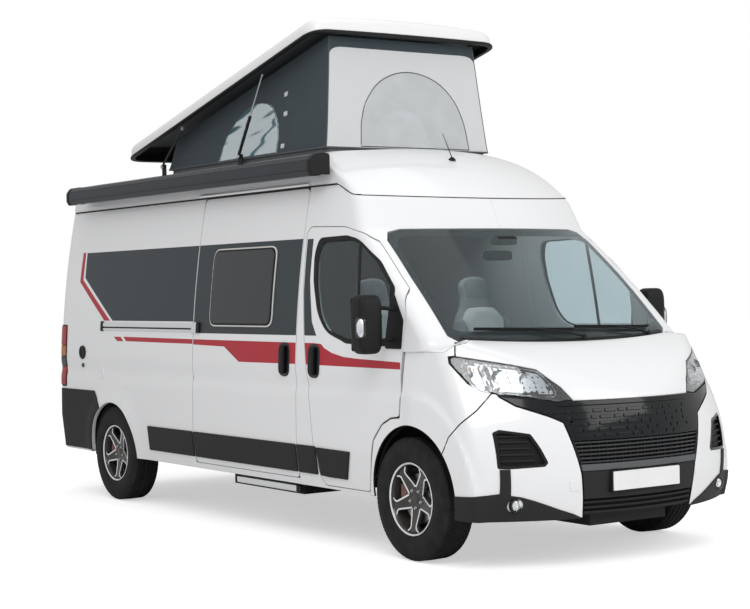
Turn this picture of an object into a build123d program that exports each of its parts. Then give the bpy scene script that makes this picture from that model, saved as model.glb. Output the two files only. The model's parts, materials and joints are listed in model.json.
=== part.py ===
from build123d import *

import os
from math import atan2, cos, degrees, hypot, radians, sin

# A high-roof camper van. Millimetres, +Z up, the front faces -Y and the vehicle's right side is at -X.
# The origin is on the ground, at the centre of the van's length and width.
# Stations along the van are given as "aft": the distance behind the front axle.

# ---------------------------------------------------------------- overall
WHEELBASE = 4035
FRONT_OVERHANG = 970
REAR_OVERHANG = 1015
HALF_WIDTH = 1025
FRONT_AXLE_Y = FRONT_OVERHANG - (FRONT_OVERHANG + WHEELBASE + REAR_OVERHANG) / 2
SILL_Z = 355
CREASE_Z = 1010
CREASE_DEPTH = 16
BELT_Z = 1100
GUTTER_Z = 2310
GUTTER_HALF_WIDTH = 870
MID_SIDE_Z = 1705
MID_SIDE_HALF_WIDTH = 970
ROOF_Z = 2580
ROOF_FLAT_HALF_WIDTH = 620
WALL = 30
NOSE_WALL = 14
SEAL_GAP = 0.3
SHUT_LINE = 5

# ---------------------------------------------------------------- front end
GLASS_BASE_AFT = -400
GLASS_BASE_Z = 1308
GLASS_TOP_AFT = 360
GLASS_TOP_Z = 2005
SEAM_AFT = 457
SEAM_Z = 2204
DOME_TOP_AFT = 1250
BOW_AXIS_AFT = 2250
NOSE_FOOT_Z = 292
NOSE_REAR_AFT = 45
NOSE_EDGE_X = 900
NOSE_CORNER_R = 130
BONNET_FRONT_Z = 978
BONNET_HALF_WIDTH = 800
COWL_GAP = 26
# Plan of the nose at each height: z, front at the centre line, front at NOSE_EDGE_X, half width.
NOSE_SECTIONS = [
    (NOSE_FOOT_Z, -922, -640, 1000),
    (540, -958, -690, 1018),
    (800, -948, -650, HALF_WIDTH),
    (1000, -895, -560, 1020),
    (1450, -660, -300, 985),
]

# ---------------------------------------------------------------- wheels
TYRE_R = 372
TYRE_WIDTH = 225
RIM_R = 220
TRACK_FRONT = 1810
TRACK_REAR = 1790
WHEEL_WELL_R = 412
WHEEL_WELL_Z = 404
KINGPIN_INBOARD = 105
HUB_R = 62
BRAKE_DISC_R = 150
RIM_DISH = 62
RIM_CLEARANCE = 0.3
KNUCKLE_FOOT_Z = 250
KNUCKLE_TOP_Z = 520
STRUT_TOWER_X = 735
SPRING_R = 52
SPRING_LENGTH = 70
TOWER_Z = 830
SUBFRAME_TOP_Z = 300
BEAM_FOOT_Z = 230
UPRIGHT_R = 38
HUB_REACH = 60
TOWER_PLATE = 20
LEAF_X = (-625, -555)
LEAF_FOOT_Z = 284
LEAF_REACH = 620
AXLE_BEAM_Z = 342
AXLE_BEAM_R = 36
WELL_INNER_FRONT = 560
WELL_INNER_REAR = 650

# ---------------------------------------------------------------- doors and windows
B_POST_AFT = 1255
SLIDE_REAR_AFT = 2680
SLIDE_FOOT_Z = 400
SLIDE_TOP_Z = 2300
WINDOW_FRONT_AFT = 1581
WINDOW_REAR_AFT = 2417
WINDOW_FOOT_Z = 1402
WINDOW_TOP_Z = 1919
REAR_DOOR_HALF_WIDTH = 880
REAR_DOOR_TOP_HALF_WIDTH = 800
REAR_DOOR_FOOT_Z = 520
REAR_DOOR_TOP_Z = 2230
REAR_CORNER_R = 90
BUMPER_OUT = 14
POST_WIDTH = 50
WINDSHIELD_INSET = 4
PANE = 5
LAMP_DEPTH = 60
MASK_DEPTH = 36
SIDE_DEPTH = 620
SEAL_DEPTH = 18
SEAL_WIDTH = 35
PLATE_HALF_WIDTH = 260
PLATE_THICKNESS = 4
PLATE_FOOT_Z = 445
PLATE_TOP_Z = 555
LAMP_OUT = 8
REAR_LAMP_Z = (870, 1385)
BUMPER_Z = (372, 500)
BUMPER_CORNER_TOP_Z = 850
WIPER_OUT = 12
WIPER_Z = (1350, 1372)
WIPER_SPANS = [(-700, -40), (60, 720)]

# ---------------------------------------------------------------- floor
FLOOR_FOOT_Z = 400
FLOOR_Z = 460
FLOOR_REAR_CLEAR = 40
WHEEL_BOX_TOP = 810
WHEEL_BOX_WALL = 20
CAB_FLOOR_FRONT_AFT = 440
JACK_PAD = 80
JACK_PAD_DEPTH = 10
JACK_PAD_X = 860
JACK_PAD_AFTS = (1140, 3240)

# ---------------------------------------------------------------- lifting roof
LID_HALF_WIDTH = 780
LID_LENGTH = 2897
LID_SKIRT = 105
LID_CROWN = 38
LID_WALL = 22
LID_TILT = 13.2
LID_CLOSED_Z = 2602
ARM_FOOT_AFT = 3610
ARM_FOOT_Z = 2612
ARM_TOP_AFT = 3262
ARM_TOP_Z = 2880
ARM_X = 745
STRUT_X = 728
STRUT_FOOT_AFT = 2450
STRUT_FOOT_Z = 2606
STRUT_EYE_AFT = 2090
STRUT_EYE_Z = 3150
STRUT_BARREL = 330
STRUT_OVERLAP = 60
LID_PIN_AFT = 1993
LID_PIN_Z = -20
RIM_HALF = 678
TENT_FRONT_AFT = 1345
TENT_REAR_AFT = 3600
TENT_HALF_WIDTH = 690
TENT_CLOTH = 8
HATCH_HALF_WIDTH = 560
HATCH_FRONT_AFT = 1500
HATCH_REAR_AFT = 3350

# ---------------------------------------------------------------- cab inside
STEER_X = 430
STEER_AFT = 250
STEER_Z = 1180
STEER_TILT = 40

BIG = 4000
OUTSIDE = 1200
OPEN_FOOT = 20


def station(aft):
    """Y of a place that lies this far behind the front axle."""
    return FRONT_AXLE_Y + aft


REAR_AXLE_Y = station(WHEELBASE)
REAR_AFT = WHEELBASE + REAR_OVERHANG - BUMPER_OUT


def outline(points):
    """Face with straight edges through the points."""
    return make_face(Polyline(*points, close=True))


def along_x(face, low, high):
    """Prism between two X values of a face drawn in (Y, Z)."""
    return extrude(Plane.YZ.offset(low) * face, amount=high - low)


def along_y(face, low, high):
    """Prism between two Y values of a face drawn in (X, Z)."""
    return extrude(Plane.XZ.offset(-high) * face, amount=high - low)


def block(x, y, z):
    """Box from three (low, high) pairs."""
    size = (x[1] - x[0], y[1] - y[0], z[1] - z[0])
    return Pos(*((low + high) / 2 for low, high in (x, y, z))) * Box(*size)


def slab(aft, z, x=(-BIG / 2, BIG / 2)):
    """Box between two stations and two heights, right across the van unless x is given."""
    return block(x, (station(aft[0]), station(aft[1])), z)


def side_view(points):
    """Prism right across the van of an outline given as (aft, z)."""
    return along_x(outline([(station(aft), z) for aft, z in points]), -BIG / 2, BIG / 2)


def rod_x(aft, z, radius, low, high):
    """Cylinder along X between two X values."""
    return Pos((low + high) / 2, station(aft), z) * Rot(0, 90, 0) * Cylinder(radius, high - low)


def mirrored(shape):
    """The same shape on the other side of the van."""
    return mirror(shape, about=Plane.YZ)


def both(shape):
    """A shape and its mirror image, as separate solids."""
    return [shape, mirrored(shape)]


def save(name, *shapes):
    """Write one piece, made of one or more solids, to its STEP file."""
    solids = []
    for shape in shapes:
        solids += shape.solids()
    piece = solids[0] if len(solids) == 1 else Compound(children=solids)
    export_step(piece, f"parts/{name}.step")


# ---------------------------------------------------------------- body envelope
def width_section(inset):
    """Cross-section of the body: lower side, crease, curved upper side, roof edge and crown."""
    foot_z = SILL_Z - (OPEN_FOOT if inset > 0 else 0)
    lower = [(HALF_WIDTH - 30 - inset, foot_z), (HALF_WIDTH - inset, 640)]
    lower += [(HALF_WIDTH - 4 - inset, CREASE_Z - 40)]
    if inset == 0:
        lower += [(HALF_WIDTH - CREASE_DEPTH, CREASE_Z)]
    belt = (HALF_WIDTH - 6 - inset, BELT_Z)
    middle = (MID_SIDE_HALF_WIDTH - inset, MID_SIDE_Z)
    gutter = (GUTTER_HALF_WIDTH - inset, GUTTER_Z)
    shoulder = (GUTTER_HALF_WIDTH - 55 - inset, GUTTER_Z + 165 - inset / 2)
    roof_edge = (ROOF_FLAT_HALF_WIDTH, ROOF_Z - 22 - inset)
    top = (0, ROOF_Z - inset)
    half = Polyline((0, foot_z), *lower, belt)
    half += ThreePointArc(belt, middle, gutter)
    half += ThreePointArc(gutter, shoulder, roof_edge)
    half += Line(roof_edge, top)
    return make_face(half + mirror(half, about=Plane.YZ))


def cab_profile(inset):
    """Half profile of the upper front in (radius, z) about the upright bow axis: glass, header, dome."""
    def place(aft, z):
        return (BOW_AXIS_AFT - aft - inset, z)
    base = place(GLASS_BASE_AFT, GLASS_BASE_Z)
    glass_middle = place((GLASS_BASE_AFT + GLASS_TOP_AFT) / 2 - 12, (GLASS_BASE_Z + GLASS_TOP_Z) / 2 + 12)
    glass_top = place(GLASS_TOP_AFT, GLASS_TOP_Z)
    seam = place(SEAM_AFT, SEAM_Z)
    dome_middle = place(770, 2437)
    dome_top = place(DOME_TOP_AFT, ROOF_Z + 12 - inset)
    foot_z = SILL_Z - (OPEN_FOOT if inset > 0 else 0)
    profile = Polyline((0, dome_top[1]), (0, foot_z), (base[0], foot_z), base)
    profile += ThreePointArc(base, glass_middle, glass_top)
    profile += Line(glass_top, seam)
    profile += ThreePointArc(seam, dome_middle, dome_top)
    profile += Line(dome_top, (0, dome_top[1]))
    return make_face(profile)


def nose(inset):
    """Bumper, grille and fender volume: plan outlines lofted upwards, cut by the bonnet's top line."""
    sections = []
    for z, centre_aft, edge_aft, half_width in NOSE_SECTIONS:
        side = half_width - inset
        front = station(centre_aft + inset)
        edge = (NOSE_EDGE_X, station(edge_aft + inset))
        rise = edge[1] - front
        bow_r = (NOSE_EDGE_X ** 2 + rise ** 2) / (2 * rise)
        corner_y = front + bow_r - (bow_r ** 2 - side ** 2) ** 0.5
        rear = station(NOSE_REAR_AFT)
        plan = ThreePointArc((-side, corner_y), (0, front), (side, corner_y))
        plan += Polyline((side, corner_y), (side, rear), (-side, rear), (-side, corner_y))
        face = make_face(plan)
        corners = [v for v in face.vertices() if v.Y < rear - 1]
        sections.append(Plane.XY.offset(z) * fillet(corners, NOSE_CORNER_R))
    volume = loft(sections)
    crest = [(-720, 1150), (GLASS_BASE_AFT, 1300)]
    top = Polyline((station(-1200), 0), (station(-1200), BONNET_FRONT_Z - inset),
                   (station(-930), BONNET_FRONT_Z - inset))
    top += ThreePointArc((station(-930), BONNET_FRONT_Z - inset), (station(crest[0][0]), crest[0][1] - inset),
                         (station(crest[1][0]), crest[1][1] - inset))
    top += Polyline((station(crest[1][0]), crest[1][1] - inset), (station(-120), 1372 - inset),
                    (station(200), 1400 - inset), (station(200), 0), (station(-1200), 0))
    return volume & along_x(make_face(top), -BIG / 2, BIG / 2)


def bowed_front(inset):
    """Glass, header and dome as one bowed volume, turned about the upright bow axis."""
    bow = revolve(Plane.XZ * cab_profile(inset), axis=Axis.Z, revolution_arc=-180)
    return Pos(0, station(BOW_AXIS_AFT), 0) * bow


def envelope(inset):
    """Outer form of cab and load space without the nose, drawn in by the inset on every side."""
    section = width_section(inset)
    front = bowed_front(inset) & along_y(section, station(-1200), station(BOW_AXIS_AFT))
    rear = along_y(section, station(BOW_AXIS_AFT), station(REAR_AFT) - inset)
    rear_y = station(REAR_AFT) - inset
    half = HALF_WIDTH - inset
    plan = block((-half, half), (station(0), rear_y), (0, BIG))
    plan = fillet([e for e in plan.edges() if e.center().Y > rear_y - 1 and abs(e.center().X) > half - 1],
                  REAR_CORNER_R - inset)
    side = block((-BIG, BIG), (station(0), rear_y), (-BIG, ROOF_Z + 5 - inset))
    side = fillet([e for e in side.edges() if e.center().Y > rear_y - 1 and e.center().Z > ROOF_Z - 50],
                  REAR_CORNER_R - inset)
    rear = rear & plan & side
    return front + rear


# ---------------------------------------------------------------- outlines seen from the side and the front
CAB_DOOR = [
    (50, 1251), (26, 1480), (130, 1672), (365, 1872), (580, 1985), (780, 2030), (1180, 2045), (1222, 2005),
    (1201, 1624), (1165, 1346), (1105, 1003), (1050, 640), (1000, 438), (940, 378), (440, 378), (392, 595),
    (364, 707), (264, 811), (170, 852), (82, 861),
]
CAB_WINDOW = [
    (175, 1300), (670, 1312), (890, 1372), (985, 1470), (1055, 1680), (1070, 1850), (1030, 1950), (720, 1955),
    (590, 1930), (365, 1800), (190, 1640),
]
HEADLAMP = [
    (450, 975), (500, 1055), (600, 1150), (745, 1196), (990, 1232), (975, 1150), (905, 1055), (830, 1015),
    (700, 996), (540, 964),
]
MASK = [
    (0, 962), (450, 962), (540, 955), (700, 985), (825, 1003), (760, 950), (600, 885), (531, 850), (470, 640),
    (447, 556), (430, 416), (420, 330), (0, 330),
]
WINDSHIELD = [
    (0, GLASS_BASE_Z), (820, GLASS_BASE_Z), (868, 1345), (850, 1700), (822, 1930), (780, 1985),
    (700, 2003), (0, 2003),
]
SEAM = [(-1000, SEAM_Z), (SEAM_AFT, SEAM_Z), (745, 2235), (920, GUTTER_Z), (6000, GUTTER_Z), (6000, 2800),
        (-1000, 2800)]


def full_width(half):
    """Outline in (X, Z) that repeats a half outline on the other side of the centre line."""
    return half + [(-x, z) for x, z in reversed(half) if x > 0]


def door_prism(points, spread=0):
    """Prism through the right wall for a door or window outline given as (aft, z)."""
    face = outline([(station(aft), z) for aft, z in points])
    if spread:
        face = offset(face, amount=spread, kind=Kind.INTERSECTION)
    return along_x(face, -HALF_WIDTH - 100, -SIDE_DEPTH)


def front_prism(points, spread=0):
    """Prism through the nose for an outline given as (x, z) on the left."""
    face = outline(points)
    if spread:
        face = offset(face, amount=spread, kind=Kind.INTERSECTION)
    return along_y(face, station(-1200), station(-300))


OUTER = envelope(0)
INNER = envelope(WALL)
SHELL = OUTER - INNER
DOOR_SPACE = OUTER - envelope(WALL + SEAL_GAP)
SEAL_SHELL = INNER - envelope(WALL + SEAL_DEPTH)
NOSE_OUTER = nose(0)
NOSE_INNER = nose(NOSE_WALL)
NOSE_SHELL = (NOSE_OUTER - NOSE_INNER) - OUTER
NOSE_SHELL -= slab((-205, 200), (0, 1330), (960, OUTSIDE))
NOSE_SHELL -= slab((-205, 200), (0, 1330), (-OUTSIDE, -960))
ABOVE_SEAM = side_view(SEAM)
FRONT_WELL = rod_x(-25, WHEEL_WELL_Z, WHEEL_WELL_R, -OUTSIDE, OUTSIDE)
FRONT_WELL -= slab((-600, 600), (0, 1000), (-560, 560))
REAR_WELL = rod_x(WHEELBASE - 10, 376, 397, -OUTSIDE, OUTSIDE) - slab((3000, 5000), (0, 1000), (-650, 650))
SLIDE_DOOR = door_prism([(B_POST_AFT, SLIDE_FOOT_Z), (SLIDE_REAR_AFT, SLIDE_FOOT_Z),
                         (SLIDE_REAR_AFT, SLIDE_TOP_Z), (B_POST_AFT, SLIDE_TOP_Z)])
WINDOW = door_prism([(WINDOW_FRONT_AFT, WINDOW_FOOT_Z), (WINDOW_REAR_AFT, WINDOW_FOOT_Z),
                     (WINDOW_REAR_AFT, WINDOW_TOP_Z), (WINDOW_FRONT_AFT, WINDOW_TOP_Z)])
REAR_DOOR = [(0, REAR_DOOR_FOOT_Z), (REAR_DOOR_HALF_WIDTH, REAR_DOOR_FOOT_Z), (REAR_DOOR_HALF_WIDTH, 1400),
             (REAR_DOOR_TOP_HALF_WIDTH, REAR_DOOR_TOP_Z), (0, REAR_DOOR_TOP_Z)]


def rear_prism(spread):
    """Prism of both rear doors through the rear wall, grown by the spread."""
    face = offset(outline(full_width(REAR_DOOR)), amount=spread, kind=Kind.INTERSECTION)
    return along_y(face, station(REAR_AFT - 150), station(REAR_AFT + 50))


def post_prism(narrower):
    """Windshield opening widened to the posts' outer edge, in front view."""
    face = offset(outline(full_width(WINDSHIELD)), amount=POST_WIDTH - narrower, kind=Kind.INTERSECTION)
    return along_y(face, station(-600), station(620))


def cab_door_zone(spread=0):
    """Prism of the right cab door behind the windshield post."""
    return door_prism(CAB_DOOR, spread) - post_prism(spread)


def seal_ring(opening, grown, shrunk):
    """Flange inside a door opening, on which the closed door rests."""
    ring = SEAL_SHELL & (grown - shrunk)
    return ring - (DOOR_SPACE & opening)


# ---------------------------------------------------------------- fixed body
def cab_frame():
    """Windshield posts, header, centre posts and sills around both cab doors."""
    frame = SHELL & slab((-1000, B_POST_AFT), (0, 2800))
    frame = frame - ABOVE_SEAM
    frame -= slab((-1000, NOSE_REAR_AFT), (0, GLASS_BASE_Z))
    frame -= along_y(outline(full_width(WINDSHIELD)), station(-500), station(700))
    opening = cab_door_zone(SHUT_LINE)
    ring = seal_ring(opening, cab_door_zone(20), cab_door_zone(-SEAL_WIDTH))
    ring -= FRONT_WELL + slab((-400, 240), (1480, 1800))
    ring = ring & slab((-1000, B_POST_AFT), (0, 2800))
    frame = frame - opening - mirrored(opening) - FRONT_WELL
    return frame + ring + mirrored(ring)


def side_wall():
    """Right wall behind the cab, with the sliding doorway, the wheel cut-out and half of the rear frame."""
    wall = SHELL & slab((B_POST_AFT, REAR_AFT + 10), (0, GUTTER_Z), (-OUTSIDE, 0))
    wall = wall - SLIDE_DOOR - REAR_WELL
    opening = rear_prism(0)
    ring = seal_ring(opening, rear_prism(20), rear_prism(-SEAL_WIDTH))
    ring = ring & slab((REAR_AFT - 150, REAR_AFT + 50), (0, 2800), (-OUTSIDE, 0))
    return wall - opening + ring


def high_roof():
    """Raised roof cap with the front dome and the hatch to the lifting roof."""
    roof = SHELL & ABOVE_SEAM
    hatch = slab((HATCH_FRONT_AFT, HATCH_REAR_AFT), (2400, 2700), (-HATCH_HALF_WIDTH, HATCH_HALF_WIDTH))
    return roof - hatch + (roof_rim() - INNER)


def floor_pan():
    """Floor from the bulkhead to the rear doors, with the rear wheel boxes."""
    rear = INNER & slab((CAB_FLOOR_FRONT_AFT, REAR_AFT - FLOOR_REAR_CLEAR), (FLOOR_FOOT_Z, FLOOR_Z))
    between_wheels = (-WELL_INNER_FRONT, WELL_INNER_FRONT)
    front = INNER & slab((-500, CAB_FLOOR_FRONT_AFT), (FLOOR_FOOT_Z, FLOOR_Z), between_wheels)
    box_aft = (WHEELBASE - 450, WHEELBASE + 430)
    wall = WHEEL_BOX_WALL
    housing = INNER & slab(box_aft, (FLOOR_FOOT_Z, WHEEL_BOX_TOP), (-OUTSIDE, -WELL_INNER_REAR + wall))
    hole_aft = (box_aft[0] + wall, box_aft[1] - wall)
    hole = slab(hole_aft, (0, WHEEL_BOX_TOP - wall), (-OUTSIDE, -WELL_INNER_REAR))
    housing -= hole
    pads = jack_pads()
    pan = rear + front + housing + mirrored(housing) + pads + mirrored(pads)
    return pan - hole - mirrored(hole) - rings_of_doors()


def jack_pads():
    """Square pads under the right edge of the floor, where a trolley jack lifts the van."""
    x = (-JACK_PAD_X - JACK_PAD / 2, -JACK_PAD_X + JACK_PAD / 2)
    z = (FLOOR_FOOT_Z - JACK_PAD_DEPTH, FLOOR_FOOT_Z)
    front, rear = (slab((aft - JACK_PAD / 2, aft + JACK_PAD / 2), z, x) for aft in JACK_PAD_AFTS)
    return front + rear


def rings_of_doors():
    """Space that the door flanges take along the edge of the floor."""
    ring = SEAL_SHELL & (cab_door_zone(20) - cab_door_zone(-SEAL_WIDTH))
    return ring + mirrored(ring)


def bulkhead():
    """Wall between engine and cab, and the cowl strip below the windshield."""
    wall = SHELL & slab((-1000, NOSE_REAR_AFT), (FLOOR_FOOT_Z, GLASS_BASE_Z), (-850, 850))
    cowl = NOSE_SHELL & bowed_front(-COWL_GAP + SHUT_LINE) & slab((-600, 0), (1200, 1500), (-790, 790))
    return [wall - FRONT_WELL, cowl]


def headlamp_cut(spread=0):
    """Prisms of both headlamps."""
    lamp = front_prism(HEADLAMP, spread)
    return lamp + mirrored(lamp)


def mask_cut():
    """Prism of the black front panel between the headlamps."""
    return along_y(outline(full_width(MASK)), station(-1200), station(-560))


def bonnet_cut(gap):
    """Prism of the bonnet: above the front edge and the headlamps' upper edges."""
    lamp_top = HEADLAMP[1:4]
    edge = [(0, BONNET_FRONT_Z - NOSE_WALL), (450, BONNET_FRONT_Z - NOSE_WALL)] + lamp_top
    edge += [(BONNET_HALF_WIDTH, HEADLAMP[3][1]), (BONNET_HALF_WIDTH, 1600), (0, 1600)]
    face = outline(full_width(edge))
    if gap:
        face = offset(face, amount=-gap, kind=Kind.INTERSECTION)
    return along_y(face, station(-1200), station(0))


def bumper_cut():
    """Prism of the bumper: the nose below the lamps and ahead of the wheels."""
    return side_view([(-1200, 100), (-380, 100), (-380, 720), (-400, 1045), (-1200, 1045)])


def headlamps():
    """Headlamp bodies, set flush in the nose."""
    depth = (NOSE_OUTER - nose(LAMP_DEPTH)) - OUTER
    lamps = depth & headlamp_cut()
    return lamps


def front_mask():
    """Black panel with the grille, from the bonnet edge to the lower intake."""
    depth = NOSE_OUTER - nose(MASK_DEPTH)
    front = station(-FRONT_OVERHANG + PLATE_THICKNESS)
    holder = block((-PLATE_HALF_WIDTH, PLATE_HALF_WIDTH), (front, front + 80), (PLATE_FOOT_Z, PLATE_TOP_Z))
    return (depth & mask_cut()) - headlamp_cut() + (holder - nose(10))


def front_bumper():
    """Bumper skin below the lamps, round to the front wheel cut-outs."""
    skin = NOSE_SHELL & bumper_cut()
    return skin - headlamp_cut() - mask_cut() - bonnet_cut(0) - FRONT_WELL


def fenders():
    """Front fender skins with the flanges that the bonnet closes on."""
    skin = NOSE_SHELL - bonnet_cut(0) - headlamp_cut() - mask_cut() - bumper_cut()
    flange_shell = nose(NOSE_WALL) - nose(NOSE_WALL + 12) - OUTER
    flange = flange_shell & slab((-600, -270), (1000, 1500), (-830, -770))
    flange -= nose(0) - nose(NOSE_WALL + SEAL_GAP) & slab((-700, 0), (1000, 1500), (-800, 0))
    flange -= headlamp_cut()
    rear = SHELL & slab((-1000, NOSE_REAR_AFT), (SILL_Z, GLASS_BASE_Z), (-1100, -850))
    right = (skin & slab((-1200, 200), (0, 1600), (-OUTSIDE, 0))) + rear + flange - FRONT_WELL
    return both(right - cab_door_zone(SHUT_LINE) - mask_cut())


def bonnet():
    """Bonnet skin between the fenders, from the front edge to the cowl."""
    skin = NOSE_SHELL & bonnet_cut(SHUT_LINE)
    return skin - headlamp_cut(SHUT_LINE) - bowed_front(-COWL_GAP)


def windshield():
    """Laminated glass, set a little below the posts' surface."""
    pane = envelope(WINDSHIELD_INSET) - envelope(WINDSHIELD_INSET + PANE)
    return pane & along_y(outline(full_width(WINDSHIELD)), station(-500), station(700))


def sliding_door():
    """Right sliding door with the opening for its window."""
    return (SHELL & SLIDE_DOOR) - WINDOW


def slide_window():
    """Hinged plastic window of the sliding door, with its frame standing a little proud."""
    return (envelope(-6) - envelope(20)) & WINDOW


# ---------------------------------------------------------------- doors
def cab_door():
    """Right cab door with its window opening."""
    return (SHELL & cab_door_zone()) - door_prism(CAB_WINDOW)


def cab_glass():
    """Glass of the right cab door."""
    return (envelope(5) - envelope(5 + PANE)) & door_prism(CAB_WINDOW)


def mirror_housing():
    """Right door mirror: foot on the door, two arms and the two-part head."""
    head = block((-1245, -1130), (station(150), station(250)), (1310, 1600))
    head = fillet(head.edges().filter_by(Axis.X), 30)
    head = fillet(head.edges().filter_by(Axis.Z), 12)
    arm_high = block((-1135, -985), (station(165), station(205)), (1520, 1550))
    arm_low = block((-1135, -985), (station(165), station(205)), (1350, 1380))
    return head + ((arm_high + arm_low) - OUTER)


def rear_door():
    """Right rear door."""
    right_rear = slab((REAR_AFT - 150, REAR_AFT + 50), (0, 2800), (-OUTSIDE, -SHUT_LINE / 2))
    return SHELL & rear_prism(-SHUT_LINE) & right_rear


# ---------------------------------------------------------------- wheels and axles
def tyre_at(side_x, axle_y):
    """Tyre as a hollow ring on the rim's seats; side_x is the wheel's centre."""
    half = TYRE_WIDTH / 2
    seat_r = RIM_R + RIM_CLEARANCE
    outer = [(half - 18, seat_r), (half, RIM_R + 52), (half, TYRE_R - 60)]
    outer += [(half - 14, TYRE_R - 16), (half - 34, TYRE_R)]
    inner = [(half - 30, seat_r), (half - 12, RIM_R + 54), (half - 12, TYRE_R - 60), (half - 30, TYRE_R - 20)]
    points = outer + [(-x, r) for x, r in reversed(outer)] + [(-x, r) for x, r in inner]
    points += [(x, r) for x, r in reversed(inner)]
    ring = revolve(Plane.XZ * outline(points), axis=Axis.X)
    return Pos(side_x, axle_y, TYRE_R) * ring


def rim_face():
    """Five-spoke wheel for the right side, centred on the origin, and its brake disc."""
    half = TYRE_WIDTH / 2 - 14
    barrel = [(-half, RIM_R), (-half, RIM_R - 14), (-half + 22, RIM_R - 26), (half - 12, RIM_R - 26),
              (half, RIM_R - 14), (half, RIM_R), (half - 12, RIM_R), (half - 22, RIM_R - 16),
              (-half + 26, RIM_R - 16), (-half + 14, RIM_R)]
    wheel = revolve(Plane.XZ * outline(barrel), axis=Axis.X)
    web = Pos(-RIM_DISH - 11, 0, 0) * Rot(0, 90, 0) * Cylinder(RIM_R - 18, 22)
    window = outline([(-34, 96), (34, 96), (88, 172), (62, 190), (0, 196), (-62, 190), (-88, 172)])
    window = fillet(window.vertices(), 12)
    for turn in range(5):
        tool = along_x(window, -RIM_DISH - 40, -RIM_DISH + 20)
        web -= Rot(36 + 72 * turn, 0, 0) * tool
    cap = Pos(-RIM_DISH - 28, 0, 0) * Rot(0, 90, 0) * Cylinder(HUB_R - 24, 14)
    disc = Pos(-23, 0, 0) * Rot(0, 90, 0) * Cylinder(BRAKE_DISC_R, 24)
    disc += Pos(-(35 + RIM_DISH) / 2, 0, 0) * Rot(0, 90, 0) * Cylinder(80, RIM_DISH - 35)
    disc -= Pos(-(RIM_DISH - 8) / 2 + 1, 0, 0) * Rot(0, 90, 0) * Cylinder(HUB_R, RIM_DISH - 8 + 2)
    return wheel + web + cap, disc


def placed_wheel(side_x, axle_y):
    """Rim and disc at a wheel's place; a left wheel is the mirror image of a right one."""
    pieces = rim_face()
    if side_x > 0:
        pieces = [mirrored(piece) for piece in pieces]
    return [Pos(side_x, axle_y, TYRE_R) * piece for piece in pieces]


def hub_stub(centre_x):
    """Right hub between the upright and the brake disc, with the caliper over the disc."""
    stub_low = centre_x - (RIM_DISH - 8 - SEAL_GAP)
    stub_high = centre_x + HUB_REACH
    stub = Rot(0, 90, 0) * Cylinder(HUB_R - 8, stub_high - stub_low)
    stub = Pos((stub_low + stub_high) / 2, 0, TYRE_R) * stub
    caliper = block((centre_x - 48, centre_x + 30), (95, 172), (TYRE_R - 75, TYRE_R + 75))
    caliper -= Pos(centre_x - 23, 0, TYRE_R) * Rot(0, 90, 0) * Cylinder(BRAKE_DISC_R + 4, 24 + 8)
    caliper += block((centre_x + 8, centre_x + 60), (30, 172), (TYRE_R - 30, TYRE_R + 30))
    return stub + caliper


def knuckle():
    """Right steering knuckle: upright on the kingpin, hub, caliper and the strut seat."""
    centre_x = -TRACK_FRONT / 2
    pin_x = centre_x + KINGPIN_INBOARD
    upright = Cylinder(UPRIGHT_R, KNUCKLE_TOP_Z - KNUCKLE_FOOT_Z)
    upright = Pos(pin_x, 0, (KNUCKLE_FOOT_Z + KNUCKLE_TOP_Z) / 2) * upright
    seat = block((pin_x - 20, 28 - STRUT_TOWER_X), (-30, 30), (KNUCKLE_TOP_Z - 40, KNUCKLE_TOP_Z))
    arm = block((centre_x + 50, pin_x), (-34, 34), (TYRE_R - 34, TYRE_R + 34))
    return Pos(0, station(0), 0) * (upright + hub_stub(centre_x) + seat + arm)


def front_subframe():
    """Cross beam, lower arms and spring struts of the front axle."""
    beam = slab((-130, 130), (BEAM_FOOT_Z, SUBFRAME_TOP_Z), (-540, 540))
    beam += slab((-800, 0), (BEAM_FOOT_Z, SUBFRAME_TOP_Z), (-300, 300))
    beam += slab((-60, 60), (220, KNUCKLE_FOOT_Z - SEAL_GAP), (-800, 800))
    strut_foot = KNUCKLE_TOP_Z + SEAL_GAP
    place = Pos(-STRUT_TOWER_X, station(0), 0)
    strut = place * Pos(0, 0, (strut_foot + TOWER_Z) / 2) * Cylinder(28, TOWER_Z - strut_foot)
    spring = place * Pos(0, 0, TOWER_Z - SPRING_LENGTH / 2) * Cylinder(SPRING_R, SPRING_LENGTH)
    wall_x = WELL_INNER_FRONT + SEAL_GAP
    tower_top = TOWER_Z + TOWER_PLATE
    tower = slab((-80, 80), (TOWER_Z, tower_top), (-800, -wall_x))
    tower += slab((-80, 80), (280, tower_top), (-wall_x - TOWER_PLATE, -wall_x))
    tower += slab((-80, 80), (BEAM_FOOT_Z, SUBFRAME_TOP_Z), (-600, -500))
    side = strut + spring + tower
    return beam + side + mirrored(side)


def rear_axle():
    """Beam axle with hubs, calipers and leaf springs."""
    centre_x = -TRACK_REAR / 2
    beam = rod_x(WHEELBASE, AXLE_BEAM_Z, AXLE_BEAM_R, centre_x + 40, -centre_x - 40)
    hub = Pos(0, REAR_AXLE_Y, 0) * hub_stub(centre_x)
    front, rear = WHEELBASE - LEAF_REACH, WHEELBASE + LEAF_REACH
    leaf = slab((front, rear), (LEAF_FOOT_Z, LEAF_FOOT_Z + 20), LEAF_X)
    leaf += slab((WHEELBASE - 50, WHEELBASE + 50), (LEAF_FOOT_Z + 6, AXLE_BEAM_Z), LEAF_X)
    for shackle in ((front, front + 50), (rear - 50, rear)):
        leaf += slab(shackle, (LEAF_FOOT_Z, FLOOR_FOOT_Z), LEAF_X)
    return beam + hub + mirrored(hub) + leaf + mirrored(leaf)


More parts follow.
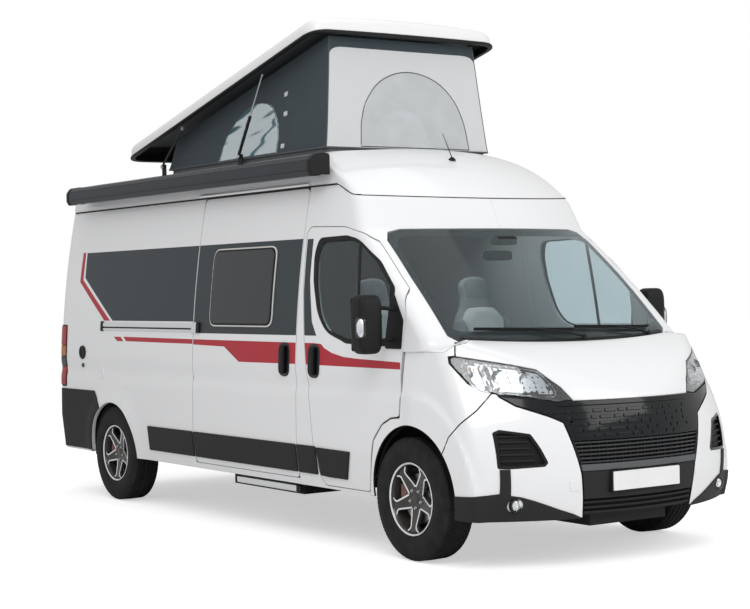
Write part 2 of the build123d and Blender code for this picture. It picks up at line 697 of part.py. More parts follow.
# ---------------------------------------------------------------- cab inside
def dashboard():
    """Dashboard across the cab, with the steering column on the left."""
    shape = INNER & slab((-330, 80), (860, 1290), (-900, 900))
    profile = [(-700, 860), (20, 860), (80, 1120), (20, 1240), (-300, 1290), (-700, 1290)]
    shape = shape & side_view(profile)
    return shape - DOOR_SPACE - rings_of_doors()


def cab_seat(centre_x):
    """One cab chair: plinth, cushion, back and headrest in one closed form."""
    x = (centre_x - 240, centre_x + 240)
    plinth = slab((560, 960), (FLOOR_Z, 760), (centre_x - 200, centre_x + 200))
    cushion = fillet(slab((500, 1010), (760, 900), x).edges(), 40)
    back = fillet(slab((960, 1100), (860, 1520), x).edges(), 40)
    back = Pos(0, station(1000), 880) * Rot(-14, 0, 0) * Pos(0, -station(1000), -880) * back
    rest = fillet(slab((1130, 1220), (1540, 1730), (centre_x - 140, centre_x + 140)).edges(), 30)
    post = slab((1150, 1190), (1440, 1600), (centre_x - 60, centre_x + 60))
    return plinth + cushion + back + rest + post


def steering_wheel():
    """Steering wheel rim, three spokes and hub, tilted on the column."""
    wheel = Torus(195, 15)
    wheel += Pos(0, 0, -12) * Cylinder(55, 34)
    for turn in (0, 120, 240):
        wheel += Rot(0, 0, turn - 90) * Pos(120, 0, -6) * Box(160, 34, 12)
    return Pos(STEER_X, station(STEER_AFT), STEER_Z) * Rot(-STEER_TILT, 0, 0) * wheel


def steering_column():
    """Column from the dashboard to the steering wheel's hub."""
    column = Pos(0, 0, -29.3 - 190) * Cylinder(32, 380)
    column = Pos(STEER_X, station(STEER_AFT), STEER_Z) * Rot(-STEER_TILT, 0, 0) * column
    return column


# ---------------------------------------------------------------- lifting roof
def roof_lid():
    """Lifting roof as a crowned tray with a skirt, drawn closed and turned up about its arm pins."""
    tray = slab((0, LID_LENGTH), (0, LID_SKIRT + LID_CROWN), (-LID_HALF_WIDTH, LID_HALF_WIDTH))
    tray = fillet(tray.edges().filter_by(Axis.Z), 140)
    tray = fillet(tray.faces().sort_by(Axis.Z)[-1].edges(), 60)
    hollow = slab((LID_WALL, LID_LENGTH - LID_WALL), (-10, LID_SKIRT + LID_CROWN - LID_WALL),
                  (-LID_HALF_WIDTH + LID_WALL, LID_HALF_WIDTH - LID_WALL))
    hollow = fillet(hollow.edges().filter_by(Axis.Z), 120)
    tray = tray - hollow
    pin = Pos(0, station(LID_PIN_AFT), LID_PIN_Z)
    tray -= pin * Rot(0, 90, 0) * Cylinder(9, 1700)
    lug = slab((LID_PIN_AFT - 30, LID_PIN_AFT + 30), (LID_PIN_Z - 22, LID_SKIRT + LID_CROWN - LID_WALL + 5),
               (-LID_HALF_WIDTH + LID_WALL - 1, -ARM_X - 7))
    lug -= pin * Rot(0, 90, 0) * Cylinder(8 + SEAL_GAP, 1700)
    tray += lug + mirrored(lug)
    tray = Pos(0, -station(LID_PIN_AFT), -LID_PIN_Z) * tray
    return Pos(0, station(ARM_TOP_AFT), ARM_TOP_Z) * Rot(-LID_TILT, 0, 0) * tray


def lift_arms():
    """Two arms between the roof cap and the raised roof."""
    length = hypot(ARM_TOP_AFT - ARM_FOOT_AFT, ARM_TOP_Z - ARM_FOOT_Z)
    lean = degrees(atan2(ARM_TOP_Z - ARM_FOOT_Z, ARM_FOOT_AFT - ARM_TOP_AFT))
    bar = Pos(0, -length / 2, 0) * Box(10, length, 26)
    bar += Rot(0, 90, 0) * Cylinder(16, 10) + Pos(0, -length, 0) * Rot(0, 90, 0) * Cylinder(16, 10)
    bar -= Rot(0, 90, 0) * Cylinder(8 + SEAL_GAP, 30)
    bar = Pos(-ARM_X, 0, 0) * bar
    top_pin = Pos(-ARM_X - 8, -length, 0) * Rot(0, 90, 0) * Cylinder(8, 26)
    arm = bar + top_pin
    arm = Pos(0, station(ARM_FOOT_AFT), ARM_FOOT_Z) * Rot(-lean, 0, 0) * arm
    return both(arm)


def roof_feet():
    """Pivot feet of arms and gas struts on the roof cap."""
    pieces = []
    for aft, z, x in ((ARM_FOOT_AFT, ARM_FOOT_Z, ARM_X), (STRUT_FOOT_AFT, STRUT_FOOT_Z, STRUT_X)):
        foot = slab((aft - 28, aft + 28), (2480, z + 16), (-x + 13, -x + 23)) - OUTER
        pin = rod_x(aft, z, 8, -x - 6, -x + 23)
        pieces += [s for s in (foot + pin).solids() if s.volume > 500]
    return pieces + [mirrored(piece) for piece in pieces]


def strut_frame(piece):
    """Turn a strut piece drawn downwards from its foot along -Y into its raised place."""
    lean = degrees(atan2(STRUT_EYE_Z - STRUT_FOOT_Z, STRUT_FOOT_AFT - STRUT_EYE_AFT))
    return Pos(-STRUT_X, station(STRUT_FOOT_AFT), STRUT_FOOT_Z) * Rot(-lean, 0, 0) * piece


def strut_length():
    """Distance between the strut's two eyes when the roof is up."""
    return hypot(STRUT_EYE_AFT - STRUT_FOOT_AFT, STRUT_EYE_Z - STRUT_FOOT_Z)


def strut_barrel():
    """Lower tube of the right gas strut with its eye."""
    tube = Pos(0, -STRUT_BARREL / 2, 0) * Rot(90, 0, 0) * Cylinder(12, STRUT_BARREL)
    tube -= Pos(0, -STRUT_BARREL / 2 - 20, 0) * Rot(90, 0, 0) * Cylinder(6, STRUT_BARREL)
    tube += Rot(0, 90, 0) * Cylinder(15, 12)
    tube -= Rot(0, 90, 0) * Cylinder(8 + SEAL_GAP, 40)
    return strut_frame(tube)


def strut_rod():
    """Sliding rod of the right gas strut, with an open eye beside the roof's skirt."""
    length = strut_length()
    start = STRUT_BARREL - STRUT_OVERLAP
    rod = Pos(0, -(start + length) / 2, 0) * Rot(90, 0, 0) * Cylinder(6 - SEAL_GAP, length - start)
    rod += Pos(0, -length, 0) * Rot(0, 90, 0) * Cylinder(12, 10)
    return strut_frame(rod)


def tent():
    """Cloth between the roof cap and the raised roof: a hollow wedge."""
    def lid_z(aft):
        """Height of the raised roof's lower edge at a station."""
        return ARM_TOP_Z + (ARM_TOP_AFT - aft) * sin(radians(LID_TILT)) / cos(radians(LID_TILT))
    foot = GUTTER_Z + 170
    front, rear = TENT_FRONT_AFT, TENT_REAR_AFT
    side = [(front, foot), (rear, foot), (rear, lid_z(rear) - 12), (front, lid_z(front) - 12)]
    inner_front, inner_rear = front + TENT_CLOTH, rear - TENT_CLOTH
    inner = [(inner_front, foot - 10), (inner_rear, foot - 10)]
    inner += [(inner_rear, lid_z(rear) + 50), (inner_front, lid_z(front) + 50)]
    half = TENT_HALF_WIDTH - TENT_CLOTH
    outer_shape = along_x(outline([(station(a), z) for a, z in side]), -TENT_HALF_WIDTH, TENT_HALF_WIDTH)
    inner_shape = along_x(outline([(station(a), z) for a, z in inner]), -half, half)
    return outer_shape - inner_shape - OUTER - roof_rim()


def roof_rim():
    """Upstand around the hatch that the closed roof seals on."""
    rim = slab((TENT_FRONT_AFT + 12, TENT_REAR_AFT - 12), (2480, LID_CLOSED_Z - 6), (-RIM_HALF, RIM_HALF))
    rim -= slab((TENT_FRONT_AFT + 42, TENT_REAR_AFT - 42), (2400, 2700), (-RIM_HALF + 30, RIM_HALF - 30))
    return rim


# ---------------------------------------------------------------- fittings outside
def awning():
    """Awning housing along the right roof edge, on two brackets."""
    section = [(-1050, 2375), (-1020, 2366), (-905, 2366), (-905, 2500)]
    section += [(-930, 2512), (-1010, 2508), (-1050, 2480)]
    housing = along_y(outline(section), station(980), station(4720))
    pieces = [housing]
    for aft in (1150, 2800, 4450):
        bracket = slab((aft - 30, aft + 30), (2400, 2460), (-905, -700)) - OUTER
        pieces.append(max(bracket.solids(), key=lambda s: s.volume))
    return pieces


def slide_rail():
    """Rail of the sliding door on the rear quarter."""
    rail = (envelope(-10) - OUTER) & slab((2690, 4190), (1345, 1405), (-1200, -600))
    return rail


def side_step():
    """Housing of the step under the sliding door, and the step board."""
    housing = slab((1270, 2190), (285, FLOOR_FOOT_Z), (-960, -560))
    housing -= slab((1290, 2170), (296, 345), (-1100, -580))
    board = slab((1295, 2165), (296 + SEAL_GAP, 340), (-975, -600))
    return housing, board


def rear_bumper():
    """Rear step and corner bumpers."""
    layer = envelope(-BUMPER_OUT) - OUTER
    ring = layer & slab((4370, REAR_AFT + 60), BUMPER_Z)
    beside_door = (-OUTSIDE, -REAR_DOOR_HALF_WIDTH - 8)
    corner = layer & slab((4330, REAR_AFT + 60), (BUMPER_Z[0], BUMPER_CORNER_TOP_Z), beside_door)
    whole = ring + corner + mirrored(corner)
    return whole - REAR_WELL


def rear_lamps():
    """Upright rear lamps on the corner posts."""
    beside_door = (-OUTSIDE, -REAR_DOOR_HALF_WIDTH - 8)
    lamp = (envelope(-LAMP_OUT) - OUTER) & slab((REAR_AFT - 70, REAR_AFT + 40), REAR_LAMP_Z, beside_door)
    return both(lamp)


def number_plate():
    """Blank plate on the front panel."""
    front = station(-FRONT_OVERHANG)
    x = (-PLATE_HALF_WIDTH, PLATE_HALF_WIDTH)
    return block(x, (front, front + PLATE_THICKNESS), (PLATE_FOOT_Z, PLATE_TOP_Z))


def engine_block():
    """Engine and gearbox as one mass on the subframe."""
    return slab((-780, -440), (SUBFRAME_TOP_Z, 930), (-330, 330))


def fuel_tank():
    """Tank under the floor."""
    return slab((1300, 2300), (250, FLOOR_FOOT_Z), (60, 560))


def wipers():
    """Two wiper arms with blades, parked at the foot of the windshield."""
    low, high = WIPER_Z
    layer = envelope(-WIPER_OUT) - envelope(WINDSHIELD_INSET - SEAL_GAP)
    layer = layer & side_view([(-900, low), (600, low), (600, high), (-900, high)])
    return [layer & slab((-900, 200), (1300, 1500), span) for span in WIPER_SPANS]


def write_parts():
    """Build every piece and write it to parts/."""
    os.makedirs("parts", exist_ok=True)
    save("cab_frame", cab_frame())
    wall = side_wall()
    save("side_right", wall)
    left = mirrored(wall) + (SHELL & mirrored(SLIDE_DOOR))
    save("side_left", left)
    save("high_roof", high_roof())
    save("floor_pan", floor_pan())
    save("bulkhead", *bulkhead())
    save("headlamps", headlamps())
    save("front_mask", front_mask())
    save("front_bumper", front_bumper())
    save("fenders", *fenders())
    save("bonnet", bonnet())
    save("windshield", windshield())
    save("sliding_door", sliding_door())
    save("slide_window", slide_window())
    door, glass, mirror_head, back_door = cab_door(), cab_glass(), mirror_housing(), rear_door()
    for side, turn in (("right", lambda s: s), ("left", mirrored)):
        save(f"cab_door_{side}", turn(door))
        save(f"door_glass_{side}", turn(glass))
        save(f"mirror_{side}", turn(mirror_head))
        save(f"rear_door_{side}", turn(back_door))
        save(f"knuckle_{side}", turn(knuckle()))
        save(f"strut_barrel_{side}", turn(strut_barrel()))
        save(f"strut_rod_{side}", turn(strut_rod()))
    for end, axle_y, track in (("front", station(0), TRACK_FRONT), ("rear", REAR_AXLE_Y, TRACK_REAR)):
        for side, sign in (("right", -1), ("left", 1)):
            save(f"tyre_{end}_{side}", tyre_at(sign * track / 2, axle_y))
            save(f"rim_{end}_{side}", *placed_wheel(sign * track / 2, axle_y))
    save("front_subframe", front_subframe())
    save("rear_axle", rear_axle())
    save("dashboard", dashboard() + steering_column())
    save("cab_seats", cab_seat(-430), cab_seat(430))
    save("steering_wheel", steering_wheel())
    save("roof_lid", roof_lid())
    save("lift_arms", *lift_arms())
    save("roof_feet", *roof_feet())
    save("tent", tent())
    save("awning", *awning())
    save("slide_rail", slide_rail())
    housing, board = side_step()
    save("step_housing", housing)
    save("step_board", board)
    save("rear_bumper", rear_bumper())
    save("rear_lamps", *rear_lamps())
    save("number_plate", number_plate())
    save("engine_block", engine_block())
    save("fuel_tank", fuel_tank())
    save("wipers", *wipers())


write_parts()
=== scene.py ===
"""Looks of a high-roof camper van with a lifting roof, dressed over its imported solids.

Metres, Z up, the front faces -Y and the van's right side is at -X. "aft" is the distance behind
the front axle. Each sub-assembly is a class that holds its sizes and builds its own meshes.
"""

import json
import logging
import math
from dataclasses import dataclass
from enum import Enum
from typing import Callable, Iterable, NamedTuple, Sequence

import bmesh
import bpy
import numpy as np
from mathutils import Matrix, Vector
from mathutils.geometry import delaunay_2d_cdt

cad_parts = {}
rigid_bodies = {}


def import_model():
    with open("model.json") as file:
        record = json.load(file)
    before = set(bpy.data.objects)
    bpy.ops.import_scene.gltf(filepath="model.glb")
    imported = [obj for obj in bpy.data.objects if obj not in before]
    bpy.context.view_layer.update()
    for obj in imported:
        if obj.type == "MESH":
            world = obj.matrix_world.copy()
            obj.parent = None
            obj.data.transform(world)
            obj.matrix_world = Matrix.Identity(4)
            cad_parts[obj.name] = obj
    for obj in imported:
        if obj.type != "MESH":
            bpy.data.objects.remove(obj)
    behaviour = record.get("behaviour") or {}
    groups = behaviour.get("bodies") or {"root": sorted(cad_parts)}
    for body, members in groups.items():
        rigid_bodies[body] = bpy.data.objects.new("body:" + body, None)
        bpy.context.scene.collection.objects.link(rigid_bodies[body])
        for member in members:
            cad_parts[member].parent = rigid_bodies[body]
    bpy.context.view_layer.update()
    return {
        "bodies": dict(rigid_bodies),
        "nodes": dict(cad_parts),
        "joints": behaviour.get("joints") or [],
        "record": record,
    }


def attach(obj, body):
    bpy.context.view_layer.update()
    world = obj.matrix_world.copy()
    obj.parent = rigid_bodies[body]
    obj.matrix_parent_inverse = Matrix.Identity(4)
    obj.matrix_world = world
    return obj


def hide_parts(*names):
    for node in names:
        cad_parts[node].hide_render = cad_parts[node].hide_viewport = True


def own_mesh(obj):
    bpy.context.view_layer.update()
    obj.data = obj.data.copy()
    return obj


LOG = logging.getLogger("camper")
AXLE_Y = -2.040
TURN = 2 * math.pi
Array = np.ndarray
Surface = Callable[[Array, Array], Array]


def station(aft: Array) -> Array:
    """Y of a place that lies this far behind the front axle."""
    return np.asarray(aft, float) + AXLE_Y


# ------------------------------------------------------------------ plane curves
def arc_through(a: Sequence, b: Sequence, c: Sequence, count: int = 32) -> Array:
    """Points of the circle arc from a through b to c.

    The centre is where the perpendicular bisectors of ab and bc meet, and the angle runs evenly.

    Args:
        a: First end.
        b: A point between.
        c: Last end.
        count: Number of points.

    Returns:
        Points, one row each.
    """
    a, b, c = (np.asarray(p, float) for p in (a, b, c))
    lhs = 2 * np.array([b - a, c - b])
    centre = np.linalg.solve(lhs, [b @ b - a @ a, c @ c - b @ b])
    ends = [math.atan2(*(p - centre)[::-1]) for p in (a, b, c)]
    turn = (ends[2] - ends[0] + math.pi) % TURN - math.pi
    angle = ends[0] + np.linspace(0, turn, count)
    return centre + np.hypot(*(a - centre)) * np.stack([np.cos(angle), np.sin(angle)], 1)


def rounded(corners: Sequence, radius: float | Sequence[float], count: int = 7) -> Array:
    """Closed outline whose corners are parabolas: (1-t)^2 A + 2t(1-t) P + t^2 B on each corner P.

    Args:
        corners: Corner points in order.
        radius: Corner radius, one for all or one each.
        count: Points on each corner.

    Returns:
        Points of the outline, one row each.
    """
    p = np.asarray(corners, float)
    before, after = np.roll(p, 1, 0) - p, np.roll(p, -1, 0) - p
    la, lb = np.linalg.norm(before, axis=1), np.linalg.norm(after, axis=1)
    cosine = np.clip((before * after).sum(1) / (la * lb), -0.999, 0.999)
    reach = np.broadcast_to(radius, len(p)) * np.sqrt((1 + cosine) / (1 - cosine))
    reach = np.minimum(reach, 0.47 * np.minimum(la, lb))[:, None]
    a, b = p + before / la[:, None] * reach, p + after / lb[:, None] * reach
    t = np.linspace(0, 1, count)[None, :, None]
    curve = (1 - t) ** 2 * a[:, None] + 2 * t * (1 - t) * p[:, None] + t**2 * b[:, None]
    return curve.reshape(-1, 2)


def box(low: float, high: float, foot: float, top: float, radius: float | Sequence = 0.0,
        count: int = 7) -> Array:
    """Rectangle between two widths and two heights, with round corners if a radius is given."""
    corners = [(low, foot), (high, foot), (high, top), (low, top)]
    return rounded(corners, radius, count) if radius else np.array(corners, float)


def resampled(points: Array, step: float, closed: bool = True) -> Array:
    """The same polyline with points added so that no run is longer than the step.

    Args:
        points: Points, one row each.
        step: Longest run.
        closed: Whether the last point joins the first.

    Returns:
        Points, one row each.
    """
    p = np.asarray(points, float)
    q = np.roll(p, -1, 0) if closed else p[1:]
    start = p if closed else p[:-1]
    length = np.linalg.norm(q - start, axis=1)
    keep = length > 1e-6
    start, q, length = start[keep], q[keep], length[keep]
    runs = [
        a + (b - a) * np.linspace(0, 1, max(1, math.ceil(n / step)), endpoint=False)[:, None]
        for a, b, n in zip(start, q, length)
    ]
    return np.concatenate(runs + ([] if closed else [p[-1:]]))


def inside(points: Array, outline: Array) -> Array:
    """True for the points within the outline, by the even-odd rule over all edges at once.

    Args:
        points: Points, one row each.
        outline: Plane loop.

    Returns:
        One truth value a point.
    """
    a, b = outline[None], np.roll(outline, -1, 0)[None]
    x, y = points[:, None, 0], points[:, None, 1]
    rise = np.where(a[..., 1] == b[..., 1], 1e-12, b[..., 1] - a[..., 1])
    crossing = a[..., 0] + (y - a[..., 1]) / rise * (b[..., 0] - a[..., 0])
    return (((a[..., 1] > y) != (b[..., 1] > y)) & (x < crossing)).sum(1) % 2 == 1


def trimmed(outline: Array, holes: Sequence[Array], step: float) -> tuple[Array, Array]:
    """Triangles that fill an outline round its holes, on a square grid of inner points.

    Args:
        outline: Outer loop.
        holes: Inner loops.
        step: Grid spacing.

    Returns:
        Plane points and triangles.
    """
    loops = [resampled(loop, step) for loop in (outline, *holes)]
    rim = np.concatenate(loops)
    low, high = outline.min(0), outline.max(0)
    axes = [np.arange(math.floor(a / step), math.ceil(b / step) + 1) * step for a, b in zip(low, high)]
    grid = np.stack(np.meshgrid(*axes), -1).reshape(-1, 2) + 1e-4
    within = inside(grid, loops[0])
    for hole in loops[1:]:
        within &= ~inside(grid, hole)
    grid = grid[within]
    if len(grid):
        near = np.sqrt(((grid[:, None] - rim[None]) ** 2).sum(2).min(1))
        grid = grid[near > 0.45 * step]
    edges, first = [], 0
    for loop in loops:
        index = first + np.arange(len(loop))
        edges += list(zip(index.tolist(), np.roll(index, -1).tolist()))
        first += len(loop)
    points = [Vector(p) for p in np.concatenate([rim, grid])]
    made, _, faces, *_ = delaunay_2d_cdt(points, edges, [], 0, 1e-7)
    flat, tris = np.array([tuple(p) for p in made]), np.array(faces)
    middle = flat[tris].mean(1)
    keep = inside(middle, loops[0])
    for hole in loops[1:]:
        keep &= ~inside(middle, hole)
    return flat, tris[keep]


def smooth_max(a: Array, b: Array, width: float) -> Array:
    """The larger of two values, with the change-over rounded: (a + b + sqrt((a-b)^2 + w^2)) / 2."""
    return (a + b + np.sqrt((a - b) ** 2 + width**2) - width) / 2


def smooth_step(value: Array, low: float, high: float) -> Array:
    """0 below low, 1 above high and 3t^2 - 2t^3 between."""
    t = np.clip((np.asarray(value, float) - low) / (high - low), 0, 1)
    return t * t * (3 - 2 * t)


# ------------------------------------------------------------------ body surfaces
@dataclass(frozen=True)
class Plan:
    """Outline of the van seen from above at each height: a bowed front, a corner arc and a side.

    s is the distance along that outline from where the side starts, positive towards the rear.
    """

    corner: float = 0.09

    def ring(self, z: Array) -> tuple[Array, Array, Array, Array]:
        """Half width, Y of the bow's centre, bow radius and corner radius at a height."""
        raise NotImplementedError

    def turn(self, z: Array) -> tuple[Array, Array, Array, Array, Array, Array]:
        """The ring, with the corner's centre in X and Y from the bow's centre, and its angle.

        Args:
            z: Height.

        Returns:
            Half width, bow centre, bow radius, corner radius, corner centre and corner angle.
        """
        half, centre_y, bow, corner = self.ring(z)
        cx = half - corner
        cy = -np.sqrt(np.maximum((bow - corner) ** 2 - cx**2, 1e-9))
        return half, centre_y, bow, corner, cy, np.arctan2(-cy, cx)

    def point(self, s: Array, z: Array) -> Array:
        """Place on the right side: x = -half on the side, then the corner's circle, then the bow.

        Args:
            s: Distance along the outline.
            z: Height.

        Returns:
            Points, X, Y and Z in the last axis.
        """
        half, centre_y, bow, corner, cy, angle = self.turn(z)
        along = np.minimum(-np.minimum(s, 0) / corner, angle)
        beyond = np.maximum(-s - corner * angle, 0) / bow
        x = half - corner + corner * np.cos(along)
        y = cy - corner * np.sin(along) + np.maximum(s, 0)
        on_bow = -s > corner * angle
        x = np.where(on_bow, bow * np.cos(angle + beyond), x)
        y = np.where(on_bow, -bow * np.sin(angle + beyond), y)
        return np.stack([-x, y + centre_y, np.broadcast_to(z, np.shape(x))], -1)

    def s_from_y(self, y: Array, z: Array) -> Array:
        """Distance along the outline of the place with this Y.

        Args:
            y: Y.
            z: Height.

        Returns:
            Distance along the outline.
        """
        _, centre_y, bow, corner, cy, angle = self.turn(z)
        y = y - centre_y
        on_corner = -corner * np.arcsin(np.clip((cy - y) / corner, 0, 1))
        on_bow = -(corner * angle + bow * (np.arcsin(np.clip(-y / bow, -1, 1)) - angle))
        return np.where(y >= cy, y - cy, np.where(y >= -bow * np.sin(angle), on_corner, on_bow))

    def s_from_x(self, x: Array, z: Array) -> Array:
        """Distance along the outline of the place at this distance from the centre line.

        Args:
            x: Distance from the centre line.
            z: Height.

        Returns:
            Distance along the outline.
        """
        half, _, bow, corner, _, angle = self.turn(z)
        on_corner = -corner * np.arccos(np.clip((x - half + corner) / corner, -1, 1))
        on_bow = -(corner * angle + bow * (np.arccos(np.clip(x / bow, -1, 1)) - angle))
        return np.where(x >= bow * np.cos(angle), on_corner, on_bow)

    def from_side(self, points: Sequence, step: float = 0.03, closed: bool = True) -> Array:
        """Line given as (aft, z) turned into (s, z)."""
        p = resampled(np.asarray(points, float), step, closed)
        return np.stack([self.s_from_y(station(p[:, 0]), p[:, 1]), p[:, 1]], 1)

    def from_front(self, points: Sequence, step: float = 0.02, closed: bool = True) -> Array:
        """Line given as (x, z), x positive, turned into (s, z)."""
        p = resampled(np.asarray(points, float), step, closed)
        return np.stack([self.s_from_x(p[:, 0], p[:, 1]), p[:, 1]], 1)

    def front(self, x: Array, z: Array) -> Array:
        """Place on the front face at this X and height.

        Args:
            x: X, of either sign.
            z: Height.

        Returns:
            Points, X, Y and Z in the last axis.
        """
        return self.point(self.s_from_x(np.abs(x), z), z) * [1, 1, 1] + np.stack(
            [x + np.abs(x), np.zeros_like(x), np.zeros_like(x)], -1
        )


@dataclass(frozen=True)
class Body(Plan):
    """Cab, load space and roof cap: sides by the width section, front by the bowed profile."""

    bow_aft: float = 2.250
    rear_aft: float = 5.036
    rear_corner: float = 0.09
    roof_z: float = 2.580

    def width_line(self) -> Array:
        """Half width against height: lower side, crease, curved upper side and roof edge.

        Returns:
            Rows of half width and height.
        """
        lower = [(0.995, 0.355), (1.025, 0.640), (1.021, 0.970), (1.009, 1.010)]
        upper = arc_through((1.019, 1.100), (0.970, 1.705), (0.870, 2.310), 40)
        edge = arc_through((0.870, 2.310), (0.815, 2.475), (0.620, 2.558), 40)
        crown = [(0.3, 2.5722), (0.0, self.roof_z)]
        return np.concatenate([lower, upper, edge[1:], crown])

    def front_line(self) -> Array:
        """Station of the front against height: glass, header and dome.

        Returns:
            Rows of station and height.
        """
        glass = arc_through((-0.400, 1.308), (-0.032, 1.6685), (0.360, 2.005), 40)
        dome = arc_through((0.457, 2.204), (0.770, 2.437), (1.250, 2.592), 40)
        return np.concatenate([[(-0.4, 0.3)], glass, dome])

    def ring(self, z: Array) -> tuple[Array, Array, Array, Array]:
        """Half width, bow centre, bow radius and corner radius; the corner shrinks near the top.

        Args:
            z: Height.

        Returns:
            The four values at that height.
        """
        wide, ahead = self.width_line(), self.front_line()
        half = np.interp(z, wide[:, 1], wide[:, 0])
        bow = self.bow_aft - np.interp(z, ahead[:, 1], ahead[:, 0])
        return half, station(self.bow_aft), bow, np.minimum(self.corner, 0.45 * half + 0.001)

    def rear_y(self, z: Array) -> Array:
        """Y of the rear face, rolled over at the top on a circle.

        Args:
            z: Height.

        Returns:
            Y of the face.
        """
        r = self.rear_corner
        over = np.clip(np.asarray(z, float) - (self.roof_z + 0.005 - r), 0, r)
        return station(self.rear_aft) - r + np.sqrt(r**2 - over**2)

    def side(self, aft: Array, z: Array) -> Array:
        """Place on the right side seen from the side, rolled in at the rear corner.

        Args:
            aft: Station behind the front axle.
            z: Height.

        Returns:
            Points, X, Y and Z in the last axis.
        """
        y = station(aft)
        p = self.point(self.s_from_y(y, z), z)
        r = self.rear_corner
        over = np.clip(y - (self.rear_y(z) - r), 0, r)
        p[..., 0] += r - np.sqrt(r**2 - over**2)
        return p

    def rear(self, x: Array, z: Array) -> Array:
        """Place on the rear face at this X and height, rolled forward at the corner.

        Args:
            x: X.
            z: Height.

        Returns:
            Points, X, Y and Z in the last axis.
        """
        half = self.ring(z)[0]
        r = self.rear_corner
        over = np.clip(np.abs(x) - (half - r), 0, r)
        return np.stack([x, self.rear_y(z) - r + np.sqrt(r**2 - over**2), z + 0 * x], -1)


@dataclass(frozen=True)
class Nose(Plan):
    """Bumper, grille, fenders and bonnet: plan outlines blended in height, cut by a crest line."""

    corner: float = 0.13

    def ring(self, z: Array) -> tuple[Array, Array, Array, Array]:
        """The bow passes through the front at the centre line and at 0.9 m beside it.

        Args:
            z: Height.

        Returns:
            Half width, bow centre, bow radius and corner radius.
        """
        heights = [0.292, 0.540, 0.800, 1.000, 1.450]
        centre = np.polyfit(heights, [-0.922, -0.958, -0.948, -0.895, -0.660], 4)
        edge = np.polyfit(heights, [-0.640, -0.690, -0.650, -0.560, -0.300], 4)
        side = np.polyfit(heights, [1.000, 1.018, 1.025, 1.020, 0.985], 4)
        front, beside = np.polyval(centre, z), np.polyval(edge, z)
        rise = beside - front
        bow = (0.9**2 + rise**2) / (2 * rise)
        half = np.minimum(np.polyval(side, z), 1.025)
        return half, station(front + bow), bow, np.broadcast_to(self.corner, np.shape(z))

    def crest_line(self) -> Array:
        """Station of the bonnet's centre line against height.

        Returns:
            Points, one row each.
        """
        rise = arc_through((-0.930, 0.978), (-0.720, 1.150), (-0.400, 1.300), 40)
        return np.concatenate([[(-0.97, 0.2), (-0.962, 0.9), (-0.95, 0.95)], rise,
                               [(-0.120, 1.372), (0.200, 1.400)]])

    def crest_y(self, z: Array) -> Array:
        """Y of the bonnet's centre line at a height."""
        line = self.crest_line()
        return station(np.interp(z, line[:, 1], line[:, 0]))

    def point(self, s: Array, z: Array) -> Array:
        """Place on the right side, held behind the crest line with a soft change-over.

        Args:
            s: Distance along the outline.
            z: Height.

        Returns:
            Points, X, Y and Z in the last axis.
        """
        p = super().point(s, z)
        p[..., 1] = smooth_max(p[..., 1], self.crest_y(z), 0.03 + 0 * p[..., 1])
        return p


BODY = Body()
NOSE = Nose()


class Arch(NamedTuple):
    """Wheel arch in side view: its centre, aft and in height, and its radius."""

    aft: float
    z: float
    radius: float


FRONT_ARCH = Arch(-0.025, 0.404, 0.412)
REAR_ARCH = Arch(4.025, 0.376, 0.397)


# ------------------------------------------------------------------ shader values
class Value:
    """A shader socket that takes part in plain arithmetic; each operator adds its Math node."""

    def __init__(self, shader: "Shader", socket: bpy.types.NodeSocket) -> None:
        """Wrap an output socket of the shader's node tree."""
        self.shader, self.socket = shader, socket

    def math(self, operation: str, *others: "Value | float") -> "Value":
        """This value put through one Math node with up to two others."""
        return self.shader.node("ShaderNodeMath", {"operation": operation}, dict(enumerate((self, *others))))

    def __add__(self, other: "Value | float") -> "Value":
        """Sum."""
        return self.math("ADD", other)

    __radd__ = __add__

    def __mul__(self, other: "Value | float") -> "Value":
        """Product."""
        return self.math("MULTIPLY", other)

    __rmul__ = __mul__

    def __sub__(self, other: "Value | float") -> "Value":
        """Difference."""
        return self.math("SUBTRACT", other)

    def __rsub__(self, other: float) -> "Value":
        """Difference the other way round."""
        return (self * -1) + other

    def __truediv__(self, other: float) -> "Value":
        """Quotient by a number."""
        return self * (1 / other)

    def band(self, low: float, high: float) -> "Value":
        """0 below low, 1 above high and a straight rise between, held within both."""
        limits = {"From Min": low, "From Max": high}
        return self.shader.node("ShaderNodeMapRange", {"clamp": True}, {"Value": self, **limits})

    def wave(self, pitch: float) -> "Value":
        """Sine of this length, one turn each pitch, from 0 to 1."""
        return (self * (TURN / pitch)).math("SINE") * 0.5 + 0.5


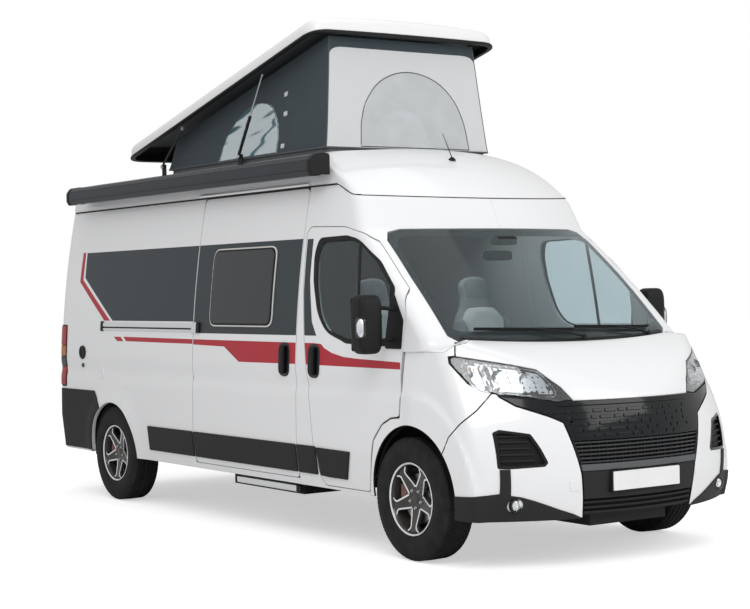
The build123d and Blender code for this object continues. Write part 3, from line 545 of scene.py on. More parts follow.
class Shader:
    """One material under construction: its node tree and the calls that grow it."""

    def __init__(self, name: str) -> None:
        """Start an empty material.

        Args:
            name: Name of the material.
        """
        self.material = bpy.data.materials.new(name)
        self.material.use_nodes = True
        self.tree = self.material.node_tree
        self.tree.nodes.clear()

    def node(self, kind: str, settings: dict | None = None, inputs: dict | None = None,
             out: str | int = 0) -> Value:
        """Add a node.

        Args:
            kind: Blender's node type.
            settings: Properties that are set first; "stops" fills a colour ramp.
            inputs: Value or link of each socket, by name or number.
            out: Output socket to return.

        Returns:
            That output as a value.
        """
        made = self.tree.nodes.new(kind)
        for key, value in (settings or {}).items():
            if key == "stops":
                ramp = made.color_ramp.elements
                while len(ramp) < len(value):
                    ramp.new(1.0)
                for element, (place, colour) in zip(ramp, value):
                    element.position, element.color = place, (*colour, 1.0)
            else:
                setattr(made, key, value)
        for key, value in (inputs or {}).items():
            if isinstance(value, Value):
                self.tree.links.new(value.socket, made.inputs[key])
            else:
                socket = made.inputs[key]
                colour = isinstance(value, tuple) and len(value) == 3 and socket.type == "RGBA"
                socket.default_value = (*value, 1.0) if colour else value
        return Value(self, made.outputs[out])

    def place(self) -> Value:
        """Object coordinates."""
        return self.node("ShaderNodeTexCoord", out="Object")

    def axis(self, letter: str) -> Value:
        """One of the object coordinates, X, Y or Z."""
        return self.node("ShaderNodeSeparateXYZ", inputs={0: self.place()}, out=letter)

    def stretched(self, scale: tuple[float, float, float]) -> Value:
        """Object coordinates scaled along each axis."""
        return self.node("ShaderNodeMapping", inputs={"Vector": self.place(), "Scale": scale})

    def noise(self, scale: float, detail: float = 3.0, vector: Value | None = None) -> Value:
        """Noise from 0 to 1 at this many cells a metre."""
        inputs = {"Vector": vector or self.place(), "Scale": scale, "Detail": detail}
        return self.node("ShaderNodeTexNoise", inputs=inputs)

    def blend(self, share: Value | float, first: tuple | Value, second: tuple | Value) -> Value:
        """Colour between the first, at share 0, and the second, at share 1.

        Args:
            share: 0 for the first, 1 for the second.
            first: First colour.
            second: Second colour.

        Returns:
            The colour.
        """
        mixed = self.node("ShaderNodeMix", {"data_type": "RGBA"},
                          {"Factor": share, 6: first, 7: second}, "Result")
        return Value(self, mixed.socket.node.outputs[2])

    def bump(self, height: Value, depth: float, strength: float = 1.0) -> Value:
        """Normal tilted by a height; depth is the height of 1, in metres."""
        return self.node("ShaderNodeBump", inputs={"Height": height, "Distance": depth, "Strength": strength})

    def finish(self, **inputs: object) -> bpy.types.Material:
        """Close with the principled surface; underscores in the names stand for spaces.

        Args:
            inputs: Value of each of the surface's sockets.

        Returns:
            The finished material.
        """
        named = {key.replace("_", " "): value for key, value in inputs.items()}
        surface = self.node("ShaderNodeBsdfPrincipled", inputs=named)
        self.node_output(surface)
        return self.material

    def node_output(self, surface: Value) -> None:
        """Link a surface to the material's output."""
        output = self.tree.nodes.new("ShaderNodeOutputMaterial")
        self.tree.links.new(surface.socket, output.inputs["Surface"])


# ------------------------------------------------------------------ finishes
_MADE: dict[object, bpy.types.Material] = {}


@dataclass(frozen=True)
class Finish:
    """A finish: its name and base colour, made into one material the first time it is asked for."""

    name: str
    colour: tuple[float, float, float]

    def material(self) -> bpy.types.Material:
        """The material, made once.

        Returns:
            The material.
        """
        if self not in _MADE:
            _MADE[self] = self.build(Shader(self.name))
        return _MADE[self]

    def build(self, s: Shader) -> bpy.types.Material:
        """Fill the shader."""
        raise NotImplementedError

    def varied(self, s: Shader, share: Value, amount: float) -> Value:
        """The colour, a little darker and lighter over a 0 to 1 share.

        Args:
            s: Shader.
            share: Share from dark to light.
            amount: Step to either side, as a share of the colour.

        Returns:
            The colour.
        """
        dark = tuple(c * (1 - amount) for c in self.colour)
        light = tuple(min(1.0, c * (1 + amount)) for c in self.colour)
        return s.blend(share, dark, light)


@dataclass(frozen=True)
class Paint(Finish):
    """Sprayed enamel under clear coat, with faint ripple and road dust low down."""

    rough: float = 0.34
    coat: float = 0.55
    dust: float = 0.05
    shine: float = 0.5

    def build(self, s: Shader) -> bpy.types.Material:
        """Colour varies softly; the ripple is a broad low bump and the dust grows below 0.7 m.

        Args:
            s: Shader to fill.

        Returns:
            The finished material.
        """
        low = (1 - s.axis("Z").band(0.25, 0.75)) * s.noise(9, 5) * self.dust * 2
        base = s.blend(low, self.varied(s, s.noise(1.3, 1), 0.012), (0.42, 0.40, 0.37))
        ripple = s.bump(s.noise(55, 1), 0.00006)
        rough = s.noise(30, 2) * 0.05 + (self.rough - 0.025) + low * 0.3
        return s.finish(Base_Color=base, Roughness=rough, Normal=ripple, Coat_Weight=self.coat,
                        Coat_Roughness=0.06,
                        Specular_IOR_Level=self.shine)


@dataclass(frozen=True)
class Moulded(Finish):
    """Grained plastic: fine pits in the surface, and roughness that follows them."""

    rough: float = 0.55
    grain: float = 900
    depth: float = 0.00012
    shine: float = 0.2

    def build(self, s: Shader) -> bpy.types.Material:
        """Pits are Voronoi cells; broad noise fades the colour a little.

        Args:
            s: Shader to fill.

        Returns:
            The finished material.
        """
        cells = s.node("ShaderNodeTexVoronoi", inputs={"Vector": s.place(), "Scale": self.grain})
        fade = s.noise(6, 4)
        base = self.varied(s, fade, 0.10)
        rough = cells * 0.10 + fade * 0.10 + (self.rough - 0.10)
        return s.finish(Base_Color=base, Roughness=rough, Normal=s.bump(cells, self.depth),
                        Specular_IOR_Level=self.shine)


@dataclass(frozen=True)
class Metal(Finish):
    """Bare or anodised metal, drawn or turned along one axis."""

    rough: float = 0.32
    metallic: float = 1.0
    stretch: tuple[float, float, float] = (400.0, 6.0, 400.0)
    depth: float = 0.00002

    def build(self, s: Shader) -> bpy.types.Material:
        """Fine lines are noise stretched along the drawing direction.

        Args:
            s: Shader to fill.

        Returns:
            The finished material.
        """
        lines = s.noise(1.0, 3, s.stretched(self.stretch))
        base = self.varied(s, lines, 0.07)
        rough = lines * 0.16 + (self.rough - 0.08) + s.noise(7, 3) * 0.06
        return s.finish(Base_Color=base, Roughness=rough, Metallic=self.metallic,
                        Normal=s.bump(lines, self.depth))


@dataclass(frozen=True)
class Rubber(Finish):
    """Rubber with a dull dusty bloom and a fine skin."""

    bloom: float = 0.16

    def build(self, s: Shader) -> bpy.types.Material:
        """The bloom is broad noise towards grey; a fine noise gives the skin.

        Args:
            s: Shader to fill.

        Returns:
            The finished material.
        """
        dusty = s.noise(14, 6).band(0.35, 0.8) * self.bloom
        base = s.blend(dusty, self.colour, (0.20, 0.195, 0.185))
        skin = s.noise(420, 2)
        return s.finish(Base_Color=base, Roughness=dusty + skin * 0.08 + 0.62, Normal=s.bump(skin, 0.0002),
                        Specular_IOR_Level=0.2)


@dataclass(frozen=True)
class Pane(Finish):
    """Tinted glass or clear plastic that is seen through."""

    clear: float = 0.9
    rough: float = 0.02
    index: float = 1.45

    def build(self, s: Shader) -> bpy.types.Material:
        """Transmission on the shader's own socket; a thin film of dust roughens it in places.

        Args:
            s: Shader to fill.

        Returns:
            The finished material.
        """
        film = s.noise(5, 5).band(0.55, 0.9)
        base = self.varied(s, s.noise(2, 1), 0.04)
        rough = film * 0.05 + self.rough
        return s.finish(Base_Color=base, Roughness=rough, Transmission_Weight=self.clear, IOR=self.index)


@dataclass(frozen=True)
class Weave(Finish):
    """Woven cloth: two crossed thread waves on object coordinates, or a plain felt when pitch is 0."""

    pitch: float = 0.0022
    second: tuple[float, float, float] = (0.5, 0.5, 0.5)
    show: float = 0.3
    shine: float = 0.25

    def build(self, s: Shader) -> bpy.types.Material:
        """Warp and weft are sines of (x + y) and z, so that threads show on every side.

        Args:
            s: Shader to fill.

        Returns:
            The finished material.
        """
        across = (s.axis("X") + s.axis("Y")).wave(self.pitch)
        up = (s.axis("Z") + s.axis("Y") * 0.5).wave(self.pitch)
        threads = across * 0.5 + up * 0.5
        soft = s.noise(5, 5)
        base = s.blend(threads * self.show + soft * 0.12, self.colour, self.second)
        rough = threads * 0.10 + soft * 0.06 + 0.78
        normal = s.bump(threads + s.noise(60, 3) * 0.6, self.pitch * 0.35)
        return s.finish(
            Base_Color=base, Roughness=rough, Normal=normal, Sheen_Weight=self.shine, Sheen_Roughness=0.5,
            Specular_IOR_Level=0.2
        )


@dataclass(frozen=True)
class Netting(Finish):
    """Insect mesh: round holes between threads, cut by alpha."""

    pitch: float = 0.004
    thin: float = 0.25

    def build(self, s: Shader) -> bpy.types.Material:
        """A thread stands where either wave is near its crest; between, the cloth is open.

        Args:
            s: Shader to fill.

        Returns:
            The finished material.
        """
        across = (s.axis("X") + s.axis("Y")).wave(self.pitch)
        up = s.axis("Z").wave(self.pitch)
        thread = across.math("MAXIMUM", up).band(0.55, 0.8) * (1 - self.thin) + self.thin
        base = self.varied(s, s.noise(8, 3), 0.1)
        return s.finish(Base_Color=base, Roughness=s.noise(50, 2) * 0.1 + 0.7, Alpha=thread)


@dataclass(frozen=True)
class Glow(Finish):
    """A lamp's own light source, faintly lit, with fine facets."""

    strength: float = 0.3

    def build(self, s: Shader) -> bpy.types.Material:
        """Facets are Voronoi cells that tilt the surface.

        Args:
            s: Shader to fill.

        Returns:
            The finished material.
        """
        cells = s.node("ShaderNodeTexVoronoi", inputs={"Vector": s.place(), "Scale": 130.0})
        base = self.varied(s, cells, 0.1)
        return s.finish(
            Base_Color=base,
            Roughness=cells * 0.2 + 0.12,
            Normal=s.bump(cells, 0.001),
            Emission_Color=base,
            Emission_Strength=self.strength,
        )


WHITE = Paint("white_enamel", (0.80, 0.805, 0.815))
LID_WHITE = Paint("roof_gelcoat", (0.82, 0.82, 0.82), rough=0.38, coat=0.35)
INNER_WHITE = Paint("inner_enamel", (0.60, 0.61, 0.62), rough=0.5, coat=0.1)
BLACK_GLOSS = Paint("black_gloss", (0.005, 0.006, 0.007), rough=0.16, coat=0.28, dust=0.02, shine=0.2)
DARK_FILM = Paint("dark_film", (0.028, 0.038, 0.044), rough=0.42, coat=0.10, dust=0.0, shine=0.25)
RED_FILM = Paint("red_film", (0.42, 0.018, 0.032), rough=0.40, coat=0.10, dust=0.0, shine=0.25)
CLADDING = Moulded("cladding_plastic", (0.020, 0.020, 0.020), rough=0.6)
TRIM = Moulded("trim_plastic", (0.010, 0.010, 0.011), rough=0.5, grain=700)
GREY_TRIM = Moulded("grey_plastic", (0.10, 0.105, 0.11), rough=0.55)
SLAT_GREY = Moulded("slat_plastic", (0.045, 0.047, 0.05), rough=0.35)
PALE_TRIM = Moulded("pale_plastic", (0.62, 0.62, 0.60), rough=0.5)
DASH_SKIN = Moulded("dashboard_skin", (0.028, 0.029, 0.031), rough=0.62, grain=500, depth=0.0003)
WELL_LINER = Moulded("liner_felt", (0.03, 0.03, 0.03), rough=0.85, grain=260, depth=0.001)
SEAL = Rubber("rubber_seal", (0.012, 0.012, 0.012), bloom=0.06)
TYRE = Rubber("tyre_rubber", (0.009, 0.009, 0.010), bloom=0.07)
ALLOY_BLACK = Paint("alloy_black", (0.020, 0.017, 0.016), rough=0.28, coat=0.35, dust=0.04, shine=0.3)
ALLOY_CUT = Metal("alloy_machined", (0.88, 0.89, 0.90), rough=0.24, metallic=0.7,
                  stretch=(60.0, 300.0, 300.0))
LAMP_SILVER = Metal("lamp_silver", (0.42, 0.44, 0.46), rough=0.24)
ANODISED = Metal("anodised_rail", (0.80, 0.81, 0.82), rough=0.36)
AWNING_GREY = Paint("awning_powder", (0.022, 0.028, 0.034), rough=0.45, coat=0.08, dust=0.02, shine=0.3)
STEEL = Metal("zinc_steel", (0.55, 0.56, 0.57), rough=0.42)
CHASSIS = Moulded("chassis_paint", (0.018, 0.018, 0.019), rough=0.55, grain=200, depth=0.0004)
CAST = Moulded("cast_iron", (0.10, 0.10, 0.105), rough=0.6, grain=300, depth=0.0006)
DISC = Metal("brake_disc", (0.50, 0.50, 0.51), rough=0.30, stretch=(20.0, 240.0, 240.0))
CALIPER = Moulded("caliper_coating", (0.22, 0.115, 0.10), rough=0.6, grain=260, depth=0.0004)
DARK_GLASS = Pane("privacy_acrylic", (0.030, 0.034, 0.038), clear=0.25, rough=0.06)
CAB_GLASS = Pane("cab_glass", (0.54, 0.62, 0.65), clear=0.97, rough=0.0, index=1.25)
SCREEN_GLASS = Pane("windshield_glass", (0.70, 0.80, 0.82), clear=0.98, rough=0.0, index=1.18)
LENS = Pane("clear_lens", (0.93, 0.95, 0.96), clear=0.98, rough=0.03)
RED_LENS = Pane("red_lens", (0.55, 0.015, 0.015), clear=0.45, rough=0.08)
AMBER_LENS = Pane("amber_lens", (0.80, 0.28, 0.03), clear=0.5, rough=0.08)
TENT_WINDOW = Pane("tent_film", (0.13, 0.28, 0.32), clear=0.50, rough=0.12, index=1.2)
CHROME = Metal("lamp_reflector", (0.85, 0.86, 0.88), rough=0.10, stretch=(30.0, 30.0, 30.0))
BULB = Glow("lamp_glass", (0.92, 0.93, 0.95))
PLATE_WHITE = Moulded("plate_film", (0.78, 0.78, 0.78), rough=0.35, grain=1400, depth=0.00005)
TENT_PALE = Weave("tent_canvas_pale", (0.64, 0.65, 0.66), second=(0.76, 0.765, 0.77))
TENT_GREY = Weave("tent_canvas_grey", (0.045, 0.062, 0.072), second=(0.075, 0.095, 0.108), shine=0.08)
CHAIR_GREY = Weave("chair_cloth_grey", (0.25, 0.26, 0.27), second=(0.34, 0.345, 0.35))
CHAIR_PALE = Weave("chair_cloth_pale", (0.70, 0.69, 0.67), second=(0.78, 0.77, 0.75))
MESH_NET = Netting("insect_mesh", (0.34, 0.35, 0.36))
PALE_NET = Netting("pale_mesh", (0.60, 0.63, 0.64), thin=0.45)


# ------------------------------------------------------------------ meshes
class Form:
    """A mesh under construction: points, faces of three or four corners, and a finish for each face."""

    def __init__(self) -> None:
        """Start empty."""
        self.points: list[Array] = []
        self.faces: list[tuple[Array, Finish]] = []
        self.count = 0

    def add(self, points: Array, faces: Array, finish: Finish) -> "Form":
        """Add points and the faces on them.

        Args:
            points: Points, one row each.
            faces: Corner numbers, three or four in a row.
            finish: Finish of these faces.

        Returns:
            This form.
        """
        self.faces.append((np.asarray(faces, np.int64) + self.count, finish))
        self.points.append(np.asarray(points, float).reshape(-1, 3))
        self.count += len(self.points[-1])
        return self

    def grid(self, points: Array, finish: Finish, close_u: bool = False, close_v: bool = False) -> "Form":
        """Add a grid of quads: cell (i, j) joins (i, j), (i+1, j), (i+1, j+1) and (i, j+1).

        Args:
            points: Grid of points, X, Y and Z in the last axis.
            finish: Finish.
            close_u: Whether the last row joins the first.
            close_v: Whether the last column joins the first.

        Returns:
            This form.
        """
        nu, nv = points.shape[:2]
        index = np.arange(nu * nv).reshape(nu, nv)
        if close_u:
            index = np.concatenate([index, index[:1]], 0)
        if close_v:
            index = np.concatenate([index, index[:, :1]], 1)
        corners = (index[:-1, :-1], index[1:, :-1], index[1:, 1:], index[:-1, 1:])
        return self.add(points.reshape(-1, 3), np.stack(corners, -1).reshape(-1, 4), finish)

    def lathe(self, profile: Sequence, finish: Finish, axis: int = 0, centre: Sequence = (0, 0, 0),
              turns: int = 48) -> "Form":
        """Turn a profile of (along, radius) about an axis: the circle cos, sin times the radius.

        Args:
            profile: Rows of distance along the axis and radius.
            finish: Finish.
            axis: 0, 1 or 2 for X, Y or Z.
            centre: Origin of the profile.
            turns: Points round the axis.

        Returns:
            This form.
        """
        line = np.asarray(profile, float)
        angle = np.linspace(0, TURN, turns, endpoint=False)[:, None]
        made = np.zeros((turns, len(line), 3))
        made[..., axis] = line[:, 0]
        made[..., (axis + 1) % 3] = line[:, 1] * np.cos(angle)
        made[..., (axis + 2) % 3] = line[:, 1] * np.sin(angle)
        return self.grid(made + np.asarray(centre, float), finish, close_u=True)

    def pillow(self, centre: Sequence, half: Sequence, finish: Finish, power: float = 0.35, around: int = 40,
               over: int = 24) -> "Form":
        """Closed rounded block: half sizes times sign(c)|c|^power of the two angles' cosines and sines.

        Args:
            centre: Middle.
            half: Half sizes.
            finish: Finish.
            power: Power of the cosines and sines: small is boxy, 1 is round.
            around: Points round it.
            over: Points from foot to top.

        Returns:
            This form.
        """
        u = np.linspace(0, TURN, around, endpoint=False)[:, None]
        v = np.linspace(-np.pi / 2, np.pi / 2, over)[None, :]

        def bent(value: Array) -> Array:
            """Power of the size of a value that keeps its sign."""
            return np.sign(value) * np.abs(value) ** power

        flat = bent(np.cos(v)) * np.ones_like(u)
        shape = np.stack([bent(np.cos(u)) * flat, bent(np.sin(u)) * flat,
                          bent(np.sin(v)) * np.ones_like(u)], -1)
        return self.grid(shape * np.asarray(half, float) + np.asarray(centre, float), finish, close_u=True)

    def tube(self, path: Sequence, radius: float | Sequence, finish: Finish, sides: int = 10,
             squash: float = 1.0) -> "Form":
        """Carry a circle along a path, with closed ends; each ring lies across the path's direction.

        Args:
            path: Points of the middle line.
            radius: Radius, one for all or one each.
            finish: Finish.
            sides: Corners of the ring.
            squash: Height of the ring as a share of its width.

        Returns:
            This form.
        """
        line = np.asarray(path, float)
        along = np.gradient(line, axis=0)
        along /= np.linalg.norm(along, axis=1)[:, None] + 1e-12
        up = np.where(np.abs(along[:, 2:]) > 0.9, [[0.0, 1.0, 0.0]], [[0.0, 0.0, 1.0]])
        side = np.cross(along, up)
        side /= np.linalg.norm(side, axis=1)[:, None]
        over = np.cross(side, along) * squash
        size = np.broadcast_to(radius, len(line))
        rings = [0.0, *[1.0] * len(line), 0.0]
        pick = [0, *range(len(line)), len(line) - 1]
        angle = np.linspace(0, TURN, sides, endpoint=False)[None, :, None]
        spread = side[pick][:, None] * np.cos(angle) + over[pick][:, None] * np.sin(angle)
        scale = (size[pick] * np.array(rings))[:, None, None]
        return self.grid(line[pick][:, None] + spread * scale, finish, close_v=True)

    def slab(self, outline: Array, low: float, high: float, place: Surface, finish: Finish,
             roll: float = 0.003, holes: Sequence[Array] = (), step: float = 0.05,
             sides: Finish | None = None) -> "Form":
        """Plate between two heights over an outline, its rims rolled on a quarter circle.

        Args:
            outline: Plane loop.
            low: Underside height.
            high: Top height.
            place: Takes plane points and heights to the van's frame.
            finish: Finish of the top.
            roll: Rim radius.
            holes: Plane loops cut out.
            step: Spacing of the inner grid.
            sides: Finish of the rim and underside, if another.

        Returns:
            This form.
        """
        flat, tris = trimmed(outline, holes, step)
        if np.cross(flat[tris[:, 1]] - flat[tris[:, 0]], flat[tris[:, 2]] - flat[tris[:, 0]]).sum() < 0:
            tris = tris[:, ::-1]
        edge, outward = rim_of(flat, tris)
        used = np.unique(edge)
        new = np.full(len(flat), -1)
        angle = np.linspace(0, np.pi / 2, 4)
        levels = [(math.cos(a) - 1, math.sin(a) - 1) for a in angle[::-1]]
        rings = [(roll * a, high + roll * b) for a, b in levels]
        rings += [(roll * a, low - roll * b) for a, b in levels[::-1]]
        points = [np.c_[flat - outward * roll, np.full(len(flat), high)]]
        first, total = [], len(flat)
        for inward, height in rings[1:-1]:
            points.append(np.c_[flat[used] + outward[used] * inward, np.full(len(used), height)])
            first.append(total)
            total += len(used)
        points.append(np.c_[flat - outward * roll, np.full(len(flat), low)])
        new[used] = np.arange(len(used))
        layers = [edge] + [new[edge] + f for f in first] + [edge + total]
        made = np.concatenate(points)
        placed = place(made[:, :2], made[:, 2])
        self.add(placed, tris, finish)
        self.count -= len(placed)
        self.points.pop()
        rim = [np.stack([a[:, 1], a[:, 0], b[:, 0], b[:, 1]], 1) for a, b in zip(layers[:-1], layers[1:])]
        self.add(placed, np.concatenate(rim), sides or finish)
        self.count -= len(placed)
        self.points.pop()
        return self.add(placed, tris[:, ::-1] + total, sides or finish)

    def mirrored(self) -> "Form":
        """The same form on the other side of the van, with its faces turned to point outwards.

        Returns:
            The new form.
        """
        other = Form()
        other.points = [p * [-1, 1, 1] for p in self.points]
        other.faces = [(f[:, ::-1], finish) for f, finish in self.faces]
        other.count = self.count
        return other

    def join(self, *others: "Form") -> "Form":
        """Take in other forms.

        Args:
            others: Forms to take in.

        Returns:
            This form.
        """
        for other in others:
            self.faces += [(f + self.count, finish) for f, finish in other.faces]
            self.points += other.points
            self.count += other.count
        return self

    def turned(self, matrix: Matrix) -> "Form":
        """The form moved by a matrix.

        Args:
            matrix: Placement.

        Returns:
            This form.
        """
        m = np.array(matrix)
        self.points = [p @ m[:3, :3].T + m[:3, 3] for p in self.points]
        return self

    def build(self, name: str, body: str, slot: str = "", replaces: Sequence[str] = (), sharp: float = 34.0,
              outward: bool = False) -> bpy.types.Object:
        """Make the Blender object, let it ride on its body and report it.

        Args:
            name: Piece name.
            body: CAD body that carries it.
            slot: Material slot of the record; not used.
            replaces: CAD nodes it stands for.
            sharp: Edges sharper than this many degrees stay hard.
            outward: Recalculate the faces to point outwards, for closed pieces only.

        Returns:
            The object.
        """
        finishes = list(dict.fromkeys(finish for _, finish in self.faces))
        mesh = bpy.data.meshes.new(name)
        points = np.concatenate(self.points)
        sizes = np.concatenate([np.full(len(f), f.shape[1]) for f, _ in self.faces])
        mesh.vertices.add(len(points))
        mesh.vertices.foreach_set("co", points.astype(np.float32).ravel())
        corners = np.concatenate([f.ravel() for f, _ in self.faces])
        mesh.loops.add(len(corners))
        mesh.loops.foreach_set("vertex_index", corners.astype(np.int32))
        mesh.polygons.add(len(sizes))
        mesh.polygons.foreach_set("loop_start", np.concatenate([[0], np.cumsum(sizes)[:-1]]).astype(np.int32))
        index = np.concatenate([np.full(len(f), finishes.index(finish)) for f, finish in self.faces])
        mesh.polygons.foreach_set("material_index", index.astype(np.int32))
        mesh.update(calc_edges=True)
        merge_doubles(mesh, outward)
        mesh.polygons.foreach_set("use_smooth", np.ones(len(mesh.polygons), bool))
        mesh.set_sharp_from_angle(angle=math.radians(sharp))
        for finish in finishes:
            mesh.materials.append(finish.material())
        piece = bpy.data.objects.new(name, mesh)
        bpy.context.scene.collection.objects.link(piece)
        weighted = piece.modifiers.new("even_shading", "WEIGHTED_NORMAL")
        weighted.keep_sharp = True
        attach(piece, body)
        if replaces:
            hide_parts(*replaces)
        LOG.info("%s: %d faces on %s", name, len(mesh.polygons), body)
        return piece


def merge_doubles(mesh: bpy.types.Mesh, outward: bool) -> None:
    """Weld points that meet, drop the flat faces that leaves, and turn faces outwards if asked.

    Args:
        mesh: Mesh that is changed.
        outward: Whether to turn the faces outwards.
    """
    work = bmesh.new()
    work.from_mesh(mesh)
    bmesh.ops.remove_doubles(work, verts=work.verts, dist=1e-6)
    bmesh.ops.dissolve_degenerate(work, edges=work.edges, dist=1e-7)
    if outward:
        bmesh.ops.recalc_face_normals(work, faces=work.faces)
    work.to_mesh(mesh)
    work.free()


def rim_of(flat: Array, tris: Array) -> tuple[Array, Array]:
    """Free edges of a triangulated plane shape, and each point's direction away from it.

    Args:
        flat: Plane points.
        tris: Triangles, anticlockwise.

    Returns:
        Edges as point pairs with the shape on their left, and a unit direction for each point on
        them; other points get zero.
    """
    edge = np.concatenate([tris[:, [0, 1]], tris[:, [1, 2]], tris[:, [2, 0]]])
    key = edge.min(1) * len(flat) + edge.max(1)
    _, first, count = np.unique(key, return_index=True, return_counts=True)
    free = edge[first[count == 1]]
    run = flat[free[:, 1]] - flat[free[:, 0]]
    away = np.stack([run[:, 1], -run[:, 0]], 1)
    away /= np.linalg.norm(away, axis=1)[:, None] + 1e-12
    total = np.zeros_like(flat)
    for column in (0, 1):
        np.add.at(total, free[:, column], away)
    length = np.linalg.norm(total, axis=1)[:, None]
    return free, np.where(length > 1e-9, total / np.maximum(length, 1e-9), 0.0)


def skin(surface: Surface, outline: Array, finish: Finish, holes: Sequence[Array] = (), step: float = 0.04,
         thick: float = 0.02, proud: float = 0.0, roll: float = 0.003, inner: Finish | None = None) -> Form:
    """Panel on a curved surface: place (u, v) there and move it along the surface's own normal.

    Args:
        surface: Takes two plane coordinates to the van's frame.
        outline: Plane loop.
        finish: Finish of the outer face.
        holes: Plane loops cut out.
        step: Grid spacing.
        thick: Thickness below the surface.
        proud: Height of the outer face above the surface.
        roll: Rim radius.
        inner: Finish of rim and inner face, if another.

    Returns:
        The form.
    """

    def place(flat: Array, height: Array) -> Array:
        """The surface point moved out along the cross product of its two tangents.

        Args:
            flat: Plane points.
            height: Heights above the plane.

        Returns:
            Points, one row each.
        """
        u, v = flat[:, 0], flat[:, 1]
        h = 0.004
        du = surface(u + h, v) - surface(u - h, v)
        dv = surface(u, v + h) - surface(u, v - h)
        normal = np.cross(du, dv)
        normal /= np.linalg.norm(normal, axis=1)[:, None] + 1e-12
        base = surface(u, v)
        away = base - np.stack([0 * u, np.clip(base[:, 1], -1.6, 2.4), np.clip(base[:, 2], 0.8, 1.8)], 1)
        normal *= np.sign((normal * away).sum(1))[:, None]
        return base + normal * height[:, None]

    form = Form().slab(outline, -thick, proud, place, finish, min(roll, (thick + proud) * 0.45), holes,
                       step, inner)
    first = form.faces[0][0]
    points = form.points[0]
    normal = np.cross(points[first[:, 1]] - points[first[:, 0]], points[first[:, 2]] - points[first[:, 0]])
    middle = points[first].mean(1)
    centre = np.stack([0 * middle[:, 0], np.clip(middle[:, 1], -1.6, 2.4),
                       np.clip(middle[:, 2], 0.8, 1.8)], 1)
    if (normal * (middle - centre)).sum() < 0:
        form.faces = [(f[:, ::-1], finish_) for f, finish_ in form.faces]
    return form


def on_level(flat: Array, height: Array) -> Array:
    """Place of plane points and heights on a level plane."""
    return np.stack([flat[:, 0], flat[:, 1], height], 1)


class Side(Enum):
    """Side of the van."""

    RIGHT = "right"
    LEFT = "left"

    def of(self, form: Form) -> Form:
        """A form drawn for the right side, turned to this side."""
        return form if self is Side.RIGHT else form.mirrored()

    def from_left(self, form: Form) -> Form:
        """A form drawn for the left side, turned to this side."""
        return form if self is Side.LEFT else form.mirrored()


def circle(centre: Sequence[float], radius: float, count: int = 40, start: float = 0.0,
           stop: float = TURN) -> Array:
    """Points on a circle: centre + radius (cos, sin); a part of it when start and stop are given."""
    angle = np.linspace(start, stop, count, endpoint=abs(stop - start) < 6.28)
    return np.asarray(centre, float) + radius * np.stack([np.cos(angle), np.sin(angle)], 1)


def grown(outline: Array, amount: float) -> Array:
    """Outline moved outwards along the mean normal of its edges, inwards if amount is negative.

    Args:
        outline: Plane loop.
        amount: Distance, negative for inwards.

    Returns:
        Points of the new outline.
    """
    p = np.asarray(outline, float)
    p = p[np.linalg.norm(p - np.roll(p, 1, 0), axis=1) > 1e-6]
    run = np.roll(p, -1, 0) - p
    away = np.stack([run[:, 1], -run[:, 0]], 1)
    away /= np.linalg.norm(away, axis=1)[:, None]
    area = (p[:, 0] * np.roll(p[:, 1], -1) - np.roll(p[:, 0], -1) * p[:, 1]).sum()
    mean = away + np.roll(away, 1, 0)
    mean /= np.maximum((mean**2).sum(1), 0.6)[:, None] / 2
    return p + mean * amount * (1 if area > 0 else -1)


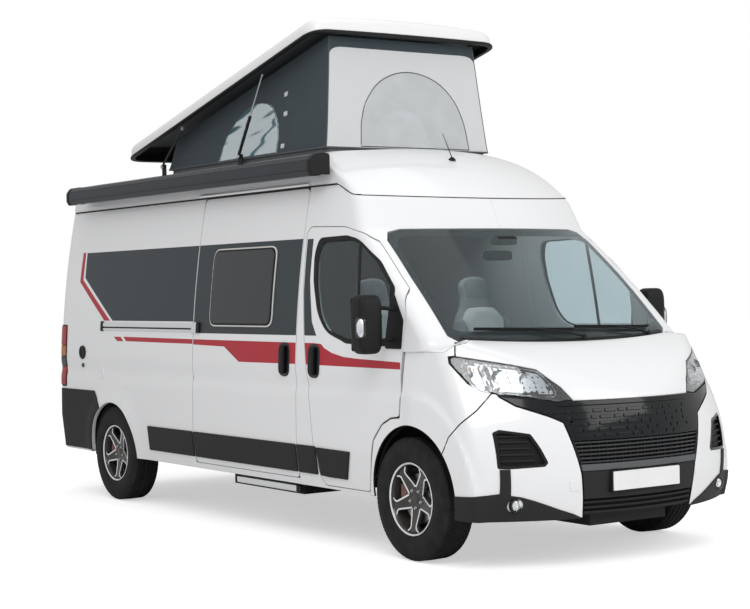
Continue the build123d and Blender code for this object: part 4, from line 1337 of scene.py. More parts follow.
@dataclass
class BodyWalls:
    """Fixed skins of cab and load space: side walls, cab frame, roof cap and rear frame."""

    skin_thick: float = 0.028
    gap: float = 0.0025
    flare_out: float = 0.013
    flare_wide: float = 0.085
    foot_z: float = 0.357
    gutter_z: float = 2.308
    split_aft: float = 1.255
    slide: tuple[float, float, float, float] = (1.255, 2.680, 0.400, 2.306)
    door: tuple = (
        (0.050, 1.251), (0.026, 1.480), (0.130, 1.672), (0.365, 1.872), (0.580, 1.985), (0.780, 2.030),
        (1.180, 2.045), (1.222, 2.005), (1.201, 1.624), (1.165, 1.346), (1.105, 1.003), (1.050, 0.640),
        (1.000, 0.438), (0.940, 0.378), (0.440, 0.378), (0.392, 0.595), (0.364, 0.707), (0.264, 0.811),
        (0.170, 0.852), (0.082, 0.861),
    )
    door_radii: tuple[float, ...] = (
        0.02, 0.05, 0.1, 0.4, 0.3, 0.3, 0.05, 0.03, 0.3, 0.3, 0.3, 0.3, 0.1, 0.06, 0.03, 0.2, 0.1,
        0.1, 0.1, 0.03,
    )
    seam: tuple = ((0.0, 2.204), (0.457, 2.204), (0.745, 2.235), (0.920, 2.310), (6.0, 2.310))
    seam_half: float = 0.862
    seam_guess: float = 2.212
    door_half: float = 0.880
    door_top_half: float = 0.800
    door_foot_z: float = 0.520
    door_top_z: float = 2.230

    def flare(self, aft: Array, z: Array) -> Array:
        """Lip round both wheel arches: full height at the arch, falling off smoothly outside it.

        Args:
            aft: Station behind the front axle.
            z: Height.

        Returns:
            Height of the lip above the wall.
        """
        total = np.zeros(np.broadcast_shapes(np.shape(aft), np.shape(z)))
        for arch in (FRONT_ARCH, REAR_ARCH):
            away = np.hypot(aft - arch.aft, z - arch.z) - arch.radius
            total = np.maximum(total, 1 - smooth_step(away, self.flare_wide * 0.35, self.flare_wide * 1.6))
        return total * self.flare_out * smooth_step(np.abs(aft - 1.9), 1.2, 1.35)

    def wall(self, s: Array, z: Array) -> Array:
        """Right wall: s is the station along the side, then the distance round the rear corner.

        Args:
            s: Station, or distance round the corner.
            z: Height.

        Returns:
            Points, X, Y and Z in the last axis.
        """
        r = BODY.rear_corner
        start = BODY.rear_aft - r
        half = BODY.ring(z)[0]
        angle = np.clip((s - start) / r, 0, np.pi / 2)
        beyond = np.maximum(s - start - r * np.pi / 2, 0)
        x = half - r + r * np.cos(angle) - beyond + self.flare(s, z)
        y = np.where(s < start, station(s), BODY.rear_y(z) - r + r * np.sin(angle))
        return np.stack([-x, y, z + 0 * x], -1)

    def round_rear(self, x: Array, z: Array) -> Array:
        """Distance along the wall of the place on the rear face at this distance from the centre."""
        r = BODY.rear_corner
        return BODY.rear_aft - r + r * np.pi / 2 + BODY.ring(np.asarray(z, float))[0] - r - x

    def on_rear(self, points: Sequence, step: float = 0.03) -> Array:
        """Outline given as (x, z) on the rear face turned into the wall's (s, z)."""
        p = resampled(np.asarray(points, float), step, closed=False)
        return np.stack([self.round_rear(p[:, 0], p[:, 1]), p[:, 1]], 1)

    def door_edge(self, spread: float = 0.0) -> Array:
        """Cab door's outline in the body's (s, z), held behind the windshield post.

        Args:
            spread: Distance by which it is grown.

        Returns:
            Outline in (s, z).
        """
        edge = resampled(grown(rounded(self.door, self.door_radii), spread), 0.03)
        post_x = np.interp(edge[:, 1], [1.258, 1.345, 1.70, 1.93, 2.0], [0.95, 0.918, 0.900, 0.872, 0.83])
        s = BODY.s_from_y(station(edge[:, 0]), edge[:, 1])
        post = BODY.s_from_x(post_x, edge[:, 1]) - spread
        ahead = (edge[:, 1] > 1.26) & (edge[:, 0] < 0.9)
        return np.stack([np.where(ahead, np.maximum(s, post), s), edge[:, 1]], 1)

    def behind(self) -> Array:
        """Outline of a wall from the rear arch's foot round the rear frame to the gutter.

        Returns:
            Points in (s, z).
        """
        half, top, gap = self.door_half + 0.005, self.door_top_half + 0.005, 0.005
        frame = [(0.0, self.foot_z), (0.0, self.door_foot_z - gap), (half, self.door_foot_z - gap),
                 (half, 1.400), (top, self.door_top_z + gap), (0.0, self.door_top_z + gap),
                 (0.0, self.gutter_z)]
        reach = math.asin((REAR_ARCH.z - self.foot_z) / REAR_ARCH.radius)
        return np.concatenate([circle(REAR_ARCH[:2], REAR_ARCH.radius, 40, math.pi + reach, -reach),
                               self.on_rear(frame)])

    def side(self) -> Form:
        """Right wall: rear quarter, sill under the sliding door and half of the rear frame.

        Returns:
            The form.
        """
        low, high, foot, _ = self.slide
        ahead = [(high + self.gap, self.gutter_z), (high + self.gap, foot - self.gap), (low, foot - self.gap),
                 (low, self.foot_z)]
        outline = np.concatenate([ahead, self.behind()])
        return skin(self.wall, outline, WHITE, step=0.05, thick=self.skin_thick, inner=INNER_WHITE)

    def left_side(self) -> Form:
        """Left wall, closed from the cab's rear edge back, in right-side coordinates.

        Returns:
            The form.
        """
        outline = np.concatenate([[(self.split_aft, self.gutter_z), (self.split_aft, self.foot_z)],
                                  self.behind()])
        return skin(self.wall, outline, WHITE, step=0.05, thick=self.skin_thick, inner=INNER_WHITE)

    def cab_frame(self) -> Form:
        """Right half of posts, header and sill, one outline that runs round the door opening.

        Returns:
            The form.
        """
        door = self.door_edge(0.0035)
        corner = BODY.from_side([(0.050, 1.2585), (0.435, 0.378)], 9.0)
        first, last = (int(np.argmin(np.linalg.norm(door - c, axis=1))) for c in corner)
        door = np.roll(door, -first, 0)[: (last - first) % len(door) + 1]
        rear = self.split_aft - self.gap
        sill = BODY.from_side([(0.435, self.foot_z), (rear, self.foot_z), (rear, self.gutter_z),
                               (0.920, self.gutter_z), (0.745, 2.235), (0.744, 2.2349)], closed=False)
        across = np.linspace(self.seam_half, 0.0, 14)
        level = self.front_seam(across) - 0.001
        header = [*zip(across, level), (0.0, 2.006), (0.701, 2.006), (0.783, 1.988), (0.825, 1.932),
                  (0.853, 1.700), (0.871, 1.345), (0.822, 1.306), (0.948, 1.2590)]
        outline = np.concatenate([door, sill[:-1], BODY.from_front(header, 0.03, False)])
        return skin(BODY.point, outline, WHITE, step=0.03, thick=self.skin_thick, roll=0.0012,
                    inner=INNER_WHITE)

    def seam_z(self, y: Array) -> Array:
        """Height of the roof cap's lower edge at a Y."""
        aft, z = np.array(self.seam).T
        return np.interp(y - AXLE_Y, aft, z)

    def front_seam(self, x: Array) -> Array:
        """Height of the roof cap's lower edge across the front, from its Y at about that height."""
        return self.seam_z(BODY.front(x, np.full(len(x), self.seam_guess))[:, 1])

    def roof_cap(self) -> Form:
        """Right half of the roof: rings that nest from the seam up to the centre line.

        A ring at height z runs from the front centre along the bow, round the corner, back along
        x = -half width and round the rear corner; the lowest ring follows the seam.

        Returns:
            The form.
        """
        wide = BODY.width_line()
        wide = wide[wide[:, 1] > 2.19]
        length = np.concatenate([[0], np.cumsum(np.linalg.norm(np.diff(wide, axis=0), axis=1))])
        rows = np.concatenate([np.linspace(0, 0.55, 30), np.linspace(0.58, 1, 12)])
        heights = np.interp(rows * length[-1], length, wide[:, 1])
        heights[-1] = BODY.roof_z - 1e-4
        share = np.concatenate([np.linspace(0, 1, 26)[:-1], 1 + np.linspace(0, 1, 8)[:-1],
                                2 + np.linspace(0, 1, 60)[:-1], 3 + np.linspace(0, 1, 8)[:-1],
                                4 + np.linspace(0, 1, 14)])[None, :]
        z = heights[:, None] + 0 * share
        for _ in range(6):
            half, centre_y, bow, corner, cy, angle = BODY.turn(z)
            t1, t2, t3 = np.clip(share, 0, 1), np.clip(share - 1, 0, 1), np.clip(share - 2, 0, 1)
            rear_y = BODY.rear_y(z)
            r = np.minimum(BODY.rear_corner, 0.45 * half + 0.001)
            side_length = rear_y - r - (cy + centre_y)
            s = np.where(share < 1, -(corner * angle + bow * (np.pi / 2 - angle) * (1 - t1)),
                         np.where(share < 2, -corner * angle * (1 - t2), side_length * t3))
            p = BODY.point(s, z)
            a = np.clip(share - 3, 0, 1) * np.pi / 2
            t5 = np.clip(share - 4, 0, 1)
            x = np.where(share >= 3, -((half - r) * (1 - t5) + r * np.cos(a)), p[..., 0])
            y = np.where(share >= 3, rear_y - r + r * np.sin(a), p[..., 1])
            foot = self.seam_z(y)
            rise = (heights[:, None] - heights[0]) * (heights[-1] - foot) / (heights[-1] - heights[0])
            z = np.maximum(foot + rise, foot)
        points = np.stack([x, y, z], -1)
        points[-1, :, 0] = 0.0
        return Form().grid(points, WHITE)

    def build(self) -> None:
        """Make every fixed skin."""
        right = self.side()
        right.build("side_wall_right", "body", "white_paint", ["side_right"])
        self.left_side().mirrored().build("side_wall_left", "body", "white_paint", ["side_left"])
        frame_right = self.cab_frame()
        frame_right.join(frame_right.mirrored()).build("cab_frame_skin", "body", "white_paint", ["cab_frame"])
        cap = self.roof_cap()
        cap.join(cap.mirrored()).build("roof_cap", "body", "white_paint", ["high_roof"], sharp=50)


WALLS = BodyWalls()


@dataclass(frozen=True)
class Filling:
    """Swells drawn cushions by cloth simulation: pressure from inside, each point's way capped."""

    voxel: float = 0.021
    pressure: float = 4.0
    cap: float = 0.014
    frames: int = 20

    def stuffed(self, form: Form) -> Form:
        """Simulate every closed block of a form on its own.

        Args:
            form: Form of closed blocks, one for each addition.

        Returns:
            New form of the swollen blocks.
        """
        swollen, start = Form(), 0
        for points, (faces, finish) in zip(form.points, form.faces):
            swollen.add(*self.blown(points, faces - start), finish)
            start += len(points)
        return swollen

    def blown(self, points: Array, faces: Array) -> tuple[Array, Array]:
        """Remesh one block to voxels, run the cloth, cap the moves, and subdivide once.

        Args:
            points: Points of the block.
            faces: Its faces.

        Returns:
            Points and faces of the swollen block.
        """
        scene = bpy.context.scene
        mesh = bpy.data.meshes.new("filling")
        mesh.from_pydata(points.tolist(), [], faces.tolist())
        thing = bpy.data.objects.new("filling", mesh)
        scene.collection.objects.link(thing)
        remesh = thing.modifiers.new("voxels", "REMESH")
        remesh.mode, remesh.voxel_size = "VOXEL", self.voxel
        thing.data = self.taken(thing)
        thing.modifiers.clear()
        flat = self.coordinates(thing.data)
        cloth = thing.modifiers.new("cloth", "CLOTH").settings
        cloth.use_pressure, cloth.uniform_pressure_force = True, self.pressure
        cloth.effector_weights.gravity = 0.0
        for frame in range(1, self.frames + 1):
            scene.frame_set(frame)
        moved = self.coordinates(self.taken(thing)) - flat
        thing.modifiers.clear()
        scene.frame_set(1)
        far = np.linalg.norm(moved, axis=1)[:, None] + 1e-9
        flat += moved * np.minimum(1.0, self.cap / far)
        thing.data.vertices.foreach_set("co", flat.ravel())
        thing.modifiers.new("fine", "SUBSURF").levels = 1
        done = self.taken(thing)
        corners = np.zeros(len(done.loops), np.int64)
        done.loops.foreach_get("vertex_index", corners)
        result = self.coordinates(done), corners.reshape(-1, 4)
        bpy.data.objects.remove(thing)
        return result

    @staticmethod
    def taken(thing: bpy.types.Object) -> bpy.types.Mesh:
        """Mesh of an object with its modifiers applied."""
        return bpy.data.meshes.new_from_object(thing.evaluated_get(bpy.context.evaluated_depsgraph_get()))

    @staticmethod
    def coordinates(mesh: bpy.types.Mesh) -> Array:
        """Points of a mesh, one row each.

        Args:
            mesh: Mesh.

        Returns:
            Points, one row each.
        """
        flat = np.zeros(len(mesh.vertices) * 3)
        mesh.vertices.foreach_get("co", flat)
        return flat.reshape(-1, 3)


@dataclass
class CabDoor:
    """One cab door: skin, glass, seals, handle, films and mirror."""

    side: Side
    window: tuple = (
        (0.175, 1.300), (0.670, 1.312), (0.890, 1.372), (0.985, 1.470), (1.055, 1.680), (1.070, 1.850),
        (1.030, 1.950), (0.720, 1.955), (0.590, 1.930), (0.365, 1.800), (0.190, 1.640),
    )
    window_radii: tuple[float, ...] = (0.03, 0.2, 0.2, 0.3, 0.3, 0.2, 0.06, 0.2, 0.3, 0.3, 0.05)
    sail: tuple = ((0.058, 1.268), (0.222, 1.268), (0.226, 1.330), (0.196, 1.560), (0.160, 1.600),
                   (0.048, 1.440))
    divider: tuple = ((0.520, 1.300), (0.545, 1.300), (0.600, 1.940), (0.572, 1.935))
    dark: tuple = (
        (1.012, 1.337), (1.157, 1.337), (1.193, 1.624), (1.206, 1.966), (1.134, 1.966), (1.129, 1.698),
        (1.073, 1.425),
    )
    red: tuple = (
        (1.150, 1.289), (1.038, 1.289), (0.953, 1.285), (0.917, 1.260), (0.822, 1.230), (0.683, 1.207),
        (0.514, 1.199), (0.068, 1.188), (0.064, 1.146), (1.128, 1.149),
    )
    cladding: tuple = ((1.012, 0.618), (0.620, 0.615), (0.676, 0.433), (0.985, 0.438))
    lining: tuple = ((0.12, 0.98), (0.90, 0.50), (0.98, 0.50), (1.10, 1.24), (0.16, 1.24))
    pocket: tuple = ((0.30, 0.90), (0.86, 0.56), (0.93, 0.56), (0.95, 0.74), (0.36, 1.00))
    handle: tuple[float, float, float, float] = (0.965, 1.105, 1.063, 1.284)
    mirror_centre: tuple[float, float, float] = (1.163, 0.200, 1.420)
    mirror_half: tuple[float, float, float] = (0.083, 0.066, 0.180)

    def opening(self) -> Array:
        """Window outline in the body's (s, z)."""
        return BODY.from_side(rounded(self.window, self.window_radii))

    def skin(self) -> Form:
        """Door leaf with its window cut and its inner lining.

        Returns:
            The form.
        """
        edge, opening = WALLS.door_edge(), self.opening()
        form = skin(BODY.point, edge, WHITE, [opening], step=0.03, thick=0.030, inner=INNER_WHITE)
        lining = BODY.from_side(rounded(self.lining, 0.06))
        form.join(skin(BODY.point, lining, DASH_SKIN, step=0.05, thick=0.052, proud=-0.031, roll=0.008))
        pocket = BODY.from_side(rounded(self.pocket, 0.04))
        return form.join(skin(BODY.point, pocket, GREY_TRIM, step=0.05, thick=0.078, proud=-0.050,
                              roll=0.008))

    def seals(self) -> Form:
        """Window frame, sail and divider on the outside.

        Returns:
            The form.
        """
        opening = self.opening()
        ring = resampled(grown(opening, 0.020), 0.02)
        form = skin(BODY.point, ring, SEAL, [resampled(grown(opening, -0.012), 0.02)], step=0.03, thick=0.006,
                    proud=0.0025, roll=0.002)
        form.join(skin(BODY.point, BODY.from_side(rounded(self.sail, 0.012)), TRIM, step=0.03, thick=0.004,
                       proud=0.007))
        return form.join(skin(BODY.point, BODY.from_side(self.divider), SEAL, step=0.03, thick=0.012,
                              proud=-0.003))

    def films(self) -> Form:
        """Dark and red films.

        Returns:
            The form.
        """
        form = skin(BODY.point, BODY.from_side(self.dark), DARK_FILM, step=0.03, thick=0.0, proud=0.0005,
                    roll=0.0001)
        return form.join(skin(BODY.point, BODY.from_side(self.red), RED_FILM, step=0.03, thick=0.0,
                              proud=0.0006, roll=0.0001))

    def mirror(self) -> Form:
        """Housing with a dark cap, two arms, a flush glass and a clear indicator.

        Returns:
            The form.
        """
        x, aft, z = self.mirror_centre
        centre = (-x, station(aft), z)
        form = Form().pillow(centre, self.mirror_half, TRIM, 0.42, 56, 32)
        form.pillow((centre[0], centre[1] - 0.003, z + 0.045), (0.0845, 0.067, 0.008), SEAL, 0.42, 48, 8)
        wide, _, tall = self.mirror_half
        glass_y = centre[1] + self.mirror_half[1] - 0.004
        pane = box(-wide * 0.82, wide * 0.82, -tall * 0.34, tall * 0.9, 0.02)
        low = box(-wide * 0.82, wide * 0.82, -tall * 0.9, -tall * 0.4, 0.015)

        def upright(flat: Array, height: Array) -> Array:
            """Plane across the rear of the housing."""
            return np.stack([flat[:, 0] + centre[0], glass_y + height, flat[:, 1] + centre[2]], 1)

        for outline in (pane, low):
            form.slab(outline, -0.004, 0.006, upright, CHROME, 0.001, sides=TRIM)
        form.pillow((centre[0] - 0.066, centre[1] - 0.036, z - 0.020), (0.024, 0.032, 0.064), LENS,
                    0.45, 28, 14)
        form.pillow((centre[0] - 0.064, centre[1] - 0.032, z - 0.020), (0.019, 0.029, 0.058), CHROME,
                    0.45, 28, 14)
        for height, slope in ((1.535, 0.020), (1.310, -0.012)):
            path = [(-1.140, station(0.20), height), (-1.05, station(0.175), height - slope),
                    (-0.985, station(0.150), height - slope * 1.5)]
            form.tube(path, 0.017, TRIM, 12, 0.75)
        return form

    def build(self) -> None:
        """Make the door."""
        word, of = self.side.value, self.side.of
        body = f"cab_door_{word}"
        of(self.skin()).build(f"cab_door_leaf_{word}", body, "white_paint", [body])
        of(self.seals()).build(f"cab_door_seals_{word}", body, "black_plastic")
        glass = skin(BODY.point, resampled(grown(self.opening(), -0.001), 0.03), CAB_GLASS, step=0.03,
                     thick=0.010, proud=-0.006, roll=0.001)
        of(glass).build(f"cab_door_glass_{word}", body, "glass", [f"door_glass_{word}"])
        of(self.films()).build(f"cab_door_films_{word}", body, "trim")
        of(upright_handle(self.handle)).build(f"cab_door_handle_{word}", body, "black_plastic")
        clad = BODY.from_side(rounded(self.cladding, 0.008))
        of(skin(BODY.point, clad, CLADDING, step=0.03, thick=0.002, proud=0.012, roll=0.006)).build(
            f"cab_door_cladding_{word}", body, "black_plastic")
        of(self.mirror()).build(f"door_mirror_{word}", body, "black_plastic", [f"mirror_{word}"])


def upright_handle(limits: tuple[float, float, float, float]) -> Form:
    """Oval door handle over aft and z limits: a dark dish with an upright bar across it.

    Args:
        limits: Limits: low and high station, lower and upper height.

    Returns:
        The form.
    """
    low, high, foot, top = limits
    form = skin(BODY.point, BODY.from_side(box(*limits, 0.065, 12), 0.02), BLACK_GLOSS, step=0.02,
                thick=0.002, proud=0.005, roll=0.004)
    middle, wide = (low + high) / 2, (high - low) * 0.19
    bar = box(middle - wide, middle + wide, foot + 0.02, top - 0.02, 0.02, 10)
    return form.join(skin(BODY.point, BODY.from_side(bar, 0.02), TRIM, step=0.02, thick=-0.005, proud=0.030,
                          roll=0.009))


@dataclass
class SideDress:
    """Sliding door, its window, and the films, cladding, rail and fittings on both side walls."""

    slide: tuple[float, float, float, float] = (1.2575, 2.6775, 0.400, 2.3045)
    window: tuple[float, float, float, float] = (1.581, 2.417, 1.402, 1.919)
    band: tuple[float, float] = (1.337, 1.970)
    rear_band: tuple = ((4.602, 1.970), (4.592, 1.767), (4.025, 1.420), (2.686, 1.420), (2.686, 1.970))
    rear_red: tuple = ((4.678, 1.973), (4.685, 1.735), (4.175, 1.420), (4.071, 1.420), (4.628, 1.751),
                       (4.627, 1.973))
    low_red: tuple = ((3.990, 1.294), (3.870, 1.295), (3.818, 1.261), (3.925, 1.260))
    stripe: tuple = ((3.819, 1.296), (3.769, 1.262), (2.686, 1.258), (2.686, 1.292))
    slide_red: tuple = ((2.672, 1.292), (1.262, 1.289), (1.262, 1.149), (2.005, 1.145), (2.218, 1.247),
                        (2.672, 1.254))
    window_radius: float = 0.065
    band_span: tuple[float, float] = (1.262, 2.672)
    handle: tuple[float, float, float, float] = (1.335, 1.472, 1.063, 1.290)
    slide_strip: tuple[float, float] = (1.266, 2.668)
    quarter_strip: tuple[float, float] = (2.686, 3.400)
    sill_strip: tuple[float, float] = (1.020, 1.250)
    cladding_z: tuple[float, float] = (0.440, 0.624)
    rail: tuple[float, float, float, float] = (2.690, 4.190, 1.345, 1.405)

    def film(self, outline: Sequence, finish: Finish, holes: Sequence[Array] = (),
             lift: float = 0.0005) -> Form:
        """Thin film on the wall."""
        return skin(BODY.point, BODY.from_side(outline), finish, holes, step=0.05, thick=0.0, proud=lift,
                    roll=0.0001)

    def box(self, low: float, high: float, foot: float, top: float, radius: float = 0.0,
            spread: float = 0.0) -> Array:
        """Rectangle in (aft, z) with round corners.

        Args:
            low: First station.
            high: Last station.
            foot: Lower height.
            top: Upper height.
            radius: Corner radius.
            spread: Distance by which it is grown.

        Returns:
            Plane loop in (aft, z).
        """
        return box(low - spread, high + spread, foot - spread, top + spread, radius, 8)

    def door(self) -> Form:
        """Sliding door leaf.

        Returns:
            The form.
        """
        hole = BODY.from_side(self.box(*self.window, self.window_radius))
        edge = BODY.from_side(self.box(*self.slide, 0.045))
        form = skin(BODY.point, edge, WHITE, [hole], step=0.04, thick=0.030, inner=INNER_WHITE)
        panel = BODY.from_side(self.box(1.38, 2.56, 0.50, 1.32, 0.06))
        return form.join(skin(BODY.point, panel, PALE_TRIM, step=0.06, thick=0.042, proud=-0.031, roll=0.006))

    def window_form(self) -> Form:
        """Hinged acrylic window: pale frame, dark pane and inner frame.

        Returns:
            The form.
        """
        def ring(spread: float) -> Array:
            """Window outline grown by a distance."""
            return BODY.from_side(self.box(*self.window, self.window_radius + spread, spread))

        form = skin(BODY.point, ring(0.016), PALE_TRIM, [ring(0.004)], step=0.03, thick=0.0,
                    proud=0.010, roll=0.004)
        form.join(skin(BODY.point, ring(0.004), TRIM, [ring(-0.006)], step=0.03, thick=0.0, proud=0.013,
                       roll=0.003))
        form.join(skin(BODY.point, ring(-0.006), DARK_GLASS, step=0.05, thick=0.004, proud=0.016, roll=0.005))
        return form.join(skin(BODY.point, ring(0.0), PALE_TRIM, [ring(-0.035)], step=0.04, thick=0.040,
                              proud=-0.004))

    def cladding(self, low: float, high: float) -> Form:
        """Rub strip between two stations.

        Args:
            low: First station.
            high: Last station.

        Returns:
            The form.
        """
        foot, top = self.cladding_z
        edge = BODY.from_side(self.box(low, high, foot, top, 0.010))
        return skin(BODY.point, edge, CLADDING, step=0.05, thick=0.002, proud=0.012, roll=0.006)

    def rear_corner(self) -> Form:
        """Dark corner cover behind the rear wheel, rolled round to the rear face.

        Returns:
            The form.
        """
        around = circle(REAR_ARCH[:2], REAR_ARCH.radius + 0.002, 16, math.radians(60), math.radians(-2))
        edge = [(4.400, 0.372), (4.946, 0.372), (5.14, 0.372), (5.14, 0.850), (4.946, 0.856), (4.337, 0.856),
                (4.240, 0.748)]
        outline = resampled(np.concatenate([around, edge]), 0.03)
        return skin(WALLS.wall, outline, CLADDING, step=0.04, thick=0.002, proud=0.008, roll=0.005)

    def lamps(self) -> Form:
        """Upright rear lamp on the corner: red, amber and clear chambers behind one lens.

        Returns:
            The form.
        """
        form = skin(WALLS.wall, self.box(4.870, 5.075, 0.872, 1.383, 0.02), TRIM, step=0.03, thick=0.002,
                    proud=0.003)
        for foot, top, finish in ((0.885, 1.04, RED_LENS), (1.045, 1.12, LENS), (1.125, 1.21, AMBER_LENS),
                                  (1.215, 1.372, RED_LENS)):
            form.join(skin(WALLS.wall, self.box(4.878, 5.067, foot, top, 0.012), finish, step=0.03,
                           thick=-0.002, proud=0.009, roll=0.004))
        return form

    def fittings(self) -> Form:
        """Shore power socket, its small vent and water filler on the right wall.

        Returns:
            The form.
        """
        form = Form()
        at = BODY.side(np.array([4.557, 4.554, 4.21]), np.array([1.160, 1.056, 1.00]))
        for (x, y, z), r, finish in zip(at, (0.055, 0.018, 0.05), (TRIM, GREY_TRIM, WHITE)):
            disc = [(0.002, 0.0), (0.002, r), (-0.008, r), (-0.012, r - 0.004), (-0.012, r * 0.62),
                    (-0.009, r * 0.58), (-0.009, 0.0)]
            form.lathe(disc, finish, 0, (x, y, z), 32)
        return form

    def slide_rail(self) -> Form:
        """Rail of the sliding door with a dark slot, and the roller's cover.

        Returns:
            The form.
        """
        low, high, foot, top = self.rail
        form = Form()
        bands = ((foot, foot + 0.016, 0.009, ANODISED), (foot + 0.0165, foot + 0.0265, 0.004, TRIM),
                 (foot + 0.027, top, 0.010, ANODISED))
        for under, over, proud, finish in bands:
            edge = BODY.from_side(self.box(low, high, under, over, 0.003))
            form.join(skin(BODY.point, edge, finish, step=0.05, thick=0.0, proud=proud, roll=0.003))
        for start, stop, proud, finish in ((high - 0.012, high + 0.030, 0.014, TRIM),
                                           (2.620, 2.690, 0.016, ANODISED), (2.575, 2.622, 0.015, TRIM)):
            cover = BODY.from_side(self.box(start, stop, foot - 0.008, top + 0.010, 0.008))
            form.join(skin(BODY.point, cover, finish, step=0.04, thick=0.0, proud=proud, roll=0.005))
        return form

    def build(self) -> None:
        """Dress both walls; only the right one has the sliding door."""
        self.door().build("sliding_door_leaf", "body", "white_paint", ["sliding_door"])
        self.window_form().build("slide_window_pane", "body", "tinted_window", ["slide_window"])
        hole = BODY.from_side(self.box(*self.window, self.window_radius, 0.012))
        band = self.box(*self.band_span, *self.band)
        films = self.film(band, DARK_FILM, [hole]).join(self.film(self.slide_red, RED_FILM, (), 0.0006))
        films.build("slide_films", "body", "trim")
        upright_handle(self.handle).build("slide_handle", "body", "black_plastic")
        self.cladding(*self.slide_strip).build("slide_cladding", "body", "black_plastic")
        self.slide_rail().build("slide_rail_cover", "body", "anodised", ["slide_rail"])
        self.fittings().build("wall_fittings", "body", "trim")
        for side in Side:
            word = side.value
            rear = self.film(self.rear_band, DARK_FILM)
            for outline in (self.rear_red, self.low_red, self.stripe):
                rear.join(self.film(outline, RED_FILM, (), 0.0006))
            if side is Side.LEFT:
                rear.join(self.film(self.box(1.258, 2.684, *self.band), DARK_FILM))
                rear.join(self.film(self.slide_red, RED_FILM, (), 0.0006), self.cladding(*self.slide_strip))
            side.of(rear).build(f"wall_films_{word}", "body", "trim")
            side.of(self.cladding(*self.quarter_strip)).build(f"quarter_cladding_{word}", "body",
                                                              "black_plastic")
            side.of(self.cladding(*self.sill_strip)).build(f"sill_cladding_{word}", "body", "black_plastic")
            side.of(self.rear_corner()).build(f"rear_corner_{word}", "body", "black_plastic")
            side.of(self.lamps()).build(f"rear_lamp_{word}", "body", "red_lamp", ["rear_lamps"])


